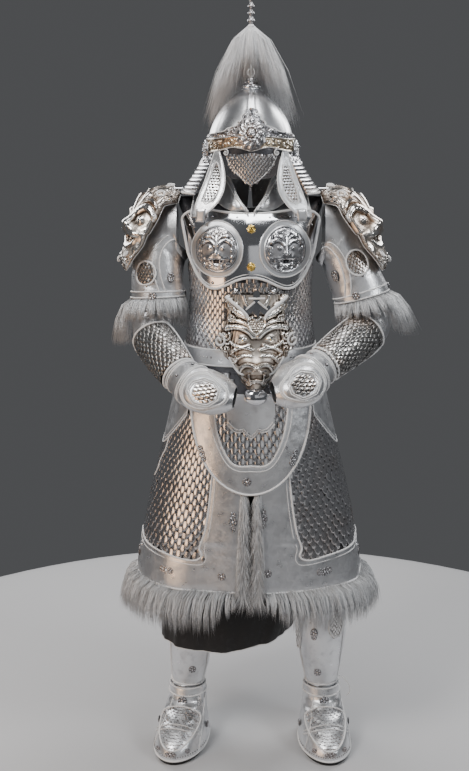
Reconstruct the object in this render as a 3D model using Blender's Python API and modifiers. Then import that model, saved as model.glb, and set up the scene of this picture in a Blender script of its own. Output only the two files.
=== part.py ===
"""Suit of silver scale armour, built as the worn garment it is, hollow and open.

Metres, +Z up. The wearer faces -Y, so the wearer's left side is +X.
The origin lies midway between the shoulders. Heights in the tables are measured
from the boot soles, and level() turns them into Z.
"""
from math import atan2, cos, exp, pi, radians, sin, sqrt

import bmesh
import bpy
from mathutils import Vector

SHOULDER_LEVEL = 1.50     # the origin, above the boot soles
CLOTH = 0.0030            # wall of the scale coat and its skirts
LEATHER = 0.0025          # wall of trims, straps, sleeves and flaps
PLATE = 0.0030            # wall of the metal plates
SQUARENESS = 0.88         # below 1 the body's sections are squarer than an ellipse
STEP = 10                 # degrees between the columns of the coat and skirts

# What lies on the coat starts this far out from its inner face
LAY = 0.0018              # air below a trim that lies on a rounder panel
ON_COAT = CLOTH + LAY
ON_TRIM = ON_COAT + LEATHER + LAY + 0.0004
ON_APRON = ON_TRIM + LEATHER + LAY
PLATE_ON_COAT = CLOTH + 0.0021
ON_PLATE = PLATE_ON_COAT + PLATE + 0.0014

# height, half width, front depth, back depth
BODY = (
    (0.520, 0.310, 0.205, 0.210),
    (0.600, 0.297, 0.200, 0.204),
    (0.714, 0.277, 0.194, 0.194),
    (0.800, 0.257, 0.187, 0.184),
    (0.916, 0.226, 0.177, 0.168),
    (1.020, 0.200, 0.162, 0.146),
    (1.120, 0.177, 0.145, 0.124),
    (1.200, 0.166, 0.140, 0.118),
    (1.300, 0.158, 0.144, 0.122),
    (1.380, 0.164, 0.150, 0.130),
    (1.440, 0.176, 0.146, 0.130),
    (1.500, 0.188, 0.118, 0.108),
    (1.535, 0.193, 0.072, 0.070),
    (1.552, 0.193, 0.018, 0.022),
)
HEAD = (
    (1.580, 0.098, 0.120, 0.100),
    (1.668, 0.110, 0.126, 0.124),
    (1.700, 0.108, 0.124, 0.124),
    (1.728, 0.101, 0.115, 0.117),
    (1.758, 0.087, 0.099, 0.102),
    (1.786, 0.067, 0.076, 0.079),
    (1.810, 0.042, 0.048, 0.050),
    (1.826, 0.017, 0.017, 0.017),
)
NECK = (
    (1.535, 0.187, 0.152, 0.176),
    (1.562, 0.178, 0.146, 0.170),
    (1.590, 0.160, 0.140, 0.160),
    (1.622, 0.139, 0.133, 0.148),
    (1.650, 0.123, 0.129, 0.134),
    (1.6664, 0.1118, 0.1270, 0.1258),
)
COLLAR = (
    (1.485, 0.112, 0.136, 0.088),
    (1.520, 0.094, 0.128, 0.080),
    (1.560, 0.080, 0.106, 0.072),
    (1.605, 0.074, 0.088, 0.068),
)
UNDER = (
    (0.325, 0.180, 0.150, 0.165),
    (0.600, 0.232, 0.170, 0.175),
    (0.880, 0.222, 0.165, 0.160),
    (1.090, 0.1836, 0.1498, 0.1303),
)
# height, sideways shift of the under cloth, which hangs round the right leg
UNDER_SHIFT = ((0.325, -0.068), (0.600, -0.020), (0.880, 0.0), (1.090, 0.0))

# body angle and height of the coat's neckline, before and behind
NECKLINE = ((0, 1.516), (15, 1.520), (30, 1.545))

SILVER_LEATHER = (0.78, 0.79, 0.81, 1.0)
POLISHED = (0.74, 0.75, 0.77, 1.0)
ANTIQUE = (0.52, 0.50, 0.48, 1.0)
WARM_SILVER = (0.60, 0.52, 0.46, 1.0)
SCALES = (0.62, 0.63, 0.66, 1.0)
GOLD = (0.85, 0.62, 0.18, 1.0)
BLACK = (0.02, 0.02, 0.022, 1.0)
WHITE_HAIR = (0.85, 0.85, 0.86, 1.0)
GREY_FUR = (0.60, 0.61, 0.64, 1.0)


def level(height):
    """Z of a height that is measured from the soles."""
    return height - SHOULDER_LEVEL


def read_row(table, height):
    """The table's sizes at a height, straight between its rows."""
    if height <= table[0][0]:
        return table[0][1:]
    for low, high in zip(table, table[1:]):
        if height <= high[0]:
            part = (height - low[0]) / (high[0] - low[0])
            return [a + (b - a) * part for a, b in zip(low[1:], high[1:])]
    return table[-1][1:]


def on_section(table, angle, height, squareness):
    half_width, front, back = read_row(table, height)
    turn = radians(angle)
    across = sin(turn)
    ahead = cos(turn)
    x = half_width * abs(across) ** squareness * (1 if across >= 0 else -1)
    depth = front if ahead >= 0 else back
    y = -depth * abs(ahead) ** squareness * (1 if ahead >= 0 else -1)
    return Vector((x, y, level(height)))


def form_point(table, angle, height, out=0.0, squareness=1.0):
    """A point of a stacked form, moved out along its normal. Angle 0 is the front."""
    small_turn = 1.0
    small_rise = 0.002
    point = on_section(table, angle, height, squareness)
    if out == 0.0:
        return point
    around = on_section(table, angle + small_turn, height, squareness)
    around -= on_section(table, angle - small_turn, height, squareness)
    upward = on_section(table, angle, height + small_rise, squareness)
    upward -= on_section(table, angle, height - small_rise, squareness)
    return point + around.cross(upward).normalized() * out


def body(angle, height, out=0.0):
    return form_point(BODY, angle, height, out, SQUARENESS)


def head(angle, height, out=0.0):
    return form_point(HEAD, angle, height, out)


def neck(angle, height, out=0.0):
    return form_point(NECK, angle, height, out)


def front_angle(x, height):
    """The body angle, in front, whose point has this x."""
    half_width = read_row(BODY, height)[0]
    share = min(1.0, abs(x) / half_width) ** (1 / SQUARENESS)
    turn = atan2(share, sqrt(max(0.0, 1 - share * share))) * 180 / pi
    return turn if x >= 0 else -turn


def steps(first, last, count):
    """count + 1 even values from first to last."""
    return [first + (last - first) * i / count for i in range(count + 1)]


def side_name(name, side):
    return name + ("_left" if side > 0 else "_right")


def clear_scene():
    for old in list(bpy.data.objects):
        bpy.data.objects.remove(old, do_unlink=True)


def new_material(name, colour, metallic, roughness):
    material = bpy.data.materials.new(name)
    material.use_nodes = True
    shader = material.node_tree.nodes["Principled BSDF"]
    shader.inputs["Base Color"].default_value = colour
    shader.inputs["Metallic"].default_value = metallic
    shader.inputs["Roughness"].default_value = roughness
    return material


def new_object(name, mesh, colour, metallic=1.0, roughness=0.35):
    piece = bpy.data.objects.new(name, mesh)
    mesh.materials.append(new_material(name, colour, metallic, roughness))
    bpy.data.collections["suit_of_armour"].objects.link(piece)
    return piece


def mesh_from(name, bm):
    mesh = bpy.data.meshes.new(name)
    bm.to_mesh(mesh)
    bm.free()
    return mesh


def grid_faces(bm, grid, closed):
    """Quads over rows of points. A closed grid joins each row's ends."""
    rows = [[bm.verts.new(point) for point in row] for row in grid]
    columns = len(rows[0])
    last = columns if closed else columns - 1
    for low, high in zip(rows, rows[1:]):
        for i in range(last):
            j = (i + 1) % columns
            bm.faces.new((low[i], low[j], high[j], high[i]))
    return rows


def thicken(piece, wall, inward=False):
    shell = piece.modifiers.new("wall", "SOLIDIFY")
    shell.thickness = wall
    shell.offset = -1 if inward else 1
    return piece


def panel(name, grid, wall, colour, closed=False, flip=False, metallic=1.0, roughness=0.35):
    """A cloth or plate panel: an open grid, given a wall outward."""
    bm = bmesh.new()
    grid_faces(bm, grid, closed)
    if flip:
        bmesh.ops.reverse_faces(bm, faces=bm.faces)
    piece = new_object(name, mesh_from(name, bm), colour, metallic, roughness)
    return thicken(piece, wall)


def strip_grid(place, low_edge, high_edge, rows, out):
    """Rows between two edges of (angle, height), laid on a form at a distance."""
    grid = []
    for row in range(rows + 1):
        part = row / rows
        grid.append([
            place(a + (c - a) * part, b + (d - b) * part, out)
            for (a, b), (c, d) in zip(low_edge, high_edge)
        ])
    return grid


def relief_panel(name, inner, outer, colour, metallic=1.0, roughness=0.35, flip=False):
    """A plain inner grid and a raised outer one, closed along their edges."""
    bm = bmesh.new()
    inside = grid_faces(bm, inner, False)
    bmesh.ops.reverse_faces(bm, faces=bm.faces)
    outside = grid_faces(bm, outer, False)

    def rim(grid):
        right = [row[-1] for row in grid[1:-1]]
        left = [row[0] for row in grid[1:-1]]
        return grid[0] + right + grid[-1][::-1] + left[::-1]

    for k, start in enumerate(rim(inside)):
        end = rim(inside)[(k + 1) % len(rim(inside))]
        outer_start = rim(outside)[k]
        outer_end = rim(outside)[(k + 1) % len(rim(outside))]
        bm.faces.new((start, end, outer_end, outer_start))
    if flip:
        bmesh.ops.reverse_faces(bm, faces=bm.faces)
    return new_object(name, mesh_from(name, bm), colour, metallic, roughness)


def turned(name, profile, place, colour, sides=12, metallic=1.0, roughness=0.3):
    """A turned piece. The profile runs down its outer side, (radius, height)."""
    bm = bmesh.new()
    points = [bm.verts.new((radius, 0, height)) for radius, height in profile]
    for start, end in zip(points, points[1:]):
        bm.edges.new((start, end))
    piece = new_object(name, mesh_from(name, bm), colour, metallic, roughness)
    piece.location = place
    screw = piece.modifiers.new("turn", "SCREW")
    screw.steps = sides
    screw.render_steps = sides
    screw.use_merge_vertices = True
    screw.merge_threshold = 0.0001
    return piece


def coat():
    """Front and back of the scale coat, with neckline and armholes left open."""
    columns = 12
    rows = (1.1206, 1.200, 1.300, 1.370, 1.440, 1.500, 1.535, 1.552)
    neckline = {0: NECKLINE[0][1], 15: NECKLINE[1][1], 30: NECKLINE[2][1]}

    def reach(height):
        """How far round to the side the panel goes: less beside an armhole."""
        if height <= 1.372 or height >= 1.550:
            return 89.6
        return 89.6 - 30 * sin(pi * (height - 1.372) / (1.552 - 1.372)) ** 0.6

    for name, turn in (("coat_front", 0), ("coat_back", 180)):
        grid = []
        for height in rows:
            line = []
            for i in range(columns + 1):
                share = -1 + 2 * i / columns
                top = neckline.get(abs(round(share * 90)), 1.552)
                tall = min(height, top - 0.004 * (1.552 - height))
                line.append(body(turn + share * reach(height), tall))
            grid.append(line)
        panel(name, grid, CLOTH, SCALES, metallic=0.9, roughness=0.4)


def skirt_edge(height):
    """Body angle of the skirt's front edge: the opening widens to the hem."""
    return front_angle(0.012 + 0.026 * (1.05 - height) / 0.53, height)


def skirts():
    """Each half runs from the front opening to the centre back."""
    rows = (0.520, 0.600, 0.714, 0.800, 0.916, 1.020, 1.120)
    for side in (1, -1):
        grid = []
        for height in rows:
            edge = skirt_edge(height)
            angles = [edge] + list(range(2 * STEP, 180, STEP)) + [179.7]
            grid.append([body(side * angle, height) for angle in angles])
        name = side_name("skirt", side)
        panel(name, grid, CLOTH, SCALES, flip=side < 0, metallic=0.9, roughness=0.4)


def skirt_borders():
    """Leather along the opening and then along the hem, with a round inner corner."""
    # angle and height on the outer edge, then on the inner edge
    corner = skirt_edge(0.5206)
    path = [(skirt_edge(h), h, skirt_edge(h) + w, h) for h, w in (
        (0.860, 17), (0.800, 17), (0.740, 17), (0.680, 18), (0.640, 20))]
    path += [(skirt_edge(0.58), 0.580, 23.2, 0.620)]
    path += [(corner, 0.5206, 25.5, 0.607)]
    path += [(angle, 0.5206, angle + 10, 0.604 + (angle - 20) * 0.0004)
             for angle in range(20, 80, STEP)]
    path += [(angle, 0.5206, angle + 5, 0.627) for angle in (80, 90)]
    path += [(angle, 0.5206, angle, 0.626) for angle in list(range(100, 180, STEP)) + [179.4]]
    for side in (1, -1):
        outer = [(side * a, b) for a, b, c, d in path]
        inner = [(side * c, d) for a, b, c, d in path]
        grid = strip_grid(body, outer, inner, 2, ON_COAT + 0.0009)
        panel(side_name("skirt_border", side), grid, LEATHER, SILVER_LEATHER, flip=side < 0)


def belt():
    angles = range(0, 360, 15)
    grid = [[body(a, h, ON_COAT - 0.0006) for a in angles] for h in (1.1212, 1.165)]
    panel("belt", grid, LEATHER, SILVER_LEATHER, closed=True)


def hip_flaps():
    """Leather wings below the belt. Each falls to a point at the side."""
    # angle, height of the lower edge
    edge = ((50, 0.985), (60, 0.946), (70, 0.914), (80, 0.893), (90, 0.888),
            (100, 0.900), (110, 0.924), (120, 0.950), (130, 0.975))
    for side in (1, -1):
        low = [(side * a, h) for a, h in edge]
        high = [(side * a, 1.1203) for a, h in edge]
        grid = strip_grid(body, low, high, 3, ON_COAT)
        panel(side_name("hip_flap", side), grid, LEATHER, SILVER_LEATHER, flip=side < 0)


APRON_TOP = 1.100
APRON_LOW = 0.791
APRON_HALF = 0.148


def apron_depth(x, low, half):
    """Height of a U shaped edge at x."""
    share = min(1.0, abs(x) / half)
    return 1.03 - (1.03 - low) * (1 - share ** 2.6) ** (1 / 2.0)


def apron():
    """Scale apron over the skirt's front, its leather border and cloud trim."""
    inset = 0.006
    columns = 12
    low = []
    high = []
    for x in steps(-(APRON_HALF - inset), APRON_HALF - inset, columns):
        height = min(1.055, apron_depth(x, APRON_LOW + inset, APRON_HALF - inset / 2))
        low.append((front_angle(x, height), height))
        high.append((front_angle(x, APRON_TOP), APRON_TOP))
    grid = strip_grid(body, low, high, 5, ON_TRIM)
    panel("apron_scales", grid, LEATHER, SCALES, metallic=0.9, roughness=0.4)

    outer = []
    inner = []
    for turn in steps(-90, 90, 16):
        x = APRON_HALF * sin(radians(turn))
        height = 1.03 - (1.03 - APRON_LOW) * cos(radians(turn)) ** 0.85
        outer.append((front_angle(x, height), height))
        x = (APRON_HALF - 0.056) * sin(radians(turn))
        height = 1.035 - (1.035 - APRON_LOW - 0.066) * cos(radians(turn)) ** 0.85
        inner.append((front_angle(x, height), height))
    grid = strip_grid(body, outer, inner, 2, ON_APRON)
    panel("apron_border", grid, LEATHER, SILVER_LEATHER)

    cloud = []
    top = []
    for i, x in enumerate(steps(-0.060, 0.060, 12)):
        scallop = 0.010 * abs(sin(pi * i / 4))
        height = 0.948 + 0.45 * abs(x) - scallop
        cloud.append((front_angle(x, height), height))
        top.append((front_angle(x, 1.000), 1.000))
    grid = strip_grid(body, cloud, top, 2, ON_APRON - 0.0008)
    panel("apron_cloud", grid, LEATHER, SILVER_LEATHER)


def under_cloth():
    """Black cloth that hangs below the skirts, round the right leg."""
    grid = []
    for height in (0.325, 0.480, 0.680, 0.880, 1.090):
        shift = read_row(UNDER_SHIFT, height)[0]
        line = []
        for angle in range(0, 360, 18):
            fold = 0.006 * cos(radians(angle * 9)) * (1.09 - height)
            rise = 0.030 * max(0.0, sin(radians(angle))) if height < 0.4 else 0.0
            point = form_point(UNDER, angle, height + rise, -0.0023 + fold, SQUARENESS)
            line.append(point + Vector((shift, 0, 0)))
        grid.append(line)
    panel("under_cloth", grid, 0.0015, BLACK, closed=True, metallic=0.0, roughness=0.9)


def breast_and_back():
    # angle, lower edge, upper edge
    front = ((0, 1.357, 1.5095), (10, 1.350, 1.511), (20, 1.336, 1.514), (30, 1.326, 1.518),
             (40, 1.330, 1.519), (50, 1.350, 1.516), (58, 1.376, 1.510), (65, 1.412, 1.500))
    back = ((0, 1.330, 1.510), (15, 1.326, 1.512), (30, 1.322, 1.517), (45, 1.334, 1.517),
            (57, 1.374, 1.508), (65, 1.412, 1.498))
    # the rows that the coat has there too, so that the plate lies parallel to it
    levels = (1.380, 1.440, 1.4999)
    for name, turn, table in (("breastplate", 0, front), ("backplate", 180, back)):
        whole = [(-a, low, top) for a, low, top in table[:0:-1]] + list(table)
        grid = [[body(turn + a, b, PLATE_ON_COAT) for a, b, c in whole]]
        for k, row_level in enumerate(levels):
            grid.append([body(turn + a, min(max(row_level, b + 0.012 * (k + 1)), c - 0.002 * (3 - k)),
                              PLATE_ON_COAT) for a, b, c in whole])
        grid.append([body(turn + a, c, PLATE_ON_COAT) for a, b, c in whole])
        panel(name, grid, PLATE, POLISHED, roughness=0.15)


def chest_discs():
    """Two embossed discs on the breastplate."""
    centre_x = 0.083
    centre_height = 1.4245
    half_wide = 0.064
    half_tall = 0.0700
    sides = 20
    # share of the radius, height over the plate
    rings = ((1.0, 0.0), (0.92, 0.0035), (0.80, 0.0020), (0.70, 0.0055), (0.30, 0.0110))
    for side in (1, -1):
        bm = bmesh.new()
        grid = []
        for share, raised in rings:
            line = []
            for k in range(sides):
                turn = 2 * pi * k / sides
                x = side * centre_x + half_wide * share * sin(turn)
                height = centre_height - half_tall * share * cos(turn)
                line.append(body(front_angle(x, height), height, ON_PLATE + raised))
            grid.append(line)
        rows = grid_faces(bm, grid, True)
        bm.faces.new(rows[-1])
        name = side_name("chest_disc", side)
        piece = new_object(name, mesh_from(name, bm), ANTIQUE)
        thicken(piece, PLATE)


def chest_knobs():
    """Gold knobs between the discs."""
    radius = 0.0105
    profile = [(radius * cos(radians(t)), 0.8 * radius * sin(radians(t))) for t in (90, 60, 30, 0)]
    profile[0] = (0.0, profile[0][1])
    profile += [(radius * 0.8, -0.0035), (0.0, -0.0035)]
    for name, height in (("chest_knob_top", 1.474), ("chest_knob_low", 1.384)):
        foot = body(0, height, ON_PLATE + 0.0025)
        knob = turned(name, profile, foot, GOLD, sides=12)
        above = body(0, height + 0.01)
        below = body(0, height - 0.01)
        lean = atan2(above.y - below.y, above.z - below.z)
        knob.rotation_euler = (pi / 2 - lean, 0, 0)


def shoulder_straps():
    """Leather from the breastplate over the shoulder to the backplate."""
    half = 0.020
    # height, distance from the coat's inner face, from the plate's edge up
    rise = ((1.500, ON_PLATE + 0.001), (1.516, ON_PLATE + 0.001), (1.530, ON_COAT + 0.002),
            (1.546, ON_COAT + 0.002))
    top = 1.5600
    for side in (1, -1):
        across = [side * 0.129 + x for x in (-half, 0, half)]
        front = [[body(front_angle(x, h), h, out) for x in across] for h, out in rise]
        back = [[body(180 - front_angle(x, h), h, out) for x in across] for h, out in rise]
        middle = [[Vector((x, 0, level(top))) for x in across]]
        name = side_name("shoulder_strap", side)
        panel(name, front + middle + back[::-1], LEATHER, SILVER_LEATHER)


def collar():
    """Two lapels that meet in a V and stand up round the neck."""
    above_coat = CLOTH + 0.0027
    # body angle of the foot, angle and height of the top edge
    table = ((2, 5, 1.522), (15, 25, 1.557), (28, 48, 1.603), (90, 90, 1.604),
             (152, 128, 1.599), (165, 155, 1.595), (178.6, 179, 1.594))
    neckline = {2: 1.5165, 178.6: 1.5165, 90: 1.5580}
    neckline.update({15: 1.520, 165: 1.520, 28: 1.545, 152: 1.545})
    for side in (1, -1):
        feet = []
        tops = []
        for foot_angle, top_angle, top in table:
            foot = body(side * foot_angle, neckline[foot_angle], above_coat)
            if foot_angle == 90:
                foot = Vector((side * 0.090, 0, level(neckline[90])))
            feet.append(foot)
            tops.append(form_point(COLLAR, side * top_angle, top))
        grid = [[foot.lerp(top, part) for foot, top in zip(feet, tops)]
                for part in (0, 0.35, 0.7, 1)]
        panel(side_name("collar", side), grid, LEATHER, SILVER_LEATHER, flip=side < 0)


def helmet():
    bowl = [[head(a, row[0]) for a in range(0, 360, 18)] for row in HEAD[1:]]
    panel("helmet_bowl", bowl, PLATE, POLISHED, closed=True, roughness=0.12)

    # angle, lower edge, upper edge of the brow band
    brow = ((0, 1.672, 1.704), (12, 1.678, 1.706), (24, 1.681, 1.706), (36, 1.676, 1.704),
            (54, 1.670, 1.702), (72, 1.668, 1.702), (90, 1.668, 1.702), (104, 1.670, 1.700))
    whole = [(-a, low, top) for a, low, top in brow[:0:-1]] + list(brow)
    low = [(a, b) for a, b, c in whole]
    high = [(a, c) for a, b, c in whole]
    panel("helmet_brow", strip_grid(head, low, high, 2, PLATE + 0.0016), 0.004, WARM_SILVER)

    # height, half width in degrees of the crest on the forehead
    crest = ((1.708, 25), (1.722, 24), (1.738, 17), (1.752, 14), (1.770, 9))
    grid = []
    for height, half in crest:
        lift = PLATE + 0.0016
        grid.append([head(a, height, lift) for a in steps(-half, half, 6)])
    panel("helmet_crest", grid, 0.005, WARM_SILVER)


def finial_and_plume():
    # radius, height above the helmet's opening: cap, stem and the beads above the plume
    rise = 1.8292
    beads = [(0.0, 2.062), (0.003, 2.058), (0.005, 2.050), (0.003, 2.042), (0.008, 2.034),
             (0.003, 2.026), (0.008, 2.017), (0.004, 2.008), (0.009, 1.999), (0.005, 1.990)]
    stem = [(0.005, 1.858), (0.013, 1.852), (0.009, 1.846), (0.024, 1.838), (0.026, 1.8306),
            (0.024, 1.8292), (0.0, 1.8292)]
    profile = [(radius, height - rise) for radius, height in beads + stem]
    turned("helmet_finial", profile, (0, 0, level(rise)), ANTIQUE, sides=10)

    ball = [(0.0085 * sin(radians(t)), 0.0085 * cos(radians(t))) for t in range(0, 181, 36)]
    ball[0] = (0.0, 0.0085)
    ball[-1] = (0.0, -0.0085)
    turned("helmet_pearl", ball, (0, -0.0235, level(1.8480)), POLISHED, sides=10)

    locks = 22
    stations = []
    for k in range(locks):
        turn = 2 * pi * k / locks
        out = Vector((sin(turn), -cos(turn), 0))
        stations.append((out * 0.0056 + Vector((0, 0, level(1.986))), Vector((0, 0, -1)), out))

    def hang(k):
        turn = 2 * pi * (k + 0.5) / locks
        out = Vector((sin(turn), -cos(turn), 0))
        front = max(0.0, cos(turn))
        width = 0.110 + 0.004 * sin(3.1 * k)
        drop = 0.245 - 0.016 * abs(sin(2.3 * k))
        if front > 0.35:
            width *= 0.46
            drop *= 0.50
        mid = out * width * 0.70 + Vector((0, 0, -drop * 0.40))
        return mid, out * width + Vector((0, 0, -drop))

    fringe("plume", stations, hang, 0.010, 0.006, WHITE_HAIR, closed=True, swell=3.4)


def fringe(name, stations, hang, deep, thick, colour, closed=False, swell=0.75):
    """Locks fused at their roots into a narrow strip.

    A station is (place, the way the strip runs down, the way out). hang(k) gives the
    lock's middle and tip, measured from its root.
    """
    bm = bmesh.new()
    rings = []
    for place, down, out in stations:
        rings.append([bm.verts.new(place + down * d + out * t)
                      for d, t in ((0, 0), (deep, 0), (deep, thick), (0, thick))])
    count = len(rings) if closed else len(rings) - 1
    for k in range(count):
        a = rings[k]
        b = rings[(k + 1) % len(rings)]
        for i, j in ((0, 1), (2, 3), (3, 0)):
            bm.faces.new((a[i], a[j], b[j], b[i]))
        root = (a[1], a[2], b[2], b[1])
        centre = sum((v.co for v in root), Vector()) / 4
        mid, tip = hang(k)
        ring = [bm.verts.new(centre + mid + (v.co - centre) * swell) for v in root]
        for i in range(4):
            j = (i + 1) % 4
            bm.faces.new((root[i], root[j], ring[j], ring[i]))
        end = bm.verts.new(centre + tip)
        for i in range(4):
            bm.faces.new((ring[i], ring[(i + 1) % 4], end))
    if not closed:
        bm.faces.new(rings[0])
        bm.faces.new(rings[-1][::-1])
    bmesh.ops.recalc_face_normals(bm, faces=bm.faces)
    new_object(name, mesh_from(name, bm), colour, metallic=0.0, roughness=0.8)


def face_mail():
    """Mail that hangs from the brow over the face and ends in a point."""
    # height, half width in degrees
    table = ((1.590, 3), (1.606, 13), (1.628, 24), (1.648, 31), (1.6660, 34))
    grid = []
    for height, half in table:
        rise = (height - 1.590) / 0.076
        line = []
        for angle in steps(-half, half, 6):
            arch = 0.0075 * sin(pi * min(1.0, abs(angle) / 36)) + 0.0037
            line.append(head(angle, height + arch * rise, PLATE + 0.0016))
        grid.append(line)
    panel("face_mail", grid, 0.002, SCALES)


def neck_guard():
    """A guard from ear to ear behind, knotted above and ribbed where it flares."""
    angles = steps(64, 296, 14)
    rib_rows = 14
    low_edge = 1.562
    rib_top = 1.640
    heights = [low_edge + (rib_top - low_edge) * k / rib_rows for k in range(rib_rows + 1)]
    heights += [1.652, 1.6664]
    inner = []
    outer = []
    for k, height in enumerate(heights):
        raised = 0.0022 if k % 2 else 0.0
        inner.append([neck(a, height) for a in angles])
        outer.append([neck(a, height, 0.0022 + raised) for a in angles])
    relief_panel("neck_guard", inner, outer, ANTIQUE)


def cheek_flaps():
    """Leaf shaped flaps that hang from the brow and end in a short strap."""
    # height, centre x, half width, y, how much the outer edge turns back
    table = ((1.512, 0.130, 0.009, -0.132, 0.35), (1.530, 0.120, 0.022, -0.130, 0.35),
             (1.562, 0.103, 0.029, -0.124, 0.35), (1.596, 0.092, 0.026, -0.114, 0.40),
             (1.632, 0.087, 0.018, -0.102, 0.60), (1.6713, 0.0850, 0.006, -0.0905, 0.85))
    for side in (1, -1):
        grid = []
        for height, centre, half, y, back in table:
            line = []
            for share in (-1, -0.5, 0, 0.5, 1):
                x = centre + half * share
                line.append(Vector((side * x, y + back * (x - centre), level(height))))
            grid.append(line)
        panel(side_name("cheek_flap", side), grid, LEATHER, SILVER_LEATHER, flip=side < 0)


class Limb:
    """Rings along a path. Each has a centre, two axes across it and two radii."""

    def __init__(self, rows, first_way, last_way=None, across=(0, 1, 0)):
        self.centres = [Vector((x, y, level(h))) for x, y, h, tall, deep in rows]
        self.radii = [(tall, deep) for x, y, h, tall, deep in rows]
        self.frames = []
        last = len(rows) - 1
        across = Vector(across)
        for k in range(last + 1):
            if k == 0:
                way = Vector(first_way)
            elif k == last and last_way:
                way = Vector(last_way)
            else:
                way = self.centres[min(k + 1, last)] - self.centres[k - 1]
            way = way.normalized()
            across = (across - way * across.dot(way)).normalized()
            self.frames.append((way, across, way.cross(across)))

    def point(self, place, angle, out=0.0):
        """A point at a place counted in rings, and at an angle in degrees."""
        low = min(int(place), len(self.centres) - 2)
        part = place - low
        ends = []
        for k in (low, low + 1):
            tall, deep = self.radii[k]
            way, across, upward = self.frames[k]
            turn = radians(angle)
            offset = across * (deep + out) * cos(turn) + upward * (tall + out) * sin(turn)
            ends.append(self.centres[k] + offset)
        return ends[0].lerp(ends[1], part)

    def grid(self, places, angles, out=0.0):
        return [[self.point(p, a, out) for a in angles] for p in places]


# x, y, height, radius up and down, radius front to back; the left arm, at +X
SLEEVE_LEFT = (
    (0.1941, 0.000, 1.4620, 0.0890, 0.0700), (0.2260, -0.004, 1.4460, 0.0680, 0.0690),
    (0.2500, -0.012, 1.4050, 0.0660, 0.0680), (0.2760, -0.020, 1.3450, 0.0680, 0.0690),
    (0.2980, -0.025, 1.2900, 0.0720, 0.0720))
SLEEVE_RIGHT = (
    (-0.1941, 0.000, 1.4620, 0.0890, 0.0700), (-0.2220, -0.004, 1.4440, 0.0660, 0.0690),
    (-0.2400, -0.014, 1.4000, 0.0660, 0.0680), (-0.2460, -0.024, 1.3450, 0.0660, 0.0680),
    (-0.2470, -0.030, 1.2900, 0.0690, 0.0700))
FOREARM_LEFT = (
    (0.2980, -0.025, 1.2900, 0.0691, 0.0691), (0.3150, -0.032, 1.2480, 0.0570, 0.0570),
    (0.3160, -0.056, 1.2150, 0.0520, 0.0520), (0.2900, -0.095, 1.1960, 0.0500, 0.0500),
    (0.2450, -0.140, 1.1720, 0.0480, 0.0480), (0.2000, -0.180, 1.1460, 0.0430, 0.0430),
    (0.1720, -0.205, 1.1300, 0.0400, 0.0400))
FOREARM_RIGHT = (
    (-0.2470, -0.030, 1.2900, 0.0662, 0.0672), (-0.2570, -0.036, 1.2480, 0.0560, 0.0560),
    (-0.2600, -0.060, 1.2130, 0.0520, 0.0520), (-0.2480, -0.100, 1.1820, 0.0500, 0.0500),
    (-0.2220, -0.145, 1.1520, 0.0480, 0.0480), (-0.1920, -0.187, 1.1220, 0.0430, 0.0430),
    (-0.1720, -0.212, 1.1060, 0.0400, 0.0400))
GAUNTLET_LEFT = (
    (0.1810, -0.197, 1.1350, 0.0440, 0.0440), (0.1560, -0.222, 1.1220, 0.0520, 0.0480),
    (0.1300, -0.246, 1.1060, 0.0640, 0.0460), (0.1000, -0.263, 1.0930, 0.0620, 0.0420),
    (0.0720, -0.272, 1.0860, 0.0460, 0.0340), (0.0540, -0.276, 1.0840, 0.0300, 0.0230))
GAUNTLET_RIGHT = (
    (-0.1790, -0.203, 1.1115, 0.0442, 0.0442), (-0.1530, -0.232, 1.0960, 0.0520, 0.0480),
    (-0.1240, -0.252, 1.0840, 0.0640, 0.0460), (-0.0900, -0.267, 1.0760, 0.0620, 0.0420),
    (-0.0600, -0.275, 1.0720, 0.0460, 0.0340), (-0.0420, -0.278, 1.0700, 0.0300, 0.0230))

ROUND = range(0, 360, 30)


def arms():
    sets = ((1, SLEEVE_LEFT, FOREARM_LEFT, GAUNTLET_LEFT, (0.25, -0.05, -0.96)),
            (-1, SLEEVE_RIGHT, FOREARM_RIGHT, GAUNTLET_RIGHT, (0.04, -0.08, -1.0)))
    for side, sleeve_rows, forearm_rows, gauntlet_rows, hem_way in sets:
        sleeve = Limb(sleeve_rows, (side, 0, 0), hem_way)
        forearm = Limb(forearm_rows, hem_way, across=sleeve.frames[-1][1])
        wrist_way, wrist_across, wrist_up = forearm.frames[-1]
        gauntlet = Limb(gauntlet_rows, wrist_way, across=wrist_across)
        panel(side_name("sleeve", side), sleeve.grid(range(5), ROUND), LEATHER,
              SILVER_LEATHER, closed=True)
        panel(side_name("forearm", side), forearm.grid(range(7), ROUND), 0.002, BLACK,
              closed=True, metallic=0.0, roughness=0.8)
        sleeve_fringe(side, sleeve, forearm, hem_way)
        vambrace(side, forearm)
        panel(side_name("gauntlet", side), gauntlet.grid(range(6), ROUND), LEATHER,
              SILVER_LEATHER, closed=True)


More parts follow.
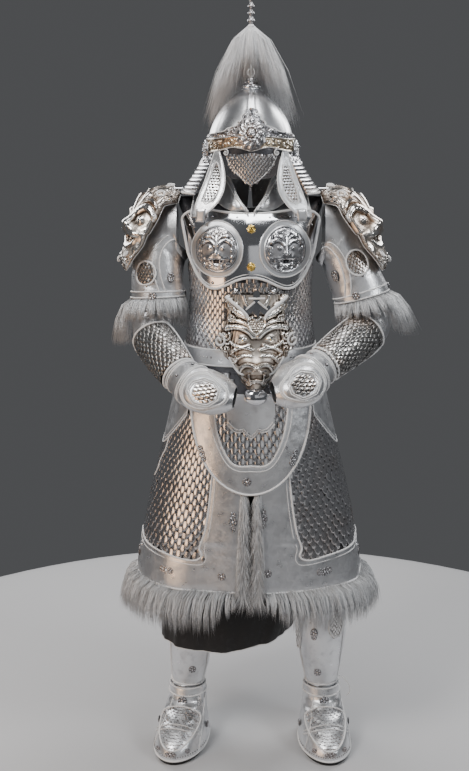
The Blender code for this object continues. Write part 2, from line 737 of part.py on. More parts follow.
def sleeve_fringe(side, sleeve, forearm, hem_way):
    """Fur round the sleeve's hem. It stands off on the outer side, and is cut short
    in front, where it lies on the forearm."""
    count = 24
    down = Vector(hem_way).normalized()
    forward = (forearm.centres[4] - forearm.centres[1]).normalized()
    stations = []
    for k in range(count):
        edge = sleeve.point(4, 360 * k / count)
        out = (edge - sleeve.centres[4]).normalized()
        stations.append((edge + down * 0.0010, down, out))

    def hang(k):
        out = (stations[k][2] + stations[(k + 1) % count][2]).normalized()
        outer = max(0.0, out.x * side)
        ahead = max(0.0, out.dot(forward))
        length = 0.080 + 0.034 * outer + 0.008 * sin(2.7 * k)
        spread = 0.002 + 0.048 * outer ** 1.5
        if ahead > 0.2:
            length = 0.030 - 0.012 * ahead
            inward = max(0.0, -out.x * side)
            spread = (0.026 + 0.012 * ahead) * (1 - inward)
        return out * spread * 0.6 + down * length * 0.5, out * spread + down * length

    fringe(side_name("sleeve_fringe", side), stations, hang, 0.007, 0.005, GREY_FUR,
           closed=True, swell=0.9)


def vambrace(side, forearm):
    """A scale plate over the outside of the forearm."""
    outside = Vector((side * 0.45, -0.75, 0.50))
    way, across, upward = forearm.frames[4]
    centre = atan2(outside.dot(upward), outside.dot(across)) * 180 / pi
    places = (2.75, 3, 4, 5, 5.45)
    halves = (66, 82, 98, 96, 88)
    grid = []
    for place, half in zip(places, halves):
        line = [forearm.point(place, centre + a, 0.0046) for a in steps(-half, half, 8)]
        grid.append(line)
    panel(side_name("vambrace", side), grid, PLATE, SCALES)


# x, height, half depth of the pauldron's spine from the shoulder out and down, and
# how far its front and back edges lie behind the spine
PAULDRON = (
    (0.1860, 1.5555, 0.040, 0.018), (0.2280, 1.5640, 0.062, 0.034), (0.2640, 1.5490, 0.078, 0.048),
    (0.2940, 1.5160, 0.084, 0.052), (0.3180, 1.4800, 0.082, 0.050), (0.3230, 1.4460, 0.074, 0.036),
    (0.3380, 1.4080, 0.060, 0.020), (0.3500, 1.3700, 0.038, 0.007))


def bump(x, y, place_x, place_y, wide, tall, raised):
    return raised * exp(-((x - place_x) / wide) ** 2 - ((y - place_y) / tall) ** 2)


def pauldrons():
    """A beast head cap over each shoulder: brow, muzzle and jaw in low relief."""
    last = len(PAULDRON) - 1
    # the right arm hangs closer, so its cap turns in by this much at the lower end
    tuck = {1: 0.0, -1: 0.020}
    for side in (1, -1):
        inner = []
        outer = []
        for k, (x, height, half, behind) in enumerate(PAULDRON):
            before = PAULDRON[max(0, k - 1)]
            after = PAULDRON[min(last, k + 1)]
            run = Vector((after[0] - before[0], 0, after[1] - before[1])).normalized()
            away = Vector((-run.z, 0, run.x))
            x -= tuck[side] * max(0.0, (k - 2) / (last - 2))
            inner_line = []
            outer_line = []
            for share in steps(-1, 1, 8):
                turn = share * pi / 2
                spine = Vector((x, 0, level(height)))
                spine.y = half * sin(turn) - 0.006 * k
                spine -= away * behind * (1 - cos(turn))
                place = k / last
                raised = bump(share, place, 0, 0.56, 0.35, 0.10, 0.010)
                raised += bump(abs(share), place, 0.38, 0.38, 0.18, 0.09, 0.008)
                raised += bump(abs(share), place, 0.75, 0.62, 0.22, 0.12, 0.007)
                raised += bump(share, place, 0, 0.18, 0.30, 0.12, 0.005)
                way = (away * cos(turn) + Vector((0, sin(turn), 0))).normalized()
                lift = spine + way * (0.003 + raised)
                inner_line.append(Vector((side * spine.x, spine.y, spine.z)))
                outer_line.append(Vector((side * lift.x, lift.y, lift.z)))
            inner.append(inner_line)
            outer.append(outer_line)
        name = side_name("pauldron", side)
        relief_panel(name, inner, outer, WARM_SILVER, flip=side > 0)


def shoulder_pins():
    """Flat pins that hold the pauldrons at the shoulder."""
    for side in (1, -1):
        bm = bmesh.new()
        bmesh.ops.create_cube(bm, size=1.0)
        bmesh.ops.scale(bm, vec=(0.062, 0.014, 0.0045), verts=bm.verts)
        name = side_name("shoulder_pin", side)
        pin = new_object(name, mesh_from(name, bm), POLISHED)
        pin.location = (side * 0.2080, -0.010, level(1.5745))
        bevel = pin.modifiers.new("edge", "BEVEL")
        bevel.width = 0.0012
        bevel.segments = 1


# height, left and right half widths of the belly guard
BELLY = (
    (1.066, 0.022), (1.090, 0.038), (1.118, 0.050), (1.146, 0.072), (1.174, 0.090),
    (1.202, 0.092), (1.230, 0.080), (1.258, 0.068), (1.286, 0.074), (1.314, 0.078))


def belly_swell(share, height):
    """How far the guard stands off the body: muzzle below, forehead above."""
    edge = sqrt(max(0.0, 1 - share * share))
    muzzle = bump(share, height, 0, 1.105, 0.75, 0.055, 0.052)
    forehead = bump(share, height, 0, 1.235, 0.80, 0.060, 0.022)
    return 0.0031 + (muzzle + forehead) * edge ** 0.7


def belly_relief(share, height):
    raised = bump(abs(share), height, 0.28, 1.196, 0.14, 0.014, 0.007)
    raised += bump(abs(share), height, 0.42, 1.222, 0.26, 0.012, 0.006)
    raised += bump(abs(share), height, 0.82, 1.185, 0.16, 0.030, 0.006)
    raised += bump(abs(share), height, 0.72, 1.290, 0.20, 0.022, 0.007)
    raised += bump(share, height, 0, 1.245, 0.22, 0.030, 0.006)
    raised += bump(abs(share), height, 0.35, 1.110, 0.25, 0.018, 0.006)
    return 0.003 + raised


def belly_guard():
    """A beast mask over the belly, hollow behind."""
    centre = 0.012
    inner = []
    outer = []
    for height, half in BELLY:
        inner_line = []
        outer_line = []
        for share in steps(-1, 1, 10):
            angle = front_angle(centre + half * share, height)
            base = ON_TRIM + belly_swell(share, height)
            inner_line.append(body(angle, height, base))
            outer_line.append(body(angle, height, base + belly_relief(share, height)))
        inner.append(inner_line)
        outer.append(outer_line)
    relief_panel("belly_guard", inner, outer, WARM_SILVER)

    # height, half width of the blade and its wings on the forehead
    blade = ((1.266, 0.004), (1.278, 0.020), (1.290, 0.024), (1.300, 0.010), (1.306, 0.014),
             (1.312, 0.006), (1.332, 0.004))
    grid = []
    for height, half in blade:
        grid.append([body(front_angle(centre + x, height), height, 0.0372)
                     for x in (-half, 0, half)])
    panel("belly_blade", grid, PLATE, POLISHED)


def hem_fringes():
    """Fur along the front opening and the hem, one strip for each half."""
    for side in (1, -1):
        stations = []
        kinds = []
        for height in steps(0.790, 0.550, 9):
            angle = skirt_edge(height)
            edge = body(side * (angle - 0.3), height, 0.0)
            out = (body(side * angle, height, 0.01) - body(side * angle, height)).normalized()
            stations.append((edge, Vector((-side, 0, 0)), out))
            kinds.append(0.0)
        corner = body(side * (skirt_edge(0.5194) - 0.3), 0.5194)
        out = Vector((0, -1, 0))
        stations.append((corner, Vector((-side * 0.70, 0, -0.70)), out))
        kinds.append(0.5)
        for angle in [11, 15] + list(range(20, 180, 6)) + [179.4]:
            edge = body(side * angle, 0.5194)
            out = Vector((edge.x, edge.y, 0)).normalized()
            stations.append((edge, Vector((0, 0, -1)), out))
            kinds.append(1.0)

        def hang(k):
            along = (kinds[k] + kinds[min(k + 1, len(kinds) - 1)]) / 2
            wave = sin(2.9 * k)
            if along < 0.3:
                tip = Vector((-side * 0.014, -0.010, -0.070 - 0.008 * wave))
                return tip * 0.5, tip
            out = (stations[k][2] + stations[k + 1][2]).normalized()
            spread = 0.046 + 0.006 * wave
            tip = out * spread + Vector((0, 0, -0.108 - 0.010 * wave))
            return out * spread * 0.62 + Vector((0, 0, tip.z * 0.5)), tip

        fringe(side_name("hem_fringe", side), stations, hang, 0.007, 0.006, GREY_FUR, swell=0.95)


def greaves():
    """Leather tubes round the shins, open at both ends."""
    # x, y, height, radius, radius
    left = ((0.2060, 0.015, 0.4000, 0.066, 0.070), (0.2060, 0.015, 0.3200, 0.068, 0.074),
            (0.2080, 0.018, 0.2300, 0.057, 0.062), (0.2100, 0.020, 0.1680, 0.0442, 0.0442),
            (0.2100, 0.020, 0.1500, 0.0443, 0.0443))
    right = ((-0.1660, 0.015, 0.4000, 0.060, 0.066), (-0.1660, 0.015, 0.3200, 0.062, 0.070),
             (-0.1720, 0.018, 0.2300, 0.054, 0.060), (-0.1780, 0.020, 0.1680, 0.0442, 0.0442),
             (-0.1780, 0.020, 0.1500, 0.0443, 0.0443))
    for side, rows in ((1, left), (-1, right)):
        limb = Limb(rows, (0, 0, -1), (0, 0, -1))
        panel(side_name("greave", side), limb.grid(range(5), ROUND), LEATHER,
              SILVER_LEATHER, closed=True)


def boots():
    """Boots with a flat sole and an open top."""
    # height, centre y before the boot is turned, half width, half length
    rings = ((0.000, -0.068, 0.066, 0.128), (0.012, -0.068, 0.074, 0.134),
             (0.045, -0.062, 0.073, 0.128), (0.080, -0.040, 0.064, 0.104),
             (0.118, -0.006, 0.055, 0.068), (0.1600, 0.000, 0.0521, 0.0521))
    sides = 16
    for side, x, toe_out in ((1, 0.210, 4), (-1, -0.178, 12)):
        bm = bmesh.new()
        grid = []
        for height, centre, half_wide, half_long in rings:
            line = []
            for k in range(sides):
                turn = 2 * pi * k / sides
                line.append(Vector((half_wide * sin(turn), centre - half_long * cos(turn),
                                    height)))
            grid.append(line)
        rows = grid_faces(bm, grid, True)
        bm.faces.new(rows[0][::-1])
        name = side_name("boot", side)
        boot = new_object(name, mesh_from(name, bm), SILVER_LEATHER)
        boot.location = (x, 0.020, level(0))
        boot.rotation_euler = (0, 0, radians(side * toe_out))
        thicken(boot, 0.0040, inward=True)


def lace(name, route, radius):
    """A thin lace as a smooth curve through the route's points."""
    def along(k, part):
        a, b, c, d = (Vector(route[min(max(k + i, 0), len(route) - 1)]) for i in (-1, 0, 1, 2))
        return 0.5 * (2 * b + (c - a) * part + (2 * a - 5 * b + 4 * c - d) * part ** 2
                      + (3 * b - a - 3 * c + d) * part ** 3)

    points = [along(k, i / 4) for k in range(len(route) - 1) for i in range(4)]
    points.append(Vector(route[-1]))
    curve = bpy.data.curves.new(name, "CURVE")
    curve.dimensions = "3D"
    curve.bevel_depth = radius
    curve.bevel_resolution = 2
    curve.use_fill_caps = True
    spline = curve.splines.new("POLY")
    spline.points.add(len(points) - 1)
    for target, point in zip(spline.points, points):
        target.co = (point.x, point.y, point.z, 1.0)
    new_object(name, curve, WHITE_HAIR, metallic=0.0, roughness=0.7)


def laces():
    """Free ends of two ties: one below the right hip flap, one at the left shin."""
    radius = 0.0015
    hip = [body(-angle, height, CLOTH + 0.0026) for angle, height in (
        (70, 0.9125), (71, 0.880), (76, 0.850), (78, 0.820), (84, 0.795))]
    lace("hip_lace", hip, radius)
    shin = [(x, y, level(height)) for x, y, height in (
        (0.2560, 0.002, 0.186), (0.2720, -0.006, 0.180), (0.2860, -0.012, 0.165),
        (0.2910, -0.014, 0.143), (0.2800, -0.016, 0.130))]
    lace("shin_lace", shin, radius)


def main():
    clear_scene()
    collection = bpy.data.collections.new("suit_of_armour")
    bpy.context.scene.collection.children.link(collection)
    coat()
    skirts()
    skirt_borders()
    under_cloth()
    belt()
    hip_flaps()
    apron()
    breast_and_back()
    chest_discs()
    chest_knobs()
    shoulder_straps()
    collar()
    helmet()
    finial_and_plume()
    face_mail()
    neck_guard()
    cheek_flaps()
    arms()
    pauldrons()
    shoulder_pins()
    belly_guard()
    hem_fringes()
    greaves()
    boots()
    laces()


main()
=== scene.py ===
"""The looks of a suit of silver scale armour, dressed over its fixed frame.

Metres, +Z up, the wearer faces -Y. Heights are measured from the boot soles, and
level() turns them into Z. Every finished piece lies at the origin, unturned, with its
place in its mesh. A form is the surface that a layer of the suit is built on, and
"out" is a distance from that surface.
"""
from math import cos, pi, radians, sin

import bpy
import numpy as np
from mathutils import Matrix, Vector


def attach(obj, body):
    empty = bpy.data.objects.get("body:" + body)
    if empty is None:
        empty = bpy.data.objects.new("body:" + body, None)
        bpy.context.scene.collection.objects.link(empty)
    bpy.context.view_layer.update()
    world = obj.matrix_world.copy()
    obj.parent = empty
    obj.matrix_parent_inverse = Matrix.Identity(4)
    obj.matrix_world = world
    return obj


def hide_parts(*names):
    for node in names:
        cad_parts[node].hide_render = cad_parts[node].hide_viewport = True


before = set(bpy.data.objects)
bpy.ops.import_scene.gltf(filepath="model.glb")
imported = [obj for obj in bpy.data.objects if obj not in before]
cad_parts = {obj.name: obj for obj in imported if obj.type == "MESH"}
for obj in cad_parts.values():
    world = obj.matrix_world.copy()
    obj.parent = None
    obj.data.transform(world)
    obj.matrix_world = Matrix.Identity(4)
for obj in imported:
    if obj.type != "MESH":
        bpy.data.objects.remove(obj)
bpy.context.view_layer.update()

bl_info = {
    "name": "Suit of Scale Armour",
    "version": (1, 0, 0),
    "blender": (4, 5, 0),
    "location": "View3D > Sidebar > Armour",
    "description": "Dresses a hollow suit of silver scale armour with fur, leather and relief",
    "category": "Add Mesh",
}

SHOULDER_LEVEL = 1.50     # the origin, above the boot soles
SQUARENESS = 0.88         # below 1 the body's sections are squarer than an ellipse

# Layers on the body form, as distances from its inner face
COAT = 0.0030
TRIM = 0.0050
PLATE = 0.0081
APRON = 0.0100
APRON_TRIM = 0.0142
LEATHER = 0.0022

# height, half width, front depth, back depth
BODY_ROWS = (
    (0.520, 0.310, 0.205, 0.210),
    (0.600, 0.297, 0.200, 0.204),
    (0.714, 0.277, 0.194, 0.194),
    (0.800, 0.257, 0.187, 0.184),
    (0.916, 0.226, 0.177, 0.168),
    (1.020, 0.200, 0.162, 0.146),
    (1.120, 0.177, 0.145, 0.124),
    (1.200, 0.166, 0.140, 0.118),
    (1.300, 0.158, 0.144, 0.122),
    (1.380, 0.164, 0.150, 0.130),
    (1.440, 0.176, 0.146, 0.130),
    (1.500, 0.188, 0.118, 0.108),
    (1.535, 0.193, 0.072, 0.070),
    (1.552, 0.193, 0.018, 0.022),
)
HEAD_ROWS = (
    (1.580, 0.098, 0.120, 0.100),
    (1.668, 0.110, 0.126, 0.124),
    (1.700, 0.108, 0.124, 0.124),
    (1.728, 0.101, 0.115, 0.117),
    (1.758, 0.087, 0.099, 0.102),
    (1.786, 0.067, 0.076, 0.079),
    (1.810, 0.042, 0.048, 0.050),
    (1.826, 0.017, 0.017, 0.017),
)
NECK_ROWS = (
    (1.535, 0.187, 0.152, 0.176),
    (1.562, 0.178, 0.146, 0.170),
    (1.590, 0.160, 0.140, 0.160),
    (1.622, 0.139, 0.133, 0.148),
    (1.650, 0.123, 0.129, 0.134),
    (1.6664, 0.1118, 0.1270, 0.1258),
)
COLLAR_ROWS = (
    (1.485, 0.112, 0.136, 0.088),
    (1.520, 0.094, 0.128, 0.080),
    (1.560, 0.080, 0.106, 0.072),
    (1.605, 0.074, 0.088, 0.068),
)
UNDER_ROWS = (
    (0.325, 0.180, 0.150, 0.165),
    (0.600, 0.232, 0.170, 0.175),
    (0.880, 0.222, 0.165, 0.160),
    (1.090, 0.1836, 0.1498, 0.1303),
)
# height, sideways shift of the under cloth, which hangs round the right leg
UNDER_SHIFT = ((0.325, -0.068), (0.600, -0.020), (0.880, 0.0), (1.090, 0.0))


def level(height):
    """Z of a height that is measured from the soles."""
    return height - SHOULDER_LEVEL


def smooth_rows(keys, values, wanted):
    """Cubic curves through the rows of values, read at the wanted keys."""
    keys = np.asarray(keys, float)
    values = np.asarray(values, float)
    gaps = np.diff(keys)
    secants = np.diff(values, axis=0) / gaps[:, None]
    slopes = np.vstack([secants[:1], secants[-1:]])
    if len(keys) > 2:
        before = gaps[:-1, None]
        after = gaps[1:, None]
        middle = (secants[:-1] * after + secants[1:] * before) / (before + after)
        slopes = np.vstack([secants[:1], middle, secants[-1:]])
    wanted = np.asarray(wanted, float)
    inside = np.clip(wanted, keys[0], keys[-1])
    row = np.clip(np.searchsorted(keys, inside, side="right") - 1, 0, len(gaps) - 1)
    gap = gaps[row][..., None]
    t = ((inside - keys[row]) / gaps[row])[..., None]
    return (
        (1 + 2 * t) * (1 - t) ** 2 * values[row] + t * (1 - t) ** 2 * gap * slopes[row]
        + t * t * (3 - 2 * t) * values[row + 1] + t * t * (t - 1) * gap * slopes[row + 1]
    )


def grids(*values):
    """The values as arrays of one shape."""
    return np.broadcast_arrays(*(np.asarray(value, float) for value in values))


def ramp(value):
    """The value, held from 0 to 1."""
    return np.clip(value, 0, 1)


def bell(offset, width):
    """A bell curve: 1 where the offset is 0, and near 0 past twice the width."""
    return np.exp(-(offset / width) ** 2)


def walked(points):
    """Distance along a line of points, from its start to each of them."""
    return np.concatenate([[0], np.cumsum(np.linalg.norm(np.diff(points, axis=0), axis=1))])


def grid_row(low, high, count):
    """A row of even values, which spans the columns of a grid."""
    return np.linspace(low, high, count)[None, :]


def grid_column(low, high, count):
    """A column of even values, which spans the rows of a grid."""
    return np.linspace(low, high, count)[:, None]


def round_row(whole, count):
    """A row of even values round a closed grid, without the last, which is the first again."""
    return np.linspace(0, whole, count + 1)[None, :-1]


def unit(vectors):
    length = np.linalg.norm(vectors, axis=-1, keepdims=True)
    return vectors / np.maximum(length, 1e-9)


class Form:
    """A stacked form. at() gives points by angle, height and distance out of it."""

    def __init__(self, rows, squareness=1.0):
        table = np.array(rows)
        self.heights = table[:, 0]
        self.sizes = table[:, 1:]
        self.squareness = squareness

    def width(self, height):
        return smooth_rows(self.heights, self.sizes, height)[..., 0]

    def section(self, angle, height):
        size = smooth_rows(self.heights, self.sizes, height)
        across = np.sin(np.radians(angle))
        ahead = np.cos(np.radians(angle))
        x = size[..., 0] * np.sign(across) * np.abs(across) ** self.squareness
        depth = np.where(ahead >= 0, size[..., 1], size[..., 2])
        y = -depth * np.sign(ahead) * np.abs(ahead) ** self.squareness
        return np.stack([x, y, level(height) + 0 * x], -1)

    def at(self, angle, height, out=0.0):
        angle, height, out = grids(angle, height, out)
        around = self.section(angle + 1.5, height) - self.section(angle - 1.5, height)
        upward = self.section(angle, height + 0.003) - self.section(angle, height - 0.003)
        return self.section(angle, height) + unit(np.cross(around, upward)) * out[..., None]

    def front_angle(self, x, height):
        """The angle, in front, whose point has this x."""
        share = ramp(np.abs(x) / self.width(height)) ** (1 / self.squareness)
        return np.sign(x) * np.degrees(np.arcsin(share))


BODY = Form(BODY_ROWS, SQUARENESS)
HEAD = Form(HEAD_ROWS)
NECK = Form(NECK_ROWS)
COLLAR = Form(COLLAR_ROWS)
UNDER = Form(UNDER_ROWS, SQUARENESS)


class Limb:
    """Rings along a path. at() gives points by place in rings, angle and distance out."""

    def __init__(self, rows, first_way, last_way=None, across=(0, 1, 0)):
        table = np.array(rows, float)
        self.centres = table[:, :3].copy()
        self.centres[:, 2] -= SHOULDER_LEVEL
        self.radii = table[:, 3:]
        self.across = []
        self.upward = []
        last = len(rows) - 1
        across = np.array(across, float)
        for k in range(last + 1):
            way = self.centres[min(k + 1, last)] - self.centres[max(k - 1, 0)]
            if k == 0:
                way = np.array(first_way, float)
            elif k == last and last_way:
                way = np.array(last_way, float)
            way = way / np.linalg.norm(way)
            across = across - way * across.dot(way)
            across = across / np.linalg.norm(across)
            self.across.append(across)
            self.upward.append(np.cross(way, across))
        self.rings = np.hstack([self.centres, self.radii, np.array(self.across), np.array(self.upward)])

    def at(self, place, angle, out=0.0):
        place, angle, out = grids(place, angle, out)
        ring = smooth_rows(range(len(self.centres)), self.rings, place)
        turn = np.radians(angle)
        deep = (ring[..., 4] + out) * np.cos(turn)
        tall = (ring[..., 3] + out) * np.sin(turn)
        return ring[..., :3] + unit(ring[..., 5:8]) * deep[..., None] + unit(ring[..., 8:]) * tall[..., None]

    def along(self, angle, place, out=0.0):
        """The same by angle and place, so that the place is what runs down the limb."""
        return self.at(place, angle, out)


# x, y, height, radius up and down, radius front to back; the left arm, at +X
SLEEVE_LEFT = (
    (0.1941, 0.000, 1.4620, 0.0890, 0.0700), (0.2260, -0.004, 1.4460, 0.0680, 0.0690),
    (0.2500, -0.012, 1.4050, 0.0660, 0.0680), (0.2760, -0.020, 1.3450, 0.0680, 0.0690),
    (0.2980, -0.025, 1.2900, 0.0720, 0.0720))
SLEEVE_RIGHT = (
    (-0.1941, 0.000, 1.4620, 0.0890, 0.0700), (-0.2220, -0.004, 1.4440, 0.0660, 0.0690),
    (-0.2400, -0.014, 1.4000, 0.0660, 0.0680), (-0.2460, -0.024, 1.3450, 0.0660, 0.0680),
    (-0.2470, -0.030, 1.2900, 0.0690, 0.0700))
FOREARM_LEFT = (
    (0.2980, -0.025, 1.2900, 0.0691, 0.0691), (0.3150, -0.032, 1.2480, 0.0570, 0.0570),
    (0.3160, -0.056, 1.2150, 0.0520, 0.0520), (0.2900, -0.095, 1.1960, 0.0500, 0.0500),
    (0.2450, -0.140, 1.1720, 0.0480, 0.0480), (0.2000, -0.180, 1.1460, 0.0430, 0.0430),
    (0.1720, -0.205, 1.1300, 0.0400, 0.0400))
FOREARM_RIGHT = (
    (-0.2470, -0.030, 1.2900, 0.0662, 0.0672), (-0.2570, -0.036, 1.2480, 0.0560, 0.0560),
    (-0.2600, -0.060, 1.2130, 0.0520, 0.0520), (-0.2480, -0.100, 1.1820, 0.0500, 0.0500),
    (-0.2220, -0.145, 1.1520, 0.0480, 0.0480), (-0.1920, -0.187, 1.1220, 0.0430, 0.0430),
    (-0.1720, -0.212, 1.1060, 0.0400, 0.0400))
GAUNTLET_LEFT = (
    (0.1810, -0.197, 1.1350, 0.0440, 0.0440), (0.1560, -0.222, 1.1220, 0.0520, 0.0480),
    (0.1300, -0.246, 1.1060, 0.0640, 0.0460), (0.1000, -0.263, 1.0930, 0.0620, 0.0420),
    (0.0720, -0.272, 1.0860, 0.0460, 0.0340), (0.0540, -0.276, 1.0840, 0.0300, 0.0230))
GAUNTLET_RIGHT = (
    (-0.1790, -0.203, 1.1115, 0.0442, 0.0442), (-0.1530, -0.232, 1.0960, 0.0520, 0.0480),
    (-0.1240, -0.252, 1.0840, 0.0640, 0.0460), (-0.0900, -0.267, 1.0760, 0.0620, 0.0420),
    (-0.0600, -0.275, 1.0720, 0.0460, 0.0340), (-0.0420, -0.278, 1.0700, 0.0300, 0.0230))
GREAVE_LEFT = (
    (0.2060, 0.015, 0.4000, 0.066, 0.070), (0.2060, 0.015, 0.3200, 0.068, 0.074),
    (0.2080, 0.018, 0.2300, 0.057, 0.062), (0.2100, 0.020, 0.1680, 0.0442, 0.0442),
    (0.2100, 0.020, 0.1500, 0.0443, 0.0443))
GREAVE_RIGHT = (
    (-0.1660, 0.015, 0.4000, 0.060, 0.066), (-0.1660, 0.015, 0.3200, 0.062, 0.070),
    (-0.1720, 0.018, 0.2300, 0.054, 0.060), (-0.1780, 0.020, 0.1680, 0.0442, 0.0442),
    (-0.1780, 0.020, 0.1500, 0.0443, 0.0443))


class Arm:
    """The forms of one arm: sleeve, forearm and gauntlet, with matching rings."""

    def __init__(self, side):
        self.side = side
        rows = (SLEEVE_LEFT, FOREARM_LEFT, GAUNTLET_LEFT) if side > 0 else (
            SLEEVE_RIGHT, FOREARM_RIGHT, GAUNTLET_RIGHT)
        self.hem_way = (0.25, -0.05, -0.96) if side > 0 else (0.04, -0.08, -1.0)
        self.sleeve = Limb(rows[0], (side, 0, 0), self.hem_way)
        self.forearm = Limb(rows[1], self.hem_way, across=self.sleeve.across[-1])
        wrist_way = self.forearm.centres[-1] - self.forearm.centres[-2]
        self.gauntlet = Limb(rows[2], wrist_way, across=self.forearm.across[-1])


ARMS = {1: Arm(1), -1: Arm(-1)}
SHINS = {1: Limb(GREAVE_LEFT, (0, 0, -1), (0, 0, -1)), -1: Limb(GREAVE_RIGHT, (0, 0, -1), (0, 0, -1))}


def side_name(name, side):
    return name + ("_left" if side > 0 else "_right")


# Meshes from arrays of points

def grid_quads(rows, columns, closed=False):
    """Corner numbers of the quads over a grid of rows, counted row by row."""
    last = columns if closed else columns - 1
    row, column = np.meshgrid(np.arange(rows - 1), np.arange(last), indexing="ij")
    after = (column + 1) % columns
    corners = [row * columns + column, row * columns + after,
               (row + 1) * columns + after, (row + 1) * columns + column]
    return np.stack(corners, -1).reshape(-1, 4)


# The finish slot of each material that isn't named as its slot
SLOTS = {
    "silver_piping": "silver_leather", "satin_plate": "polished_plate", "matte_plate": "polished_plate",
    "antique_silver": "antiqued_metal", "warm_silver": "warm_relief", "brow_gold": "warm_relief",
    "bright_scales": "scales", "dark_scales": "scales", "coat_lining": "scales", "gold": "gold_knob",
    "white_cord": "white_lace",
}
FLOOR_FINISH = "pale_floor"


def set_shade(mesh, shade):
    """A tone for each point, which the finishes read: 0 in recesses, 1 on ridges. On relief it stands for
    patina; on the scales it is painted shade and painted highlight.
    """
    store = mesh.attributes.new("shade", "FLOAT", "POINT")
    store.data.foreach_set("value", np.asarray(shade, np.float32).ravel())


def link_piece(name, mesh):
    piece = bpy.data.objects.new(name, mesh)
    bpy.context.scene.collection.objects.link(piece)
    return piece


def dress(piece, material, slot=None):
    """The piece rides on the suit."""
    if material != FLOOR_FINISH:
        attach(piece, "root")
        slot or SLOTS.get(material, material)
    return piece


def new_piece(name, points, faces, material, shade=None, sharp=50, slot=None):
    """A mesh piece. faces is a list of arrays of corner numbers; shade goes to its points."""
    mesh = bpy.data.meshes.new(name)
    corners = np.concatenate([part.ravel() for part in faces]).astype(np.int32)
    sizes = np.concatenate([np.full(len(part), part.shape[1]) for part in faces])
    starts = np.concatenate([[0], np.cumsum(sizes)[:-1]]).astype(np.int32)
    mesh.vertices.add(len(points))
    mesh.vertices.foreach_set("co", np.asarray(points, np.float32).ravel())
    mesh.loops.add(len(corners))
    mesh.loops.foreach_set("vertex_index", corners)
    mesh.polygons.add(len(starts))
    mesh.polygons.foreach_set("loop_start", starts)
    mesh.update(calc_edges=True)
    mesh.validate()
    set_shade(mesh, shade)
    mesh.shade_smooth()
    mesh.set_sharp_from_angle(angle=radians(sharp))
    mesh.materials.append(bpy.data.materials[material])
    return dress(link_piece(name, mesh), material, slot)


PLAIN_TONE = 0.6      # shade of a surface without relief
INNER_TONE = 0.35     # shade of a wall's inner side


def sheet_normals(points):
    """Normals of a grid of points, by its neighbours along both ways."""
    return unit(np.cross(np.gradient(points, axis=1), np.gradient(points, axis=0)))


def rim_walls(outer_line, inner_line, step, turned):
    """Faces from an outer line to an inner one that has a point at every step of it."""
    first = np.arange(len(inner_line) - 1) * step
    face = [outer_line[first + k] for k in range(step + 1)] + [inner_line[1:], inner_line[:-1]]
    face = np.stack(face, -1)
    return face[:, ::-1] if turned else face


def shell(name, outer, inner, material, closed=False, shade=PLAIN_TONE, tone=None):
    """A closed wall between an outer grid of points and an inner one, which is kept coarser."""
    rows, columns = outer.shape[:2]
    count = rows * columns
    step = 1 if (rows - 1) % 2 else 2
    side_step = 1 if (columns if closed else columns - 1) % 2 else 2
    back = inner.reshape(-1, 3)
    inner = inner[::step, ::side_step]
    quads = grid_quads(rows, columns, closed)
    middle = quads[len(quads) // 2]
    flat = outer.reshape(-1, 3)
    a, b, d = flat[middle[0]], flat[middle[1]], flat[middle[3]]
    wall = a - back[middle[0]]
    turned_in = np.dot(np.cross(b - a, d - a), wall) < 0
    number = np.arange(count).reshape(rows, columns)
    within = count + np.arange(inner.shape[0] * inner.shape[1]).reshape(inner.shape[:2])
    if closed:
        number = np.concatenate([number, number[:, :1]], 1)
        around = np.concatenate([within, within[:, :1]], 1)
    else:
        around = within
    faces = [quads, grid_quads(*within.shape, closed)[:, ::-1] + count,
             rim_walls(number[0], around[0], side_step, True),
             rim_walls(number[-1], around[-1], side_step, False)]
    if not closed:
        faces += [rim_walls(number[:, -1], around[:, -1], step, True),
                  rim_walls(number[:, 0], around[:, 0], step, False)]
    if turned_in:
        faces = [part[:, ::-1] for part in faces]
    points = np.concatenate([flat, inner.reshape(-1, 3)])
    tones = np.full(len(points), INNER_TONE if tone is None else tone)
    if tone is None:
        tones[:count] = np.ravel(shade)
    return new_piece(name, points, faces, material, tones)


def patch(name, at, u, v, out, wall, material, lift=None, closed=False, tone=None):
    """A panel on a form: u and v are grids of its coordinates, lift its relief in metres."""
    u, v = grids(u, v)
    relief = np.zeros(u.shape) if lift is None else lift
    shade = PLAIN_TONE if lift is None else cavity(relief, closed)
    return shell(name, at(u, v, out + wall + relief), at(u, v, out), material, closed, shade, tone)


def blur(field, passes, closed=False):
    for _ in range(passes):
        tall = np.pad(field, ((1, 1), (0, 0)), mode="edge")
        field = (tall[:-2] + 2 * field + tall[2:]) / 4
        wide = np.pad(field, ((0, 0), (1, 1)), mode="wrap" if closed else "edge")
        field = (wide[:, :-2] + 2 * field + wide[:, 2:]) / 4
    return field


def cavity(relief, closed=False):
    """From 0 in a relief's recesses to 1 on its ridges, 0.6 where it is plain."""
    fine = relief - blur(relief, 10, closed)
    broad = relief - blur(relief, 60, closed)
    spread = max(1e-6, float(np.std(fine)))
    wide_spread = max(1e-6, float(np.std(broad)))
    if float(np.max(np.abs(relief))) < 1e-5:
        return np.full(relief.shape, PLAIN_TONE)
    return ramp(0.58 + 0.22 * fine / spread + 0.12 * broad / wide_spread)


def between(low, high, rows):
    """A grid of values from one edge to the other, a row for each step."""
    part = grid_column(0, 1, rows)
    return np.asarray(low)[None, :] * (1 - part) + np.asarray(high)[None, :] * part


def curve_through(keys, values, count):
    """count even keys and the smooth curve of values at them."""
    wanted = np.linspace(keys[0], keys[-1], count)
    return wanted, smooth_rows(keys, np.asarray(values, float)[:, None], wanted)[:, 0]


# Geometry Nodes

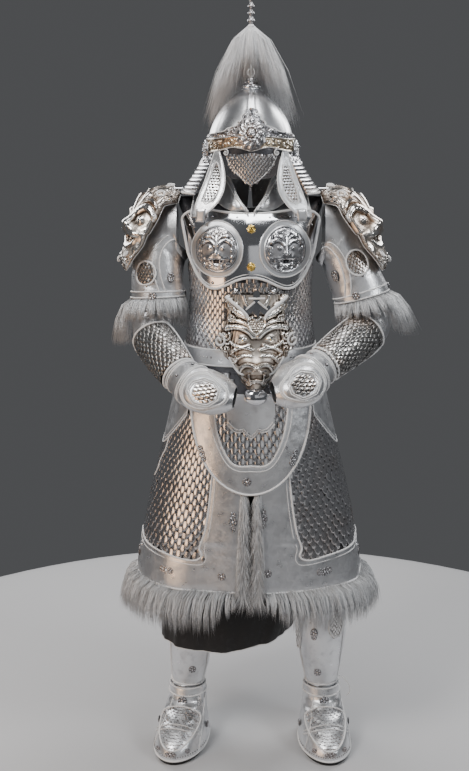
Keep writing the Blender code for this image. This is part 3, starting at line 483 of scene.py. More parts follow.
def geometry_tree(name, inputs, nodes, links):
    """A geometry tree, built once. inputs are (name, type, default), nodes are name: (type,
    settings) and each link is "node.output > node.input"."""
    tree = bpy.data.node_groups.get(name)
    if tree:
        return tree
    tree = bpy.data.node_groups.new(name, "GeometryNodeTree")
    tree.interface.new_socket("Geometry", in_out="INPUT", socket_type="NodeSocketGeometry")
    for label, kind, default in inputs:
        socket = tree.interface.new_socket(label, in_out="INPUT", socket_type="NodeSocket" + kind)
        if default is not None:
            socket.default_value = default
    tree.interface.new_socket("Geometry", in_out="OUTPUT", socket_type="NodeSocketGeometry")
    made = {"start": tree.nodes.new("NodeGroupInput"), "end": tree.nodes.new("NodeGroupOutput")}
    for key, (kind, settings) in nodes.items():
        made[key] = tree.nodes.new(kind)
        for label, value in settings.items():
            if label in made[key].inputs:
                made[key].inputs[label].default_value = value
            else:
                setattr(made[key], label, value)
    for link in links:
        source, goal = (end.split(".") for end in link.split(" > "))
        tree.links.new(made[source[0]].outputs[source[1]], made[goal[0]].inputs[goal[1]])
    return tree


FINISHING = {"real": ("GeometryNodeRealizeInstances", {}), "paint": ("GeometryNodeSetMaterial", {})}
FINISHING_LINKS = ("real.Geometry > paint.Geometry", "start.Finish > paint.Material",
                   "paint.Geometry > end.Geometry")


def copies_tree():
    """Copies of one small shape, turned and sized by the points they stand on."""
    return geometry_tree("copies", (
        ("Shape", "Object", None), ("Size", "Float", 1.0), ("Finish", "Material", None)), {
        "info": ("GeometryNodeObjectInfo", {}),
        "turn": ("GeometryNodeInputNamedAttribute", {"data_type": "QUATERNION", "Name": "turn"}),
        "stretch": ("GeometryNodeInputNamedAttribute", {"data_type": "FLOAT_VECTOR", "Name": "stretch"}),
        "scale": ("ShaderNodeVectorMath", {"operation": "SCALE"}),
        "stand": ("GeometryNodeInstanceOnPoints", {}), **FINISHING}, (
        "start.Geometry > stand.Points", "start.Shape > info.Object", "info.Geometry > stand.Instance",
        "turn.Attribute > stand.Rotation", "stretch.Attribute > scale.Vector", "start.Size > scale.Scale",
        "scale.Vector > stand.Scale", "stand.Instances > real.Geometry", *FINISHING_LINKS))


def tube_tree():
    """A round bead of leather or metal along every line of the mesh."""
    return geometry_tree("tube", (
        ("Radius", "Float", 0.002), ("Sides", "Int", 8), ("Finish", "Material", None)), {
        "line": ("GeometryNodeMeshToCurve", {}), "ring": ("GeometryNodeCurvePrimitiveCircle", {}),
        "sweep": ("GeometryNodeCurveToMesh", {"Fill Caps": True}),
        "smooth": ("GeometryNodeSetShadeSmooth", {}), **FINISHING}, (
        # the beads keep no material of their own: Finish isn't linked here
        "start.Geometry > line.Mesh", "start.Radius > ring.Radius", "start.Sides > ring.Resolution",
        "line.Curve > sweep.Curve", "ring.Curve > sweep.Profile Curve", "sweep.Mesh > smooth.Geometry",
        "smooth.Geometry > real.Geometry", "real.Geometry > paint.Geometry",
        "paint.Geometry > end.Geometry"))


def run_tree(piece, tree, values):
    """Runs a geometry tree with these input values and keeps its result as plain mesh."""
    modifier = piece.modifiers.new(tree.name, "NODES")
    modifier.node_group = tree
    for item in tree.interface.items_tree:
        if item.item_type == "SOCKET" and item.in_out == "INPUT" and item.name in values:
            modifier[item.identifier] = values[item.name]
    graph = bpy.context.evaluated_depsgraph_get()
    graph.update()
    made = bpy.data.meshes.new_from_object(piece.evaluated_get(graph))
    old = piece.data
    piece.modifiers.clear()
    piece.data = made
    made.name = old.name
    bpy.data.meshes.remove(old)
    return piece


def turns_from(across, along, away):
    """Quaternions that take X, Y and Z to these three ways."""
    turns = np.empty((len(across), 4))
    for k, columns in enumerate(zip(across, along, away)):
        turns[k] = Matrix([list(c) for c in columns]).transposed().to_quaternion()
    return turns


def copies(name, shape, places, down, away, stretch, material, shade=0.5, size=1.0):
    """Copies of a shape. Its Y points up the panel and its Z away from it."""
    away = unit(np.asarray(away, float))
    along = -np.asarray(down, float)
    along = unit(along - away * np.sum(along * away, axis=-1, keepdims=True))
    across = np.cross(along, away)
    mesh = bpy.data.meshes.new(name)
    mesh.vertices.add(len(places))
    mesh.vertices.foreach_set("co", np.asarray(places, np.float32).ravel())
    turn = mesh.attributes.new("turn", "QUATERNION", "POINT")
    turn.data.foreach_set("value", turns_from(across, along, away).astype(np.float32).ravel())
    grow = mesh.attributes.new("stretch", "FLOAT_VECTOR", "POINT")
    stretch = np.broadcast_to(np.asarray(stretch, float), (len(places), 3))
    grow.data.foreach_set("vector", stretch.astype(np.float32).ravel())
    tint = mesh.attributes.new("tint", "FLOAT", "POINT")
    tint.data.foreach_set("value", np.full(len(places), shade).astype(np.float32))
    return dress(run_tree(link_piece(name, mesh), copies_tree(), {
        "Shape": shape, "Size": size, "Finish": bpy.data.materials[material]}), material)


def tubes(name, lines, radius, material="silver_piping", closed=False, sides=6, tone=None):
    """A round edge along each line of points."""
    lines = [line[::1 + len(line) // 90] for line in lines]
    points = np.concatenate(lines)
    edges = []
    first = 0
    for line in lines:
        number = np.arange(first, first + len(line))
        ends = np.stack([number, np.roll(number, -1)], -1)
        edges.append(ends if closed else ends[:-1])
        first += len(line)
    mesh = bpy.data.meshes.new(name)
    mesh.from_pydata(points.tolist(), np.concatenate(edges).tolist(), [])
    piece = run_tree(link_piece(name, mesh), tube_tree(), {
        "Radius": radius, "Sides": sides, "Finish": bpy.data.materials[material]})
    if tone is not None:
        set_shade(piece.data, np.full(len(piece.data.vertices), tone))
    return dress(piece, material)


def outline(u, v):
    """The rim of a grid of coordinates, as two lists that run once round it."""
    ring = [(0, slice(None)), (slice(1, None), -1), (-1, slice(-2, None, -1)), (slice(-2, 0, -1), 0)]
    return (np.concatenate([u[key] for key in ring]), np.concatenate([v[key] for key in ring]))


# Small shapes that are repeated. Each is hidden and only lends its mesh.

def keep_shape(name, points, faces, shade):
    mesh = bpy.data.meshes.new(name)
    mesh.from_pydata([tuple(p) for p in points], [], [tuple(f) for f in faces])
    mesh.shade_smooth()
    set_shade(mesh, shade)
    shape = bpy.data.objects.new(name, mesh)
    shape.hide_render = True
    return shape


def scale_shape():
    """A fish scale, 1 wide and 1 long from its top at the origin, with a raised rib."""
    steps = (0.0, 0.48, 0.80, 1.0)
    rows = len(steps)
    columns = 5
    points = []
    shade = []
    for t in steps:
        half = 0.52 if t < 0.45 else 0.52 * max(0.0, cos((t - 0.45) / 0.55 * pi / 2)) ** 0.72
        half = max(half, 0.02)
        for j in range(columns):
            share = -1 + 2 * j / (columns - 1)
            dome = (1 - share * share) ** 0.5
            edge = 1 - max(0.0, (t - 0.55) / 0.45) ** 2
            height = 0.02 + 0.10 * t + (0.10 * dome + 0.05 * (j == 2)) * edge
            points.append((half * share, -t, height))
            # Painted light: a painted highlight on the crown of the dome, and painted shade on the top part,
            # where the row above overlaps it
            shade.append(0.30 + 0.62 * dome * edge - 0.25 * (t < 0.3))
    faces = [(i * columns + j, (i + 1) * columns + j, (i + 1) * columns + j + 1, i * columns + j + 1)
             for i in range(rows - 1) for j in range(columns - 1)]
    low = len(points)
    rim = [i * columns for i in range(rows)] + [(rows - 1) * columns + j for j in range(1, columns)]
    rim += [i * columns + columns - 1 for i in range(rows - 2, -1, -1)]
    # The rim's underside is painted dark: painted shade, as in the gaps between the scales
    for k in rim:
        x, y, z = points[k]
        points.append((x * 0.98, y, z - 0.07))
        shade.append(0.05)
    for k in range(len(rim) - 1):
        faces.append((rim[k], low + k, low + k + 1, rim[k + 1]))
    return keep_shape("scale_shape", points, faces, shade)


def ring_shape(name, sides, top, rings):
    """A round shape, closed at its middle. A ring is (radius, height, tone) for each side."""
    points = [(0.0, 0.0, top)]
    shade = [0.9]
    for ring in rings:
        for k, (radius, height, tone) in enumerate(ring):
            turn = 2 * pi * k / sides
            points.append((radius * sin(turn), radius * cos(turn), height))
            shade.append(tone)
    faces = [(0, 1 + (k + 1) % sides, 1 + k) for k in range(sides)]
    for first in range(1, 1 + (len(rings) - 1) * sides, sides):
        for k in range(sides):
            j = (k + 1) % sides
            faces.append((first + k, first + j, first + sides + j, first + sides + k))
    return keep_shape(name, points, faces, shade)


def medallion_shape():
    """A round boss, 1 across, with a beaded rim and petals."""
    sides = 24
    rings = []
    for radius in (0.10, 0.16, 0.24, 0.32, 0.38, 0.42, 0.46, 0.50):
        ring = []
        for turn in np.arange(sides) * 2 * pi / sides:
            petal = 0.5 + 0.5 * cos(6 * turn + 5 * radius)
            bead = 0.5 + 0.5 * cos(12 * turn)
            # each band ends at a radius, and has its height and its tone
            bands = ((0.12, 0.13, 0.8), (0.18, 0.04, 0.0), (0.40, 0.05 + 0.09 * petal, 0.05 + 0.85 * petal),
                     (0.49, 0.06 + 0.06 * bead, 0.15 + 0.6 * bead), (1.0, 0.0, 0.1))
            height, tone = next(band[1:] for band in bands if radius < band[0])
            ring.append((radius, height, tone))
        rings.append(ring)
    return ring_shape("medallion_shape", sides, 0.16, rings)


def dome_shape():
    """A rivet's head, 1 across, with a small step at its foot."""
    sides = 9
    profile = ((0.20, 0.30, 0.85), (0.36, 0.12, 0.15), (0.38, 0.05, 0.15), (0.50, 0.0, 0.15))
    return ring_shape("dome_shape", sides, 0.34, [[row] * sides for row in profile])


SHAPES = {}


def shape(kind):
    """The named small shape, made once."""
    if kind not in SHAPES:
        SHAPES[kind] = {"scale": scale_shape, "medallion": medallion_shape, "dome": dome_shape}[kind]()
    return SHAPES[kind]


def ways_at(at, u, v, out, step_v=0.002):
    """A point on a form, the way its second coordinate grows, and its way out."""
    place = at(u, v, out)
    up = unit(at(u, v + step_v, out) - at(u, v - step_v, out))
    away = unit(at(u, v, out + 0.001) - place)
    return place, up, away


def studs(name, at, spots, out, kind, size, material, step_v=0.002):
    """Bosses on a form. A spot is (u, v, width share, height share)."""
    table = np.array([spot if len(spot) == 4 else (*spot, 1, 1) for spot in spots], float)
    place, up, away = ways_at(at, table[:, 0], table[:, 1], out, step_v=step_v)
    stretch = np.stack([table[:, 2], table[:, 3], np.ones(len(table))], -1)
    return copies(name, shape(kind), place, -up, away, stretch, material, size=size)


def scale_field(name, at, spots, out, wide, tall, material, down=-1, seed=3, thick=1.0):
    """Overlapping scales, one for each spot (u, v)."""
    chance = np.random.default_rng(seed)
    u, v = np.array(spots).T
    place = at(u, v, out)
    step = 0.002 if np.ptp(v) < 3 else 0.02
    way = unit(at(u, v + step, out) - at(u, v - step, out)) * down
    away = unit(at(u, v, out + 0.001) - place)
    stretch = np.stack([np.full(len(u), wide), np.full(len(u), tall), np.full(len(u), wide * thick)], -1)
    stretch *= 1 + 0.03 * chance.standard_normal((len(u), 1))
    lean = 0.04 * chance.standard_normal((len(u), 3))
    return copies(name, shape("scale"), place, way, away + lean, stretch, material,
                  shade=chance.random(len(u)))


# Finishes

def group_tree(name, inputs, outputs):
    """A shader group with named inputs (name, type, default) and outputs (name, type)."""
    tree = bpy.data.node_groups.new(name, "ShaderNodeTree")
    for label, kind, default in inputs:
        tree.interface.new_socket(label, in_out="INPUT", socket_type=kind).default_value = default
    for label, kind in outputs:
        tree.interface.new_socket(label, in_out="OUTPUT", socket_type=kind)
    return tree, tree.nodes.new("NodeGroupInput"), tree.nodes.new("NodeGroupOutput")


def object_noise(tree, scale, detail=3.0):
    """Noise in the object's own metres. scale is a number or an output socket."""
    where = tree.nodes.new("ShaderNodeTexCoord")
    noise = tree.nodes.new("ShaderNodeTexNoise")
    noise.inputs["Detail"].default_value = detail
    tree.links.new(where.outputs["Object"], noise.inputs["Vector"])
    if isinstance(scale, (int, float)):
        noise.inputs["Scale"].default_value = scale
    else:
        tree.links.new(scale, noise.inputs["Scale"])
    return noise.outputs["Fac"]


def calculate(tree, operation, first, second, clamp=False):
    node = tree.nodes.new("ShaderNodeMath")
    node.operation = operation
    node.use_clamp = clamp
    for socket, value in zip(node.inputs, (first, second)):
        if isinstance(value, (int, float)):
            socket.default_value = value
        else:
            tree.links.new(value, socket)
    return node.outputs[0]


def spread(tree, value, low, high, to_low=0.0, to_high=1.0):
    node = tree.nodes.new("ShaderNodeMapRange")
    node.interpolation_type = "SMOOTHSTEP"
    tree.links.new(value, node.inputs["Value"])
    for label, number in (("From Min", low), ("From Max", high), ("To Min", to_low), ("To Max", to_high)):
        node.inputs[label].default_value = number
    return node.outputs["Result"]


def blend_colours(tree, share, first, second):
    node = tree.nodes.new("ShaderNodeMix")
    node.data_type = "RGBA"
    tree.links.new(share, node.inputs["Factor"])
    for socket, value in ((node.inputs[6], first), (node.inputs[7], second)):
        if isinstance(value, tuple):
            socket.default_value = value
        else:
            tree.links.new(value, socket)
    return node.outputs[2]


def patina_and_shade_group():
    """Old silver: dark in the recesses, bright on the ridges, warm in soft clouds. On relief the dark is
    patina; on the scales it is painted shade, and the bright is a painted highlight.
    """
    found = bpy.data.node_groups.get("patina")
    if found:
        return found
    tree, start, end = group_tree("patina", (
        ("Shade", "NodeSocketFloat", 0.5),
        ("Ridge", "NodeSocketColor", (0.9, 0.9, 0.92, 1)),
        ("Middle", "NodeSocketColor", (0.6, 0.6, 0.62, 1)),
        ("Recess", "NodeSocketColor", (0.04, 0.04, 0.04, 1)),
        ("Warm", "NodeSocketColor", (0.8, 0.5, 0.25, 1)),
        ("Warmth", "NodeSocketFloat", 0.2),
        ("Grain", "NodeSocketFloat", 400.0)),
        (("Colour", "NodeSocketColor"), ("Roughness", "NodeSocketFloat"), ("Height", "NodeSocketFloat")))
    given = start.outputs
    fine = object_noise(tree, given["Grain"])
    cloud = object_noise(tree, 9.0, 2.0)
    wobble = calculate(tree, "MULTIPLY", calculate(tree, "SUBTRACT", fine, 0.5), 0.35)
    shade = calculate(tree, "ADD", given["Shade"], wobble, clamp=True)
    low = blend_colours(tree, spread(tree, shade, 0.10, 0.50), given["Recess"], given["Middle"])
    full = blend_colours(tree, spread(tree, shade, 0.50, 0.95), low, given["Ridge"])
    warm = calculate(tree, "MULTIPLY", spread(tree, cloud, 0.42, 0.68), given["Warmth"])
    colour = blend_colours(tree, warm, full, given["Warm"])
    tree.links.new(colour, end.inputs["Colour"])
    tree.links.new(spread(tree, shade, 0.1, 0.9, 0.52, 0.20), end.inputs["Roughness"])
    tree.links.new(fine, end.inputs["Height"])
    return tree


def grain_group():
    """Leather: pebbled grain, soft broad wrinkles and rubbed places."""
    found = bpy.data.node_groups.get("leather_grain")
    if found:
        return found
    tree, start, end = group_tree("leather_grain", (
        ("Colour", "NodeSocketColor", (0.8, 0.8, 0.82, 1)),
        ("Rubbed", "NodeSocketColor", (0.6, 0.6, 0.62, 1)),
        ("Grain", "NodeSocketFloat", 900.0),
        ("Wrinkle", "NodeSocketFloat", 22.0)),
        (("Colour", "NodeSocketColor"), ("Roughness", "NodeSocketFloat"), ("Height", "NodeSocketFloat")))
    given = start.outputs
    pebble = object_noise(tree, given["Grain"], 2.0)
    wrinkle = object_noise(tree, given["Wrinkle"], 4.0)
    rub = object_noise(tree, 45.0, 5.0)
    tree.links.new(blend_colours(tree, spread(tree, rub, 0.50, 0.78, 0.0, 0.55), given["Colour"],
                                 given["Rubbed"]),
                   end.inputs["Colour"])
    tree.links.new(spread(tree, rub, 0.3, 0.75, 0.27, 0.42), end.inputs["Roughness"])
    height = calculate(tree, "ADD", calculate(tree, "MULTIPLY", pebble, 0.12), wrinkle)
    tree.links.new(height, end.inputs["Height"])
    return tree


def start_material(name, colour, metallic, roughness):
    """A new material and its shader, with the plain values that a group may then vary."""
    material = bpy.data.materials.get(name) or bpy.data.materials.new(name)
    material.use_nodes = True
    shader = material.node_tree.nodes["Principled BSDF"]
    shader.inputs["Base Color"].default_value = colour
    shader.inputs["Metallic"].default_value = metallic
    shader.inputs["Roughness"].default_value = roughness
    return material, shader


def use_group(material, shader, group, values, bump, distance, shade_name=None):
    """Places a group in the material and links what it puts out."""
    tree = material.node_tree
    node = tree.nodes.new("ShaderNodeGroup")
    node.node_tree = group
    for label, value in values.items():
        node.inputs[label].default_value = value
    if shade_name:
        read = tree.nodes.new("ShaderNodeAttribute")
        read.attribute_name = shade_name
        tree.links.new(read.outputs["Fac"], node.inputs["Shade"])
    tree.links.new(node.outputs["Colour"], shader.inputs["Base Color"])
    tree.links.new(node.outputs["Roughness"], shader.inputs["Roughness"])
    ridge = tree.nodes.new("ShaderNodeBump")
    ridge.inputs["Strength"].default_value = bump
    ridge.inputs["Distance"].default_value = distance
    tree.links.new(node.outputs["Height"], ridge.inputs["Height"])
    tree.links.new(ridge.outputs["Normal"], shader.inputs["Normal"])
    return node


def leather_material(name, colour, rubbed, grain=900.0, wrinkle=22.0, bump=0.5):
    material, shader = start_material(name, colour, 0.92, 0.30)
    use_group(material, shader, grain_group(), {
        "Colour": colour, "Rubbed": rubbed, "Grain": grain, "Wrinkle": wrinkle}, bump, 0.004)
    shader.inputs["Coat Weight"].default_value = 0.25
    shader.inputs["Coat Roughness"].default_value = 0.25


# These finishes turn the shade attribute into colour: patina on relief, painted shade and painted highlight
# on the scales
def patina_and_shade_material(name, ridge, middle, recess, warm, warmth, grain=400.0, bump=0.25):
    material, shader = start_material(name, middle, 1.0, 0.3)
    use_group(material, shader, patina_and_shade_group(), {
        "Ridge": ridge, "Middle": middle, "Recess": recess, "Warm": warm, "Warmth": warmth,
        "Grain": grain}, bump, 0.0006, "shade")


def plate_material(name, colour, low, high):
    """Polished metal with faint clouds and hairline wear."""
    material, shader = start_material(name, colour, 1.0, low)
    tree = material.node_tree
    cloud = object_noise(tree, 14.0, 6.0)
    tree.links.new(spread(tree, cloud, 0.35, 0.75, low, high), shader.inputs["Roughness"])
    dull = tuple(c * 0.80 for c in colour[:3]) + (1,)
    tree.links.new(blend_colours(tree, spread(tree, object_noise(tree, 60.0, 8.0), 0.55, 0.85), colour, dull),
                   shader.inputs["Base Color"])
    ridge = tree.nodes.new("ShaderNodeBump")
    ridge.inputs["Strength"].default_value = 0.12
    ridge.inputs["Distance"].default_value = 0.004
    tree.links.new(object_noise(tree, 11.0, 2.0), ridge.inputs["Height"])
    tree.links.new(ridge.outputs["Normal"], shader.inputs["Normal"])


def cloth_material(name, colour, light, thread):
    """Woven cloth: threads both ways, a soft sheen and faint dust."""
    material, shader = start_material(name, colour, 0.0, 0.9)
    tree = material.node_tree
    where = tree.nodes.new("ShaderNodeTexCoord")
    weave = tree.nodes.new("ShaderNodeTexChecker")
    weave.inputs["Scale"].default_value = thread
    tree.links.new(where.outputs["Object"], weave.inputs["Vector"])
    dust = object_noise(tree, 70.0, 5.0)
    tree.links.new(blend_colours(tree, spread(tree, dust, 0.45, 0.8), colour, light),
                   shader.inputs["Base Color"])
    tree.links.new(spread(tree, dust, 0.3, 0.8, 0.78, 0.95), shader.inputs["Roughness"])
    ridge = tree.nodes.new("ShaderNodeBump")
    ridge.inputs["Strength"].default_value = 0.35
    ridge.inputs["Distance"].default_value = 0.0006
    tree.links.new(weave.outputs["Fac"], ridge.inputs["Height"])
    tree.links.new(ridge.outputs["Normal"], shader.inputs["Normal"])
    shader.inputs["Sheen Weight"].default_value = 0.15
    shader.inputs["Sheen Roughness"].default_value = 0.5


def hair_material(name, root, tip, metallic=0.0):
    """Strands: darker at the root, each of its own tone."""
    material, shader = start_material(name, tip, metallic, 0.45)
    tree = material.node_tree
    read = tree.nodes.new("ShaderNodeAttribute")
    read.attribute_name = "shade"
    tone = calculate(tree, "ADD", read.outputs["Fac"],
                     calculate(tree, "MULTIPLY",
                               calculate(tree, "SUBTRACT", object_noise(tree, 260.0, 2.0), 0.5), 0.4),
                     clamp=True)
    tree.links.new(blend_colours(tree, tone, root, tip), shader.inputs["Base Color"])
    tree.links.new(spread(tree, tone, 0.0, 1.0, 0.6, 0.36), shader.inputs["Roughness"])
    shader.inputs["Sheen Weight"].default_value = 0.25
    shader.inputs["Sheen Roughness"].default_value = 0.4


def make_materials():
    """Every finish of the suit."""
    colours = bpy.context.scene.armour_colours
    leather = (*colours.leather, 1)
    silver = (*colours.silver, 1)
    warm = (*colours.warm, 1)
    dark = (*colours.recess, 1)
    fur = (*colours.fur, 1)
    leather_material("silver_leather", leather, (0.50, 0.51, 0.54, 1))
    leather_material("silver_piping", (0.88, 0.89, 0.91, 1), (0.62, 0.63, 0.66, 1), bump=0.2)
    leather_material("coat_lining", (0.10, 0.10, 0.11, 1), (0.05, 0.05, 0.055, 1), bump=0.3)
    plate_material("polished_plate", silver, 0.10, 0.20)
    plate_material("matte_plate", (0.60, 0.61, 0.63, 1), 0.38, 0.50)
    plate_material("satin_plate", (0.80, 0.81, 0.83, 1), 0.27, 0.36)
    plate_material("gold", (0.90, 0.62, 0.16, 1), 0.14, 0.30)
    patina_and_shade_material("antique_silver", silver, (0.48, 0.48, 0.50, 1), dark, warm, 0.18)
    patina_and_shade_material("warm_silver", (0.95, 0.94, 0.91, 1), (0.66, 0.60, 0.54, 1), (0.05, 0.035, 0.025, 1),
                    warm, 0.38)
    patina_and_shade_material("brow_gold", (0.92, 0.88, 0.80, 1), (0.56, 0.46, 0.33, 1), (0.04, 0.025, 0.015, 1),
                    warm, 0.60)
    # The scale finishes show the painted shade and painted highlight that the scale shape carries
    patina_and_shade_material("bright_scales", (0.90, 0.90, 0.91, 1), (0.50, 0.50, 0.52, 1), (0.03, 0.03, 0.03, 1),
                    warm, 0.22)
    patina_and_shade_material("dark_scales", (0.80, 0.79, 0.78, 1), (0.30, 0.29, 0.28, 1), (0.02, 0.02, 0.02, 1),
                    warm, 0.40)
    cloth_material("black_cloth", (0.010, 0.010, 0.011, 1), (0.030, 0.030, 0.033, 1), 900.0)
    cloth_material("white_cord", (0.80, 0.80, 0.79, 1), (0.66, 0.66, 0.66, 1), 700.0)
    hair_material("white_hair", (0.66, 0.66, 0.68, 1), (0.97, 0.97, 0.98, 1))
    hair_material("grey_fur", tuple(0.42 * c for c in fur[:3]) + (1,), fur)


# Relief. Each function gives heights over grids of x and y, in shares of one size

def mound(x, y, place_x, place_y, wide, tall, raised, turn=0.0):
    a = x - place_x
    b = y - place_y
    along = a * cos(turn) + b * sin(turn)
    across = b * cos(turn) - a * sin(turn)
    return raised * np.exp(-(along / wide) ** 2 - (across / tall) ** 2)


def ridge(x, y, points, width, raised):
    """A round bead along a line of points."""
    nearest = np.full(x.shape, 1e9)
    for (ax, ay), (bx, by) in zip(points, points[1:]):
        run = (bx - ax) ** 2 + (by - ay) ** 2
        t = ramp(((x - ax) * (bx - ax) + (y - ay) * (by - ay)) / max(run, 1e-12))
        nearest = np.minimum(nearest, (x - ax - t * (bx - ax)) ** 2 + (y - ay - t * (by - ay)) ** 2)
    return raised * np.sqrt(ramp(1 - nearest / width ** 2))


def curl(place_x, place_y, size, start, hand=1, turns=1.4, count=15):
    """The points of a spiral that winds into its centre."""
    points = []
    for k in range(count):
        t = k / (count - 1)
        angle = start + hand * 2 * pi * turns * t
        points.append((place_x + size * (1 - 0.86 * t) * cos(angle),
                       place_y + size * (1 - 0.86 * t) * sin(angle)))
    return points


def bow(ax, ay, bx, by, bulge, count=9):
    """Points from a to b that swell to one side by bulge."""
    points = []
    for k in range(count):
        t = k / (count - 1)
        swell = 4 * bulge * t * (1 - t)
        points.append((ax + (bx - ax) * t - (by - ay) * swell, ay + (by - ay) * t + (bx - ax) * swell))
    return points


def lion_face(x, y):
    """A lion's face of no particular maker, one unit from its middle to its mane."""
    m = np.abs(x)
    r = np.hypot(x, y)
    h = mound(x, y, 0, 0.10, 0.75, 0.80, 0.16)
    h = h + mound(m, y, 0.36, 0.10, 0.17, 0.14, 0.10)
    h = h - mound(m, y, 0.36, 0.12, 0.25, 0.20, 0.05) + mound(m, y, 0.36, 0.11, 0.10, 0.09, 0.10)
    h = np.maximum(h, 0.13 + ridge(m, y, bow(0.10, 0.22, 0.72, 0.36, 0.28), 0.10, 0.16))
    h = np.maximum(h, 0.10 + ridge(m, y, bow(0.06, 0.42, 0.55, 0.66, 0.20), 0.07, 0.12))
    h = np.maximum(h, 0.14 + ridge(x, y, [(0, 0.62), (0, -0.12)], 0.11, 0.12))
    h = h + mound(x, y, 0, -0.16, 0.20, 0.13, 0.16) + mound(m, y, 0.17, -0.19, 0.08, 0.07, 0.08)
    h = h + mound(m, y, 0.30, -0.36, 0.24, 0.15, 0.16)
    h = h - mound(x, y, 0, -0.55, 0.30, 0.09, 0.22)
    h = np.maximum(h, 0.06 + ridge(x, y, bow(-0.42, -0.52, 0.42, -0.52, -0.30), 0.08, 0.13))
    h = np.maximum(h, 0.04 + ridge(m, y, [(0.20, -0.46), (0.18, -0.62)], 0.05, 0.14))
    for place_x, place_y, size, start, hand in (
            (0.78, 0.55, 0.19, 2.6, 1), (0.86, 0.12, 0.17, 2.2, -1), (0.80, -0.28, 0.17, 1.8, 1),
            (0.58, -0.66, 0.17, 1.2, -1), (0.24, -0.86, 0.14, 0.6, 1), (0.46, 0.84, 0.16, 3.6, -1),
            (0.14, 0.88, 0.13, 4.2, 1)):
        h = np.maximum(h, ridge(m, y, curl(place_x, place_y, size, start, hand), 0.050, 0.15))
    mane = 0.5 + 0.5 * np.cos(13 * np.arctan2(m, y) + 6 * r)
    return h + 0.045 * mane * ramp((r - 0.55) * 3)


def scrolls(x, y, pitch):
    """Rows of leaf curls that wind by turns to the left and to the right."""
    x, y = np.broadcast_arrays(x, y)
    height = np.zeros(x.shape)
    column = np.floor(x / pitch)
    row = np.floor(y / pitch + 0.5 * np.mod(column, 2))
    hand = np.where(np.mod(column + row, 2) < 1, 1.0, -1.0)
    a = x / pitch - column - 0.5
    b = y / pitch + 0.5 * np.mod(column, 2) - row - 0.5
    r = np.hypot(a, b)
    wind = np.cos(hand * np.arctan2(b, a) - 17 * r)
    height += ramp(0.5 + 0.6 * wind) * ramp(1.25 - 1.9 * r)
    return height + 0.8 * bell(r, 0.10)


def beads(x, y, pitch):
    """Round beads in staggered rows."""
    row = np.floor(y / pitch)
    a = np.mod(x / pitch + 0.5 * np.mod(row, 2), 1) - 0.5
    b = y / pitch - row - 0.5
    return np.sqrt(ramp(1 - (a * a + b * b) / 0.21))


def creases(u, v, folds):
    """Soft troughs and ridges. A fold is (u, v, length, width, turn, depth)."""
    height = np.zeros(np.broadcast(u, v).shape)
    for place_u, place_v, length, width, turn, depth in folds:
        height += mound(u, v, place_u, place_v, length, width, depth, turn)
    return height


# The coat and its skirts

def skirt_wave(angle, height):
    """Soft waves that grow towards the skirt's hem."""
    low = ramp((1.08 - height) / 0.56) ** 1.6
    turn = np.radians(angle)
    return 0.0035 * low * (np.sin(7 * turn + 0.6) + 0.6 * np.sin(11 * turn + 2.0) - 0.4)


def skirt_at(angle, height, out=0.0):
    angle, height, out = grids(angle, height, out)
    return BODY.at(angle, height, out + skirt_wave(angle, height))


def skirt_edge(height):
    """Body angle of the skirt's front edge: the opening widens to the hem."""
    return BODY.front_angle(0.012 + 0.026 * (1.05 - height) / 0.53, height)


def even_angles(form, height, count):
    """Angles all round a form at even distances along its section."""
    fine = np.linspace(-180, 180, 1441)
    points = form.section(fine, np.full(fine.shape, height))
    run = np.concatenate([[0], np.cumsum(np.linalg.norm(np.diff(points, axis=0), axis=1))])
    return np.interp(np.arange(count) / count * run[-1], run, fine), run[-1]


def scale_rows(form, low, high, count, share=0.72):
    """Rows of even spots up a form. A row's rise follows the width of its scales."""
    height = low
    rows = []
    widths = []
    while height < high:
        step = 360 / count / 2 * (len(rows) % 2)
        angles, around = even_angles(form, height, count)
        angles = np.mod(angles + 180 + step, 360) - 180
        rows.append(np.stack([angles, np.full(count, height)]))
        widths.append(np.full(count, around / count))
        height += share * around / count
    spots = np.concatenate(rows, axis=1)
    return spots[0], spots[1], np.concatenate(widths)


def banded_scales(name, at, angles, heights, widths, keep, out, material, seed):
    """Scales whose size follows the width of their row, joined into one piece."""
    chance = np.random.default_rng(seed)
    u, v, wide = angles[keep], heights[keep], widths[keep]
    place = at(u, v + 0.55 * wide, out)
    way = unit(at(u, v - 0.002, out) - at(u, v + 0.002, out))
    away = unit(at(u, v, out + 0.001) - at(u, v, out)) + 0.035 * chance.standard_normal((len(u), 3))
    stretch = np.stack([wide * 1.03, wide * 1.30, wide * 0.80], -1)
    return copies(name, shape("scale"), place, way, away, stretch, material, shade=chance.random(len(u)))


def coat_reach(height):
    """How far round to the side a coat panel goes: less beside an armhole."""
    inside = ramp((height - 1.372) / 0.180)
    return 89.6 - 30 * np.sin(pi * inside) ** 0.6


def coat_top(angle):
    """Height of the neckline at an angle from the panel's middle."""
    return np.interp(np.abs(angle), (0, 15, 30, 38, 90), (1.516, 1.520, 1.545, 1.552, 1.552))


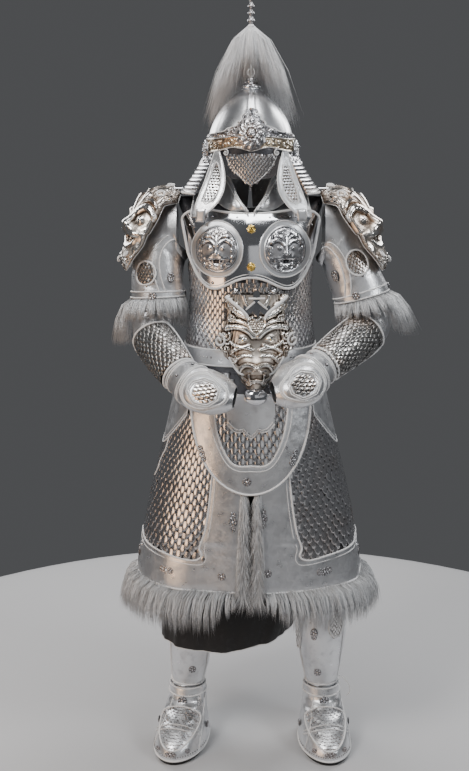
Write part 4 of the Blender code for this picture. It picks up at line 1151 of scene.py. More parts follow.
def make_coat():
    settings = bpy.context.scene.armour_scales
    around = settings.coat_count
    angles, heights, widths = scale_rows(BODY, 1.128, 1.530, around)
    for side, turn in (("front", 0), ("back", 180)):
        share = grid_row(-1, 1, 41)
        tall = grid_column(1.1206, 1.552, 37)
        angle = share * coat_reach(tall)
        height = np.minimum(tall, coat_top(angle) - 0.004 * (1.552 - tall))
        cloth = patch("coat_" + side + "_cloth", BODY.at, turn + angle, height, 0.0, COAT - 0.0006,
                      "coat_lining")
        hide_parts("coat_" + side)
        off = np.mod(angles - turn + 180, 360) - 180
        plate = heights > np.interp(np.abs(off), (0, 20, 32, 50, 60, 68, 90),
                                    (1.350, 1.330, 1.318, 1.338, 1.385, 1.43, 1.6))
        behind = (heights < 1.160) | ((heights > 1.352) & (np.abs(off) > coat_reach(heights) - 5)) | plate
        mask = (np.abs(off) < 21) & (heights < 1.30) if side == "front" else np.zeros(len(off), bool)
        keep = (np.abs(off) < 89) & ~behind & ~mask
        scales = banded_scales("coat_" + side + "_scales", BODY.at, angles, heights, widths, keep, COAT,
                               "bright_scales", 5)


def make_skirts():
    settings = bpy.context.scene.armour_scales
    angles, heights, widths = scale_rows(BODY, 0.530, 1.100, settings.skirt_count)
    for side in (1, -1):
        tall = grid_column(0.520, 1.120, 45)
        share = grid_row(0, 1, 61)
        edge = skirt_edge(tall)
        angle = side * (edge + (179.7 - edge) * share)
        cloth = patch(side_name("skirt_cloth", side), skirt_at, angle, tall, 0.0, COAT - 0.0006,
                      "coat_lining")
        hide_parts(side_name("skirt", side))
        own = side * angles
        border = np.where(own < 30, skirt_edge(heights) + 14.5, 0)
        low = heights < 0.600 + 0.026 * ramp((own - 20) / 60)
        apron = (own < 42) & (heights > 0.835 + 0.0016 * np.clip(own, 0, 42) ** 1.18)
        flap = heights > np.interp(own, (44, 50, 60, 70, 80, 90, 100, 110, 120, 130, 134),
                                   (1.2, 0.992, 0.956, 0.922, 0.902, 0.898, 0.908, 0.932, 0.958, 0.985, 1.2))
        keep = (own > 0) & (own < 180.1) & (own > border) & ~low & ~apron & ~flap
        scales = banded_scales(side_name("skirt_scales", side), skirt_at, angles, heights, widths, keep,
                               COAT, "bright_scales", 7 + side)


# angle and height on the outer edge, then on the inner edge, along a skirt's border
def border_path():
    path = [(skirt_edge(h), h, skirt_edge(h) + w, h) for h, w in (
        (0.860, 17), (0.800, 17), (0.740, 17), (0.680, 18), (0.640, 20))]
    path += [(skirt_edge(0.58), 0.580, 23.2, 0.620)]
    path += [(skirt_edge(0.5206), 0.5206, 25.5, 0.607)]
    path += [(angle, 0.5206, angle + 10, 0.604 + (angle - 20) * 0.0004) for angle in range(20, 80, 10)]
    path += [(angle, 0.5206, angle + 5, 0.627) for angle in (80, 90)]
    path += [(angle, 0.5206, angle, 0.626) for angle in list(range(100, 180, 10)) + [179.4]]
    return np.array([[float(v) for v in row] for row in path])


def rolled_lip(rows, depth=0.0014):
    """A soft pillow across a strip: it falls towards both of its edges."""
    t = grid_column(-1, 1, rows)
    return -depth * t ** 8


def leather_strip(name, at, low, high, out, folds=(), rows=13, wall=LEATHER, material="silver_leather"):
    """A leather strip between two edges, each an array of (u, v) along it."""
    u = between(low[:, 0], high[:, 0], rows)
    v = between(low[:, 1], high[:, 1], rows)
    lift = rolled_lip(rows) + creases(u, v, folds) + 0 * u
    outer = at(u, v, out + wall + lift)
    inner = at(u, v, out)
    return shell(name, outer, inner, material, shade=np.full(u.shape, 0.6))


def make_skirt_borders():
    path = border_path()
    count = 171
    fine = smooth_rows(range(len(path)), path, np.linspace(0, len(path) - 1, count))
    fine[:, 1] = np.maximum(fine[:, 1], 0.5206)
    # angle, height, length and width in degrees and metres, turn and depth of each crease
    folds = ((20, 0.66, 9, 0.010, 0.0, 0.0016), (16, 0.60, 10, 0.008, 0.2, -0.0014),
             (45, 0.56, 5, 0.05, 0.0, 0.0016),
             (62, 0.57, 4, 0.05, 0.0, -0.0016), (120, 0.57, 5, 0.05, 0.0, 0.0014),
             (150, 0.57, 6, 0.04, 0.0, -0.0014))
    for side in (1, -1):
        outer = fine[:, :2] * (side, 1)
        inner = fine[:, 2:] * (side, 1)
        turned = [(side * a, b, c, d, e, f) for a, b, c, d, e, f in folds]
        strip = leather_strip(side_name("skirt_border_leather", side), skirt_at, outer, inner,
                              TRIM + 0.0007, turned)
        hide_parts(side_name("skirt_border", side))
        band = fine[:, 2:] * 0.86 + fine[:, :2] * 0.14
        lines = [skirt_at(outer[:, 0], outer[:, 1] + 0.001, TRIM + 0.0016),
                 skirt_at(inner[:, 0], inner[:, 1], TRIM + 0.0022)]
        piping = tubes(side_name("skirt_border_piping", side), lines, 0.0026)
        seam = tubes(side_name("skirt_border_seam", side),
                     [skirt_at(side * band[:, 0], band[:, 1], TRIM + 0.0026)], 0.0011)
        upright = (-7.5, 0.720) if side < 0 else (5.0, 0.730)
        low_round = (-12.0, 0.566) if side < 0 else (6.5, 0.576)
        long_oval = (-44.5, 0.566) if side < 0 else (38.0, 0.566)
        spots = [(upright[0], upright[1] + rise, size, size * 1.15)
                 for rise, size in ((0.014, 0.8), (-0.004, 1.1), (-0.022, 0.75))]
        spots += [(*low_round, 1.05, 1.05)]
        for middle in (long_oval[0], side * 90, side * 135):
            spots += [(middle - 3.4, long_oval[1] + 0.002, 0.85, 0.9), (middle, long_oval[1], 1.15, 1.0),
                      (middle + 3.4, long_oval[1] + 0.002, 0.85, 0.9)]
        bosses = studs(side_name("skirt_medallions", side), skirt_at, spots, TRIM + 0.0028, "medallion",
                       0.022, "antique_silver")
        rivets = [(side * 82, 0.596), (side * 82, 0.606), (side * 104, 0.596), (side * 165, 0.575)]
        heads = studs(side_name("skirt_studs", side), skirt_at, rivets, TRIM + 0.0024, "dome", 0.009,
                      "polished_plate")
        side_name("skirt_cloth", side)


def make_belt():
    angle = round_row(360, 180)
    height = grid_column(1.1212, 1.165, 11)
    pillow = rolled_lip(11, 0.0010) + 0.0006 * np.sin(np.radians(angle) * 5) * np.sin(pi
        * (height - 1.1212) / 0.0438)
    strap = patch("belt_leather", BODY.at, angle, height, TRIM - 0.0004, LEATHER, "silver_leather", pillow,
                  closed=True)
    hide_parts("belt")
    round_angle = np.linspace(0, 360, 181)[:-1]
    lines = [BODY.at(round_angle, np.full(180, h), TRIM + 0.0012) for h in (1.1225, 1.1637)]
    tubes("belt_piping", lines, 0.0022, closed=True)
    eyelets = [(side * a, 1.143) for side in (1, -1) for a in (33, 37, 41, 45, 140, 144)]
    studs("belt_eyelets", BODY.at, eyelets, TRIM + 0.0016, "dome", 0.006, "antique_silver")


def make_hip_flaps():
    keys = (50, 60, 70, 80, 90, 100, 110, 120, 130)
    low = (0.985, 0.946, 0.914, 0.893, 0.888, 0.900, 0.924, 0.950, 0.975)
    angle, edge = curve_through(keys, low, 57)
    # angle, height, length in degrees, width in metres, turn, depth
    folds = ((62, 1.04, 3, 0.07, 0.0, 0.0022), (74, 1.00, 4, 0.08, 0.0, -0.0026),
             (88, 1.03, 3.5, 0.09, 0.0, 0.0026),
             (101, 1.00, 4, 0.07, 0.0, -0.0020), (114, 1.03, 3, 0.06, 0.0, 0.0018),
             (80, 0.93, 6, 0.012, 0.0, 0.0016))
    for side in (1, -1):
        turned = [(side * f[0], *f[1:]) for f in folds]
        bottom = np.stack([side * angle, edge], -1)
        top = np.stack([side * angle, np.full(57, 1.1203)], -1)
        flap = leather_strip(side_name("hip_flap_leather", side), BODY.at, bottom, top, TRIM, turned, rows=29)
        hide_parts(side_name("hip_flap", side))
        rim = np.concatenate([top[:1], bottom, top[-1:]])
        hem = tubes(side_name("hip_flap_hem", side), [BODY.at(rim[:, 0], rim[:, 1], TRIM + 0.0012)], 0.0017)
        fold = tubes(side_name("hip_flap_seam", side), [BODY.at(side * angle, edge + 0.011, TRIM + 0.0024)],
                     0.0007)


APRON_TOP = 1.100
APRON_LOW = 0.791
APRON_HALF = 0.148


def apron_curve(half, low, top, count, dip=0.0):
    """The U shaped edge of the apron from one side to the other, as (angle, height)."""
    turn = np.linspace(-90, 90, count)
    x = half * np.sin(np.radians(turn))
    height = top - (top - low) * ramp(np.cos(np.radians(turn))) ** 0.85
    height = height + dip * bell(x, 0.024) - 0.6 * dip * bell(np.abs(x) - 0.052, 0.018)
    return np.stack([BODY.front_angle(x, height), height], -1)


def make_apron():
    count = 61
    x = np.linspace(-0.142, 0.142, count)
    share = ramp(np.abs(x) / 0.145)
    low = np.minimum(1.055, 1.03 - (1.03 - APRON_LOW - 0.006) * (1 - share ** 2.6) ** 0.5)
    bottom = np.stack([BODY.front_angle(x, low), low], -1)
    top = np.stack([BODY.front_angle(x, np.full(count, APRON_TOP)), np.full(count, APRON_TOP)], -1)
    u = between(bottom[:, 0], top[:, 0], 21)
    v = between(bottom[:, 1], top[:, 1], 21)
    base = patch("apron_cloth", BODY.at, u, v, APRON, LEATHER, "coat_lining")
    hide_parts("apron_scales")

    pitch = bpy.context.scene.armour_scales.apron_pitch
    rows = []
    for k, height in enumerate(np.arange(0.800, 1.098, 0.78 * pitch)):
        across = np.arange(-0.152, 0.153, pitch) + (k % 2) * pitch / 2
        rows.append(np.stack([across, np.full(len(across), height)]))
    spots = np.concatenate(rows, axis=1)
    share = ramp(np.abs(spots[0]) / 0.118)
    hem = 1.035 - (1.035 - APRON_LOW - 0.048) * (1 - share ** 2.2) ** 0.5
    cloud_low = 0.955 + 0.45 * np.abs(spots[0])
    covered = (spots[1] > cloud_low) & (np.abs(spots[0]) < 0.052)
    keep = (spots[1] > hem) & (share < 1) & ~covered
    angle = BODY.front_angle(spots[0], spots[1])
    rows = np.stack([angle, spots[1] + 0.0095], -1)[keep]
    scales = scale_field("apron_scale_field", BODY.at, rows, APRON + LEATHER,
                         pitch * 1.04, pitch * 1.36, "bright_scales", seed=11, thick=0.62)

    outer = apron_curve(APRON_HALF, APRON_LOW, 1.03, 97)
    inner = apron_curve(APRON_HALF - 0.056, APRON_LOW + 0.066, 1.035, 97, dip=0.010)
    border = leather_strip("apron_border_leather", BODY.at, outer, inner, APRON_TRIM, rows=15)
    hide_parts("apron_border")
    middle = inner * 0.82 + outer * 0.18
    piping = tubes("apron_piping", [BODY.at(e[:, 0], e[:, 1], APRON_TRIM + 0.0018) for e in (outer, inner)],
                   0.0027)
    seam = tubes("apron_seam", [BODY.at(middle[:, 0], middle[:, 1], APRON_TRIM + 0.0024)], 0.0012)
    spots = []
    for angle, height in ((-29.0, 0.894), (24.5, 0.886)):
        for k in (-1, 0, 1):
            spots.append((angle + 1.6 * k * (1 if angle > 0 else -1), height + 0.013 * k,
                          0.9 - 0.15 * abs(k), 1.0 - 0.1 * abs(k)))
    spots.append((-1.5, 0.826, 1.15, 1.15))
    bosses = studs("apron_medallions", BODY.at, spots, APRON_TRIM + 0.0026, "medallion", 0.021,
                   "antique_silver")

    cloud_x = np.linspace(-0.060, 0.060, 73)
    scallop = 0.010 * np.abs(np.sin(pi * (cloud_x + 0.060) / 0.040))
    cloud_low = 0.948 + 0.45 * np.abs(cloud_x) - scallop
    edge = np.stack([BODY.front_angle(cloud_x, cloud_low), cloud_low], -1)
    above = np.stack([BODY.front_angle(cloud_x, np.full(73, 1.052)), np.full(73, 1.052)], -1)
    # The cloud is the same leather as the border but takes the brighter piping finish: painted light, which
    # brightens a part that the lamps leave dark
    cloud = leather_strip("apron_cloud_leather", BODY.at, edge, above, APRON_TRIM - 0.0006, rows=17,
                          material="silver_piping")
    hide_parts("apron_cloud")
    inside = np.stack([edge[:, 0] * 0.93, edge[:, 1] + 0.006], -1)
    trim = tubes("apron_cloud_piping",
                 [BODY.at(e[:, 0], e[:, 1], APRON_TRIM + 0.0016) for e in (edge, inside)],
                 0.0016)


def make_under_cloth():
    """Black cloth with soft pleats, shifted to hang round the right leg."""
    angle = round_row(360, 156)
    height = grid_column(0.325, 1.090, 21)
    shift = smooth_rows([r[0] for r in UNDER_SHIFT], [[r[1]] for r in UNDER_SHIFT], height[:, 0])[:, 0]
    turn = np.radians(angle)
    fold = (0.0042 * np.cos(9 * turn) + 0.0022 * np.cos(17 * turn + 1.3) + 0.0012
            * np.cos(31 * turn)) * (1.09 - height)
    rise = 0.030 * np.clip(np.sin(turn), 0, None) * ramp((0.45 - height) / 0.125)
    outer = UNDER.at(angle, height + rise, -0.0008 + fold)
    inner = UNDER.at(angle, height + rise, -0.0023 + fold)
    for points in (outer, inner):
        points[..., 0] += shift[:, None]
    cloth = shell("under_cloth_hung", outer, inner, "black_cloth", closed=True)
    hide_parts("under_cloth")
    hem = tubes("under_cloth_hem", [outer[0]], 0.0011, "black_cloth", closed=True)


# Plates and collar

def plate_edges(table, turn, count):
    keys = [row[0] for row in table]
    both = sorted({-k for k in keys} | set(keys))
    low = {row[0]: row[1] for row in table}
    top = {row[0]: row[2] for row in table}
    angle, bottom = curve_through(both, [low[abs(k)] for k in both], count)
    upper = curve_through(both, [top[abs(k)] for k in both], count)[1]
    return turn + angle, bottom, upper


def make_plates():
    # angle, lower edge, upper edge
    front = ((0, 1.357, 1.5095), (10, 1.350, 1.511), (20, 1.336, 1.514), (30, 1.326, 1.518),
             (40, 1.330, 1.519), (50, 1.350, 1.516), (58, 1.376, 1.510), (65, 1.412, 1.500))
    back = ((0, 1.330, 1.510), (15, 1.326, 1.512), (30, 1.322, 1.517), (45, 1.334, 1.517),
            (57, 1.374, 1.508), (65, 1.412, 1.498))
    for name, turn, table in (("breastplate", 0, front), ("backplate", 180, back)):
        angle, low, top = plate_edges(table, turn, 81)
        u = between(angle, angle, 37)
        v = between(low, top, 37)
        x = np.radians(u - turn)
        keel = 0.0018 * bell(x, 0.10) if turn == 0 else 0.0016 * bell(x, 0.05)
        step = 0.0010 / (1 + np.exp(-(v - 1.494) / 0.0012))
        plate = patch(name + "_plate", BODY.at, u, v, PLATE - 0.0030, 0.0030, "polished_plate", keel + step,
                      tone=0.6)
        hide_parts(name)
        points_u, points_v = outline(u, v)
        tubes(name + "_rolled_rim", [BODY.at(points_u, points_v, PLATE + 0.0006)], 0.0034, "polished_plate",
              closed=True, sides=10)
        inner_low = np.stack([angle[6:-6], low[6:-6] + 0.0085], -1)
        tubes(name + "_bead", [BODY.at(inner_low[:, 0], inner_low[:, 1], PLATE + 0.0006)], 0.0012,
              "polished_plate")
        if turn == 0:
            spots = [(-8.5, 1.500), (12.0, 1.500), (-28.0, 1.502), (28.5, 1.502), (-33.5, 1.341),
                     (37.0, 1.341),
                     (52.5, 1.484), (-52.5, 1.484), (59.0, 1.402), (-57.5, 1.402)]
        else:
            spots = [(turn + side * a, h) for side in (1, -1) for a,
                     h in ((12, 1.500), (38, 1.502), (52, 1.480), (30, 1.335), (58, 1.405))]
        studs(name + "_rivets", BODY.at, spots, PLATE + 0.0004, "dome", 0.0085, "antique_silver")


def make_chest_discs():
    half_wide = 0.064
    half_tall = 0.070
    rings = np.concatenate([np.linspace(1.0, 0.74, 8), np.linspace(0.73, 0.01, 42)])[:, None]
    turn = round_row(2 * pi, 96)
    for side in (1, -1):
        x = side * 0.083 + half_wide * rings * np.sin(turn)
        height = 1.4245 - half_tall * rings * np.cos(turn)
        local_x = rings * np.sin(turn) / 0.70
        local_y = -rings * np.cos(turn) / 0.70
        profile = np.interp(rings, (0, 0.30, 0.70, 0.76, 0.80, 0.92, 0.97, 1.0),
                            (0.0070, 0.0062, 0.0022, 0.0052, 0.0022, 0.0030, 0.0036, 0.0010))
        beading = 0.0016 * (0.5 + 0.5 * np.cos(40 * turn)) * bell(rings - 0.755, 0.022)
        inside = ramp((0.735 - rings) / 0.03)
        curls = 0.0022 * scrolls(x, height, 0.0130) * ramp((rings - 0.46) / 0.06) * inside
        relief = profile + beading + 0.019 * lion_face(local_x, local_y) * inside + curls
        angle = BODY.front_angle(x, height)
        outer = BODY.at(angle, height, PLATE + 0.0004 + relief)
        inner = BODY.at(angle, height, PLATE + 0.0002)
        face = rings[:, 0] < 0.775
        shade = cavity(relief, closed=True)
        roundel = shell(side_name("chest_roundel", side), outer[face], inner[face], "antique_silver",
                        closed=True, shade=shade[face])
        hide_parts(side_name("chest_disc", side))
        edge = rings[:, 0] > 0.765
        shell(side_name("chest_disc_rim", side), outer[edge], inner[edge], "matte_plate", closed=True)
        tubes(side_name("chest_disc_edge", side), [outer[1]], 0.0014, "polished_plate", closed=True)


def turned_piece(name, profile, centre, material, sides=32, axis=(0, 0, 1), flutes=0, depth=0.0, slot=None):
    """A turned piece from (radius, height) down its outer side, with flutes if asked."""
    radius = np.array([p[0] for p in profile])[:, None]
    height = np.array([p[1] for p in profile])[:, None]
    turn = np.linspace(0, 2 * pi, sides + 1)[None, :-1]
    flute = 1 + depth * np.cos(flutes * turn)
    upright = Vector(axis).normalized()
    spin = np.array(Vector((0, 0, 1)).rotation_difference(upright).to_matrix())
    points = np.stack([radius * flute * np.cos(turn), radius * flute * np.sin(turn), height + 0 * turn], -1)
    points = points @ spin.T + np.array(centre)
    count = len(profile)
    faces = [grid_quads(count, sides, True)[:, ::-1]]
    flat = points.reshape(-1, 3)
    shade = np.repeat(ramp(0.35 + 0.6 * radius[:, 0] / radius.max()), sides)
    shade = shade * (0.75 + 0.25 * np.tile(flute[0] / flute.max(), count))
    caps = [np.arange(sides)[None, :], ((count - 1) * sides + np.arange(sides))[None, ::-1]]
    return new_piece(name, flat, faces + caps, material, shade, slot=slot)


def fine_profile(points, count):
    """A smooth run of (radius, height) through a few given ones."""
    table = np.array(points, float)
    run = np.concatenate([[0], np.cumsum(np.linalg.norm(np.diff(table, axis=0), axis=1))])
    wanted = smooth_rows(run, table, np.linspace(0, run[-1], count))
    wanted[:, 0] = np.maximum(wanted[:, 0], 0.0002)
    return wanted


def make_chest_knobs():
    profile = fine_profile(((0.0003, 0.0082), (0.004, 0.0078), (0.0062, 0.0052), (0.0066, 0.0040),
                            (0.0095, 0.0030), (0.0108, 0.0008), (0.0104, -0.0030)), 30)
    for name, height in (("chest_knob_top", 1.474), ("chest_knob_low", 1.384)):
        foot, _, away = ways_at(BODY.at, np.array([0.0]), np.array([height]), PLATE + 0.0048)
        knob = turned_piece(name + "_gold", profile, foot[0], "gold", 40, away[0], flutes=8, depth=0.07)
        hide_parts(name)


def make_straps_and_collar():
    half = 0.020
    rise_height = (1.500, 1.516, 1.530, 1.546)
    rise_out = (0.0105, 0.0105, 0.0070, 0.0070)
    for side in (1, -1):
        across = side * 0.129 + grid_row(-half, half, 13)
        part = np.linspace(1.500, 1.546, 16)
        out = smooth_rows(rise_height, np.array(rise_out)[:, None], part)[:, 0][:, None]
        front = BODY.at(BODY.front_angle(across, part[:, None]), part[:, None], out)
        back = BODY.at(180 - BODY.front_angle(across, part[:, None]), part[:, None], out)
        middle = np.stack([across[0], np.zeros(13), np.full(13, level(1.5600))], -1)[None]
        run = np.concatenate([front, middle, back[::-1]])
        fine = smooth_rows(range(len(run)), run.reshape(len(run), -1),
                           np.linspace(0, len(run) - 1, 81)).reshape(81, 13, 3)
        normal = sheet_normals(fine)
        normal = normal * np.sign(normal[40, 6, 2])
        pillow = (LEATHER - 0.0012 * np.linspace(-1, 1, 13) ** 8)[None, :, None]
        strap = shell(side_name("shoulder_strap_leather", side), fine + normal * pillow, fine,
                      "silver_leather")
        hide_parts(side_name("shoulder_strap", side))
        edges = [fine[:, k] + normal[:, k] * 0.0012 for k in (0, -1)]
        piping = tubes(side_name("shoulder_strap_piping", side), edges, 0.0014)

    # body angle of the foot, angle and height of the top edge, height of the foot
    table = np.array(((2, 5, 1.522, 1.5165), (15, 25, 1.557, 1.520), (28, 48, 1.603, 1.545),
                      (90, 90, 1.604, 1.5580),
                      (152, 128, 1.599, 1.545), (165, 155, 1.595, 1.520), (178.6, 179, 1.594, 1.5165)))
    for side in (1, -1):
        key_feet = BODY.at(side * table[:, 0], table[:, 3], COAT + 0.0027)
        key_feet[3] = (side * 0.090, 0, level(1.5580))
        foot = smooth_rows(range(7), key_feet, np.linspace(0, 6, 73))
        key_tops = COLLAR.section(side * table[:, 1], table[:, 2])
        top = smooth_rows(range(7), key_tops, np.linspace(0, 6, 73))
        part = np.linspace(0, 1, 21)[:, None, None]
        fine_grid = foot[None] * (1 - part) + top[None] * part
        normal = sheet_normals(fine_grid) * (1 if side > 0 else -1)
        normal = normal * np.sign(np.sum(normal[13, 10] * (0, -1, 0.0)))
        u, v = np.meshgrid(np.linspace(0, 6, 73), np.linspace(0, 1, 21))
        folds = ((0.9, 0.45, 0.35, 0.20, 0.5, 0.004), (1.6, 0.55, 0.30, 0.30, -0.4, -0.003),
                 (2.6, 0.4, 0.4, 0.5, 0.3, 0.002))
        lift = (LEATHER + creases(u, v, folds) - 0.0010 * (2 * v - 1) ** 8)[..., None]
        lapel = shell(side_name("collar_leather", side), fine_grid + normal * lift, fine_grid,
                      "silver_leather")
        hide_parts(side_name("collar", side))
        rim = np.concatenate([fine_grid[:, 0], fine_grid[-1, 1:]])
        inset = fine_grid[-4, 2:] + normal[-4, 2:] * 0.0028
        piping = tubes(side_name("collar_piping", side), [rim, inset], 0.0019)


# Helmet

def make_helmet():
    angle = round_row(360, 96)
    height = 1.668 + (1.8258 - 1.668) * (1 - (1 - grid_column(0, 1, 33)) ** 1.5)
    off = (angle + 180) % 360 - 180
    reach = off * np.radians(1) * HEAD.width(height)
    rib = sum(0.0022 * bell(reach - place, 0.0022) for place in (-0.0052, 0.0052))
    side_rib = sum(0.0012 * bell(((off - turn + 180) % 360 - 180) * np.radians(1) * HEAD.width(height), 0.003)
                   for turn in (60, 120, 180, 240, 300))
    bowl = patch("helmet_bowl_steel", HEAD.at, angle, height, 0.0, 0.0030, "satin_plate", rib + side_rib,
                 closed=True, tone=0.6)
    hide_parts("helmet_bowl")

    brow = ((0, 1.672, 1.704), (12, 1.678, 1.706), (24, 1.681, 1.706), (36, 1.676, 1.704),
            (54, 1.670, 1.702), (72, 1.668, 1.702), (90, 1.668, 1.702), (104, 1.670, 1.700))
    angle, low, top = plate_edges(brow, 0, 230)
    u = between(angle, angle, 17)
    v = between(low, top, 17)
    x = np.radians(u) * 0.118
    t = grid_column(0, 1, 17)
    lip = 0.0022 * (bell(t - 0.06, 0.05) + bell(t - 0.94, 0.05))
    relief = 0.0008 + 0.0040 * scrolls(x, v - 1.6860, 0.0165) * ramp(6 * t * (1 - t) - 0.4) + lip
    band = patch("helmet_brow_scrolls", HEAD.at, u, v, 0.0046, 0.0022, "brow_gold", relief)
    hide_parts("helmet_brow")
    # A dark strip under the brow: painted shadow, which darkens the slit between the brow and the face mail
    patch("helmet_brow_lining", HEAD.at, grid_row(-44, 44, 33),
          grid_column(1.6600, 1.6840, 5), 0.0031, 0.0012, "coat_lining")
    edges = [HEAD.at(angle, low + 0.0006, 0.0076), HEAD.at(angle, top - 0.0006, 0.0070)]
    tubes("helmet_brow_rims", edges, 0.0017, "antique_silver", tone=0.75)
    pearls = [(a, 1.7065) for a in np.arange(-100, 101, 4.0)]
    studs("helmet_brow_beads", HEAD.at, pearls, 0.0060, "dome", 0.0062, "antique_silver")

    keys = (1.706, 1.712, 1.720, 1.730, 1.744, 1.756, 1.772)
    height, half = curve_through(keys, (86, 64, 40, 25, 17, 14, 8), 57)
    share = grid_row(-1, 1, 97)
    leaf = half[:, None] * (1 + 0.10 * np.cos(height[:, None] * 2 * pi / 0.0145))
    u = share * leaf
    v = height[:, None] + 0 * u
    x = np.radians(u) * HEAD.width(v)
    edge = ramp((1 - np.abs(share)) * 6)
    relief = 0.0010 + (0.0055 * scrolls(x + 0.5 * 0.0150, v - 1.706, 0.0150)) * edge
    relief = relief + 0.0030 * bell(x, 0.0035)
    crest = patch("helmet_crest_filigree", HEAD.at, u, v, 0.0046, 0.0018, "antique_silver", relief)
    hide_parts("helmet_crest")
    lines = [HEAD.at(side * half * (1 + 0.10 * np.cos(height * 2 * pi / 0.0145)), height, 0.0072)
             for side in (1, -1)]
    tubes("helmet_crest_rims", lines, 0.0017, "antique_silver", tone=0.8)

    rings = grid_column(1, 0.02, 33)
    turn = round_row(2 * pi, 96)
    radius = 0.034 * rings * (1 + 0.05 * np.cos(12 * turn))
    x = radius * np.sin(turn)
    v = 1.7120 - radius * 1.12 * np.cos(turn)
    flower = 0.0030 * (0.5 + 0.5 * np.cos(12 * turn + 9 * rings)) * ramp(1 - np.abs(rings - 0.70) / 0.26)
    core = 0.0045 * np.sqrt(ramp(1 - (rings / 0.26) ** 2)) + 0.0022 * bell(rings - 0.40, 0.05)
    curls = 0.0026 * scrolls(x, v, 0.0125) * ramp(1.1 - rings)
    relief = 0.0015 + flower + core + curls + 0.004 * (1 - rings ** 2)
    at_angle = np.degrees(np.arcsin(np.clip(x / HEAD.width(v), -1, 1)))
    outer = HEAD.at(at_angle, v, 0.0105 + relief)
    inner = HEAD.at(at_angle, v, 0.0102)
    shell("helmet_front_roundel", outer, inner, "antique_silver", closed=True, shade=cavity(relief, True))

    rings = grid_column(1, 0.02, 25)
    turn = round_row(2 * pi, 72)
    relief = 0.0012 + 0.0030 * bell(rings - 0.93, 0.06) + 0.0040 * bell(rings, 0.16)
    x = 0.0290 * rings * np.sin(turn)
    y = 0.0270 * rings * np.cos(turn)
    relief = relief + 0.0042 * scrolls(x, y, 0.0110) * ramp((0.90 - rings) / 0.08)
    for side in (1, -1):
        at_angle = side * 79 + np.degrees(x / 0.120)
        shell(side_name("helmet_ear_boss", side), HEAD.at(at_angle, 1.6720 - y, 0.0105 + relief),
              HEAD.at(at_angle, 1.6720 - y, 0.0095), "antique_silver", closed=True,
              shade=cavity(relief, True))


def strands(name, roots, ways, material, width, rings, seed, tones):
    """Tapered hairs in one mesh. ways are each hair's bend point and tip from its root."""
    chance = np.random.default_rng(seed)
    count = len(roots)
    bend, tip = ways
    t = np.linspace(0, 1, rings)[None, :, None]
    line = roots[:, None] + 2 * t * (1 - t) * bend[:, None] + t * t * tip[:, None]
    along = unit(np.gradient(line, axis=1))
    side = unit(np.cross(along, unit(chance.standard_normal((count, 1, 3)))))
    other = np.cross(along, side)
    thick = width * (1 - 0.80 * t ** 1.4) * (0.75 + 0.5 * chance.random((count, 1, 1)))
    corners = []
    for k in range(3):
        turn = 2 * pi * k / 3
        corners.append(line + thick / 2 * (side * cos(turn) + other * sin(turn)))
    points = np.stack(corners, 2)[:, :-1].reshape(count, -1, 3)
    points = np.concatenate([points, line[:, -1:]], 1)
    size = points.shape[1]
    first = (np.arange(count) * size)[:, None, None]
    ring = np.arange(rings - 2)[None, :, None] * 3
    a = first + ring + np.arange(3)[None, None, :]
    b = first + ring + (np.arange(3)[None, None, :] + 1) % 3
    quads = np.stack([a, b, b + 3, a + 3], -1).reshape(-1, 4)
    start = first[:, 0, 0]
    end = start + size - 4
    caps = [np.stack([start, start + 2, start + 1], -1)]
    caps += [np.stack([end + k, end + (k + 1) % 3, end + 3], -1) for k in range(3)]
    share = np.append(np.repeat(t[0, :-1, 0], 3), 1.0)[None, :]
    tone = tones[:, None] * (0.30 + 0.70 * ramp(share * 2.2))
    return new_piece(name, points.reshape(-1, 3), [quads, np.concatenate(caps)], material, tone, sharp=180)


def make_finial():
    rise = 1.8292
    profile = [(0.0003, 2.062), (0.0030, 2.058), (0.0050, 2.051), (0.0028, 2.044), (0.0034, 2.041),
               (0.0082, 2.034),
               (0.0034, 2.027), (0.0030, 2.025), (0.0082, 2.017), (0.0038, 2.009), (0.0042, 2.007),
               (0.0092, 1.999),
               (0.0050, 1.991), (0.0048, 1.920), (0.0050, 1.858), (0.0130, 1.853), (0.0095, 1.847),
               (0.0150, 1.843),
               (0.0235, 1.839), (0.0262, 1.834), (0.0258, 1.8315), (0.0246, 1.8294), (0.0003, 1.8292)]
    run = fine_profile([(r, h - rise) for r, h in profile], 130)
    run[:, 0] = np.clip(run[:, 0], 0.0003, 0.0266)
    rod = turned_piece("helmet_finial_rod", run, (0, 0, level(rise)), "antique_silver", 24, flutes=0,
                       depth=0.05)
    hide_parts("helmet_finial")
    spots = []
    for radius, height, number in ((0.0255, 1.8345, 30), (0.0170, 1.8440, 20)):
        for k in range(number):
            turn = 2 * pi * k / number
            spots.append((radius * sin(turn), -radius * cos(turn), level(height)))
    places = np.array(spots)
    out = unit(places * (1, 1, 0))
    copies("helmet_finial_beads", shape("dome"), places, np.tile((0.0, 0.0, -1.0), (len(places), 1)), out,
           (1, 1, 1.4), "antique_silver", size=0.0048)
    centre = np.array((0, -0.0235, level(1.8480)))
    ball = [(0.0082 * sin(radians(t)) + 0.0002, 0.0082 * cos(radians(t))) for t in range(2, 180, 11)]
    pearl = turned_piece("helmet_pearl_boss", ball, centre, "antique_silver", 28, flutes=7, depth=0.10,
                         slot="polished_plate")
    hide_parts("helmet_pearl")
    prongs = []
    for lean in (-1, 0, 1):
        t = np.linspace(0, 1, 16)
        x = lean * 0.0085 * np.sin(t * pi * 0.80)
        prongs.append(centre + np.stack([x, -0.001 - 0.004 * t, 0.006 + (0.032 - 0.008 * abs(lean)) * t], -1))
    tubes("helmet_trident", prongs, 0.0013, "antique_silver", tone=0.8)


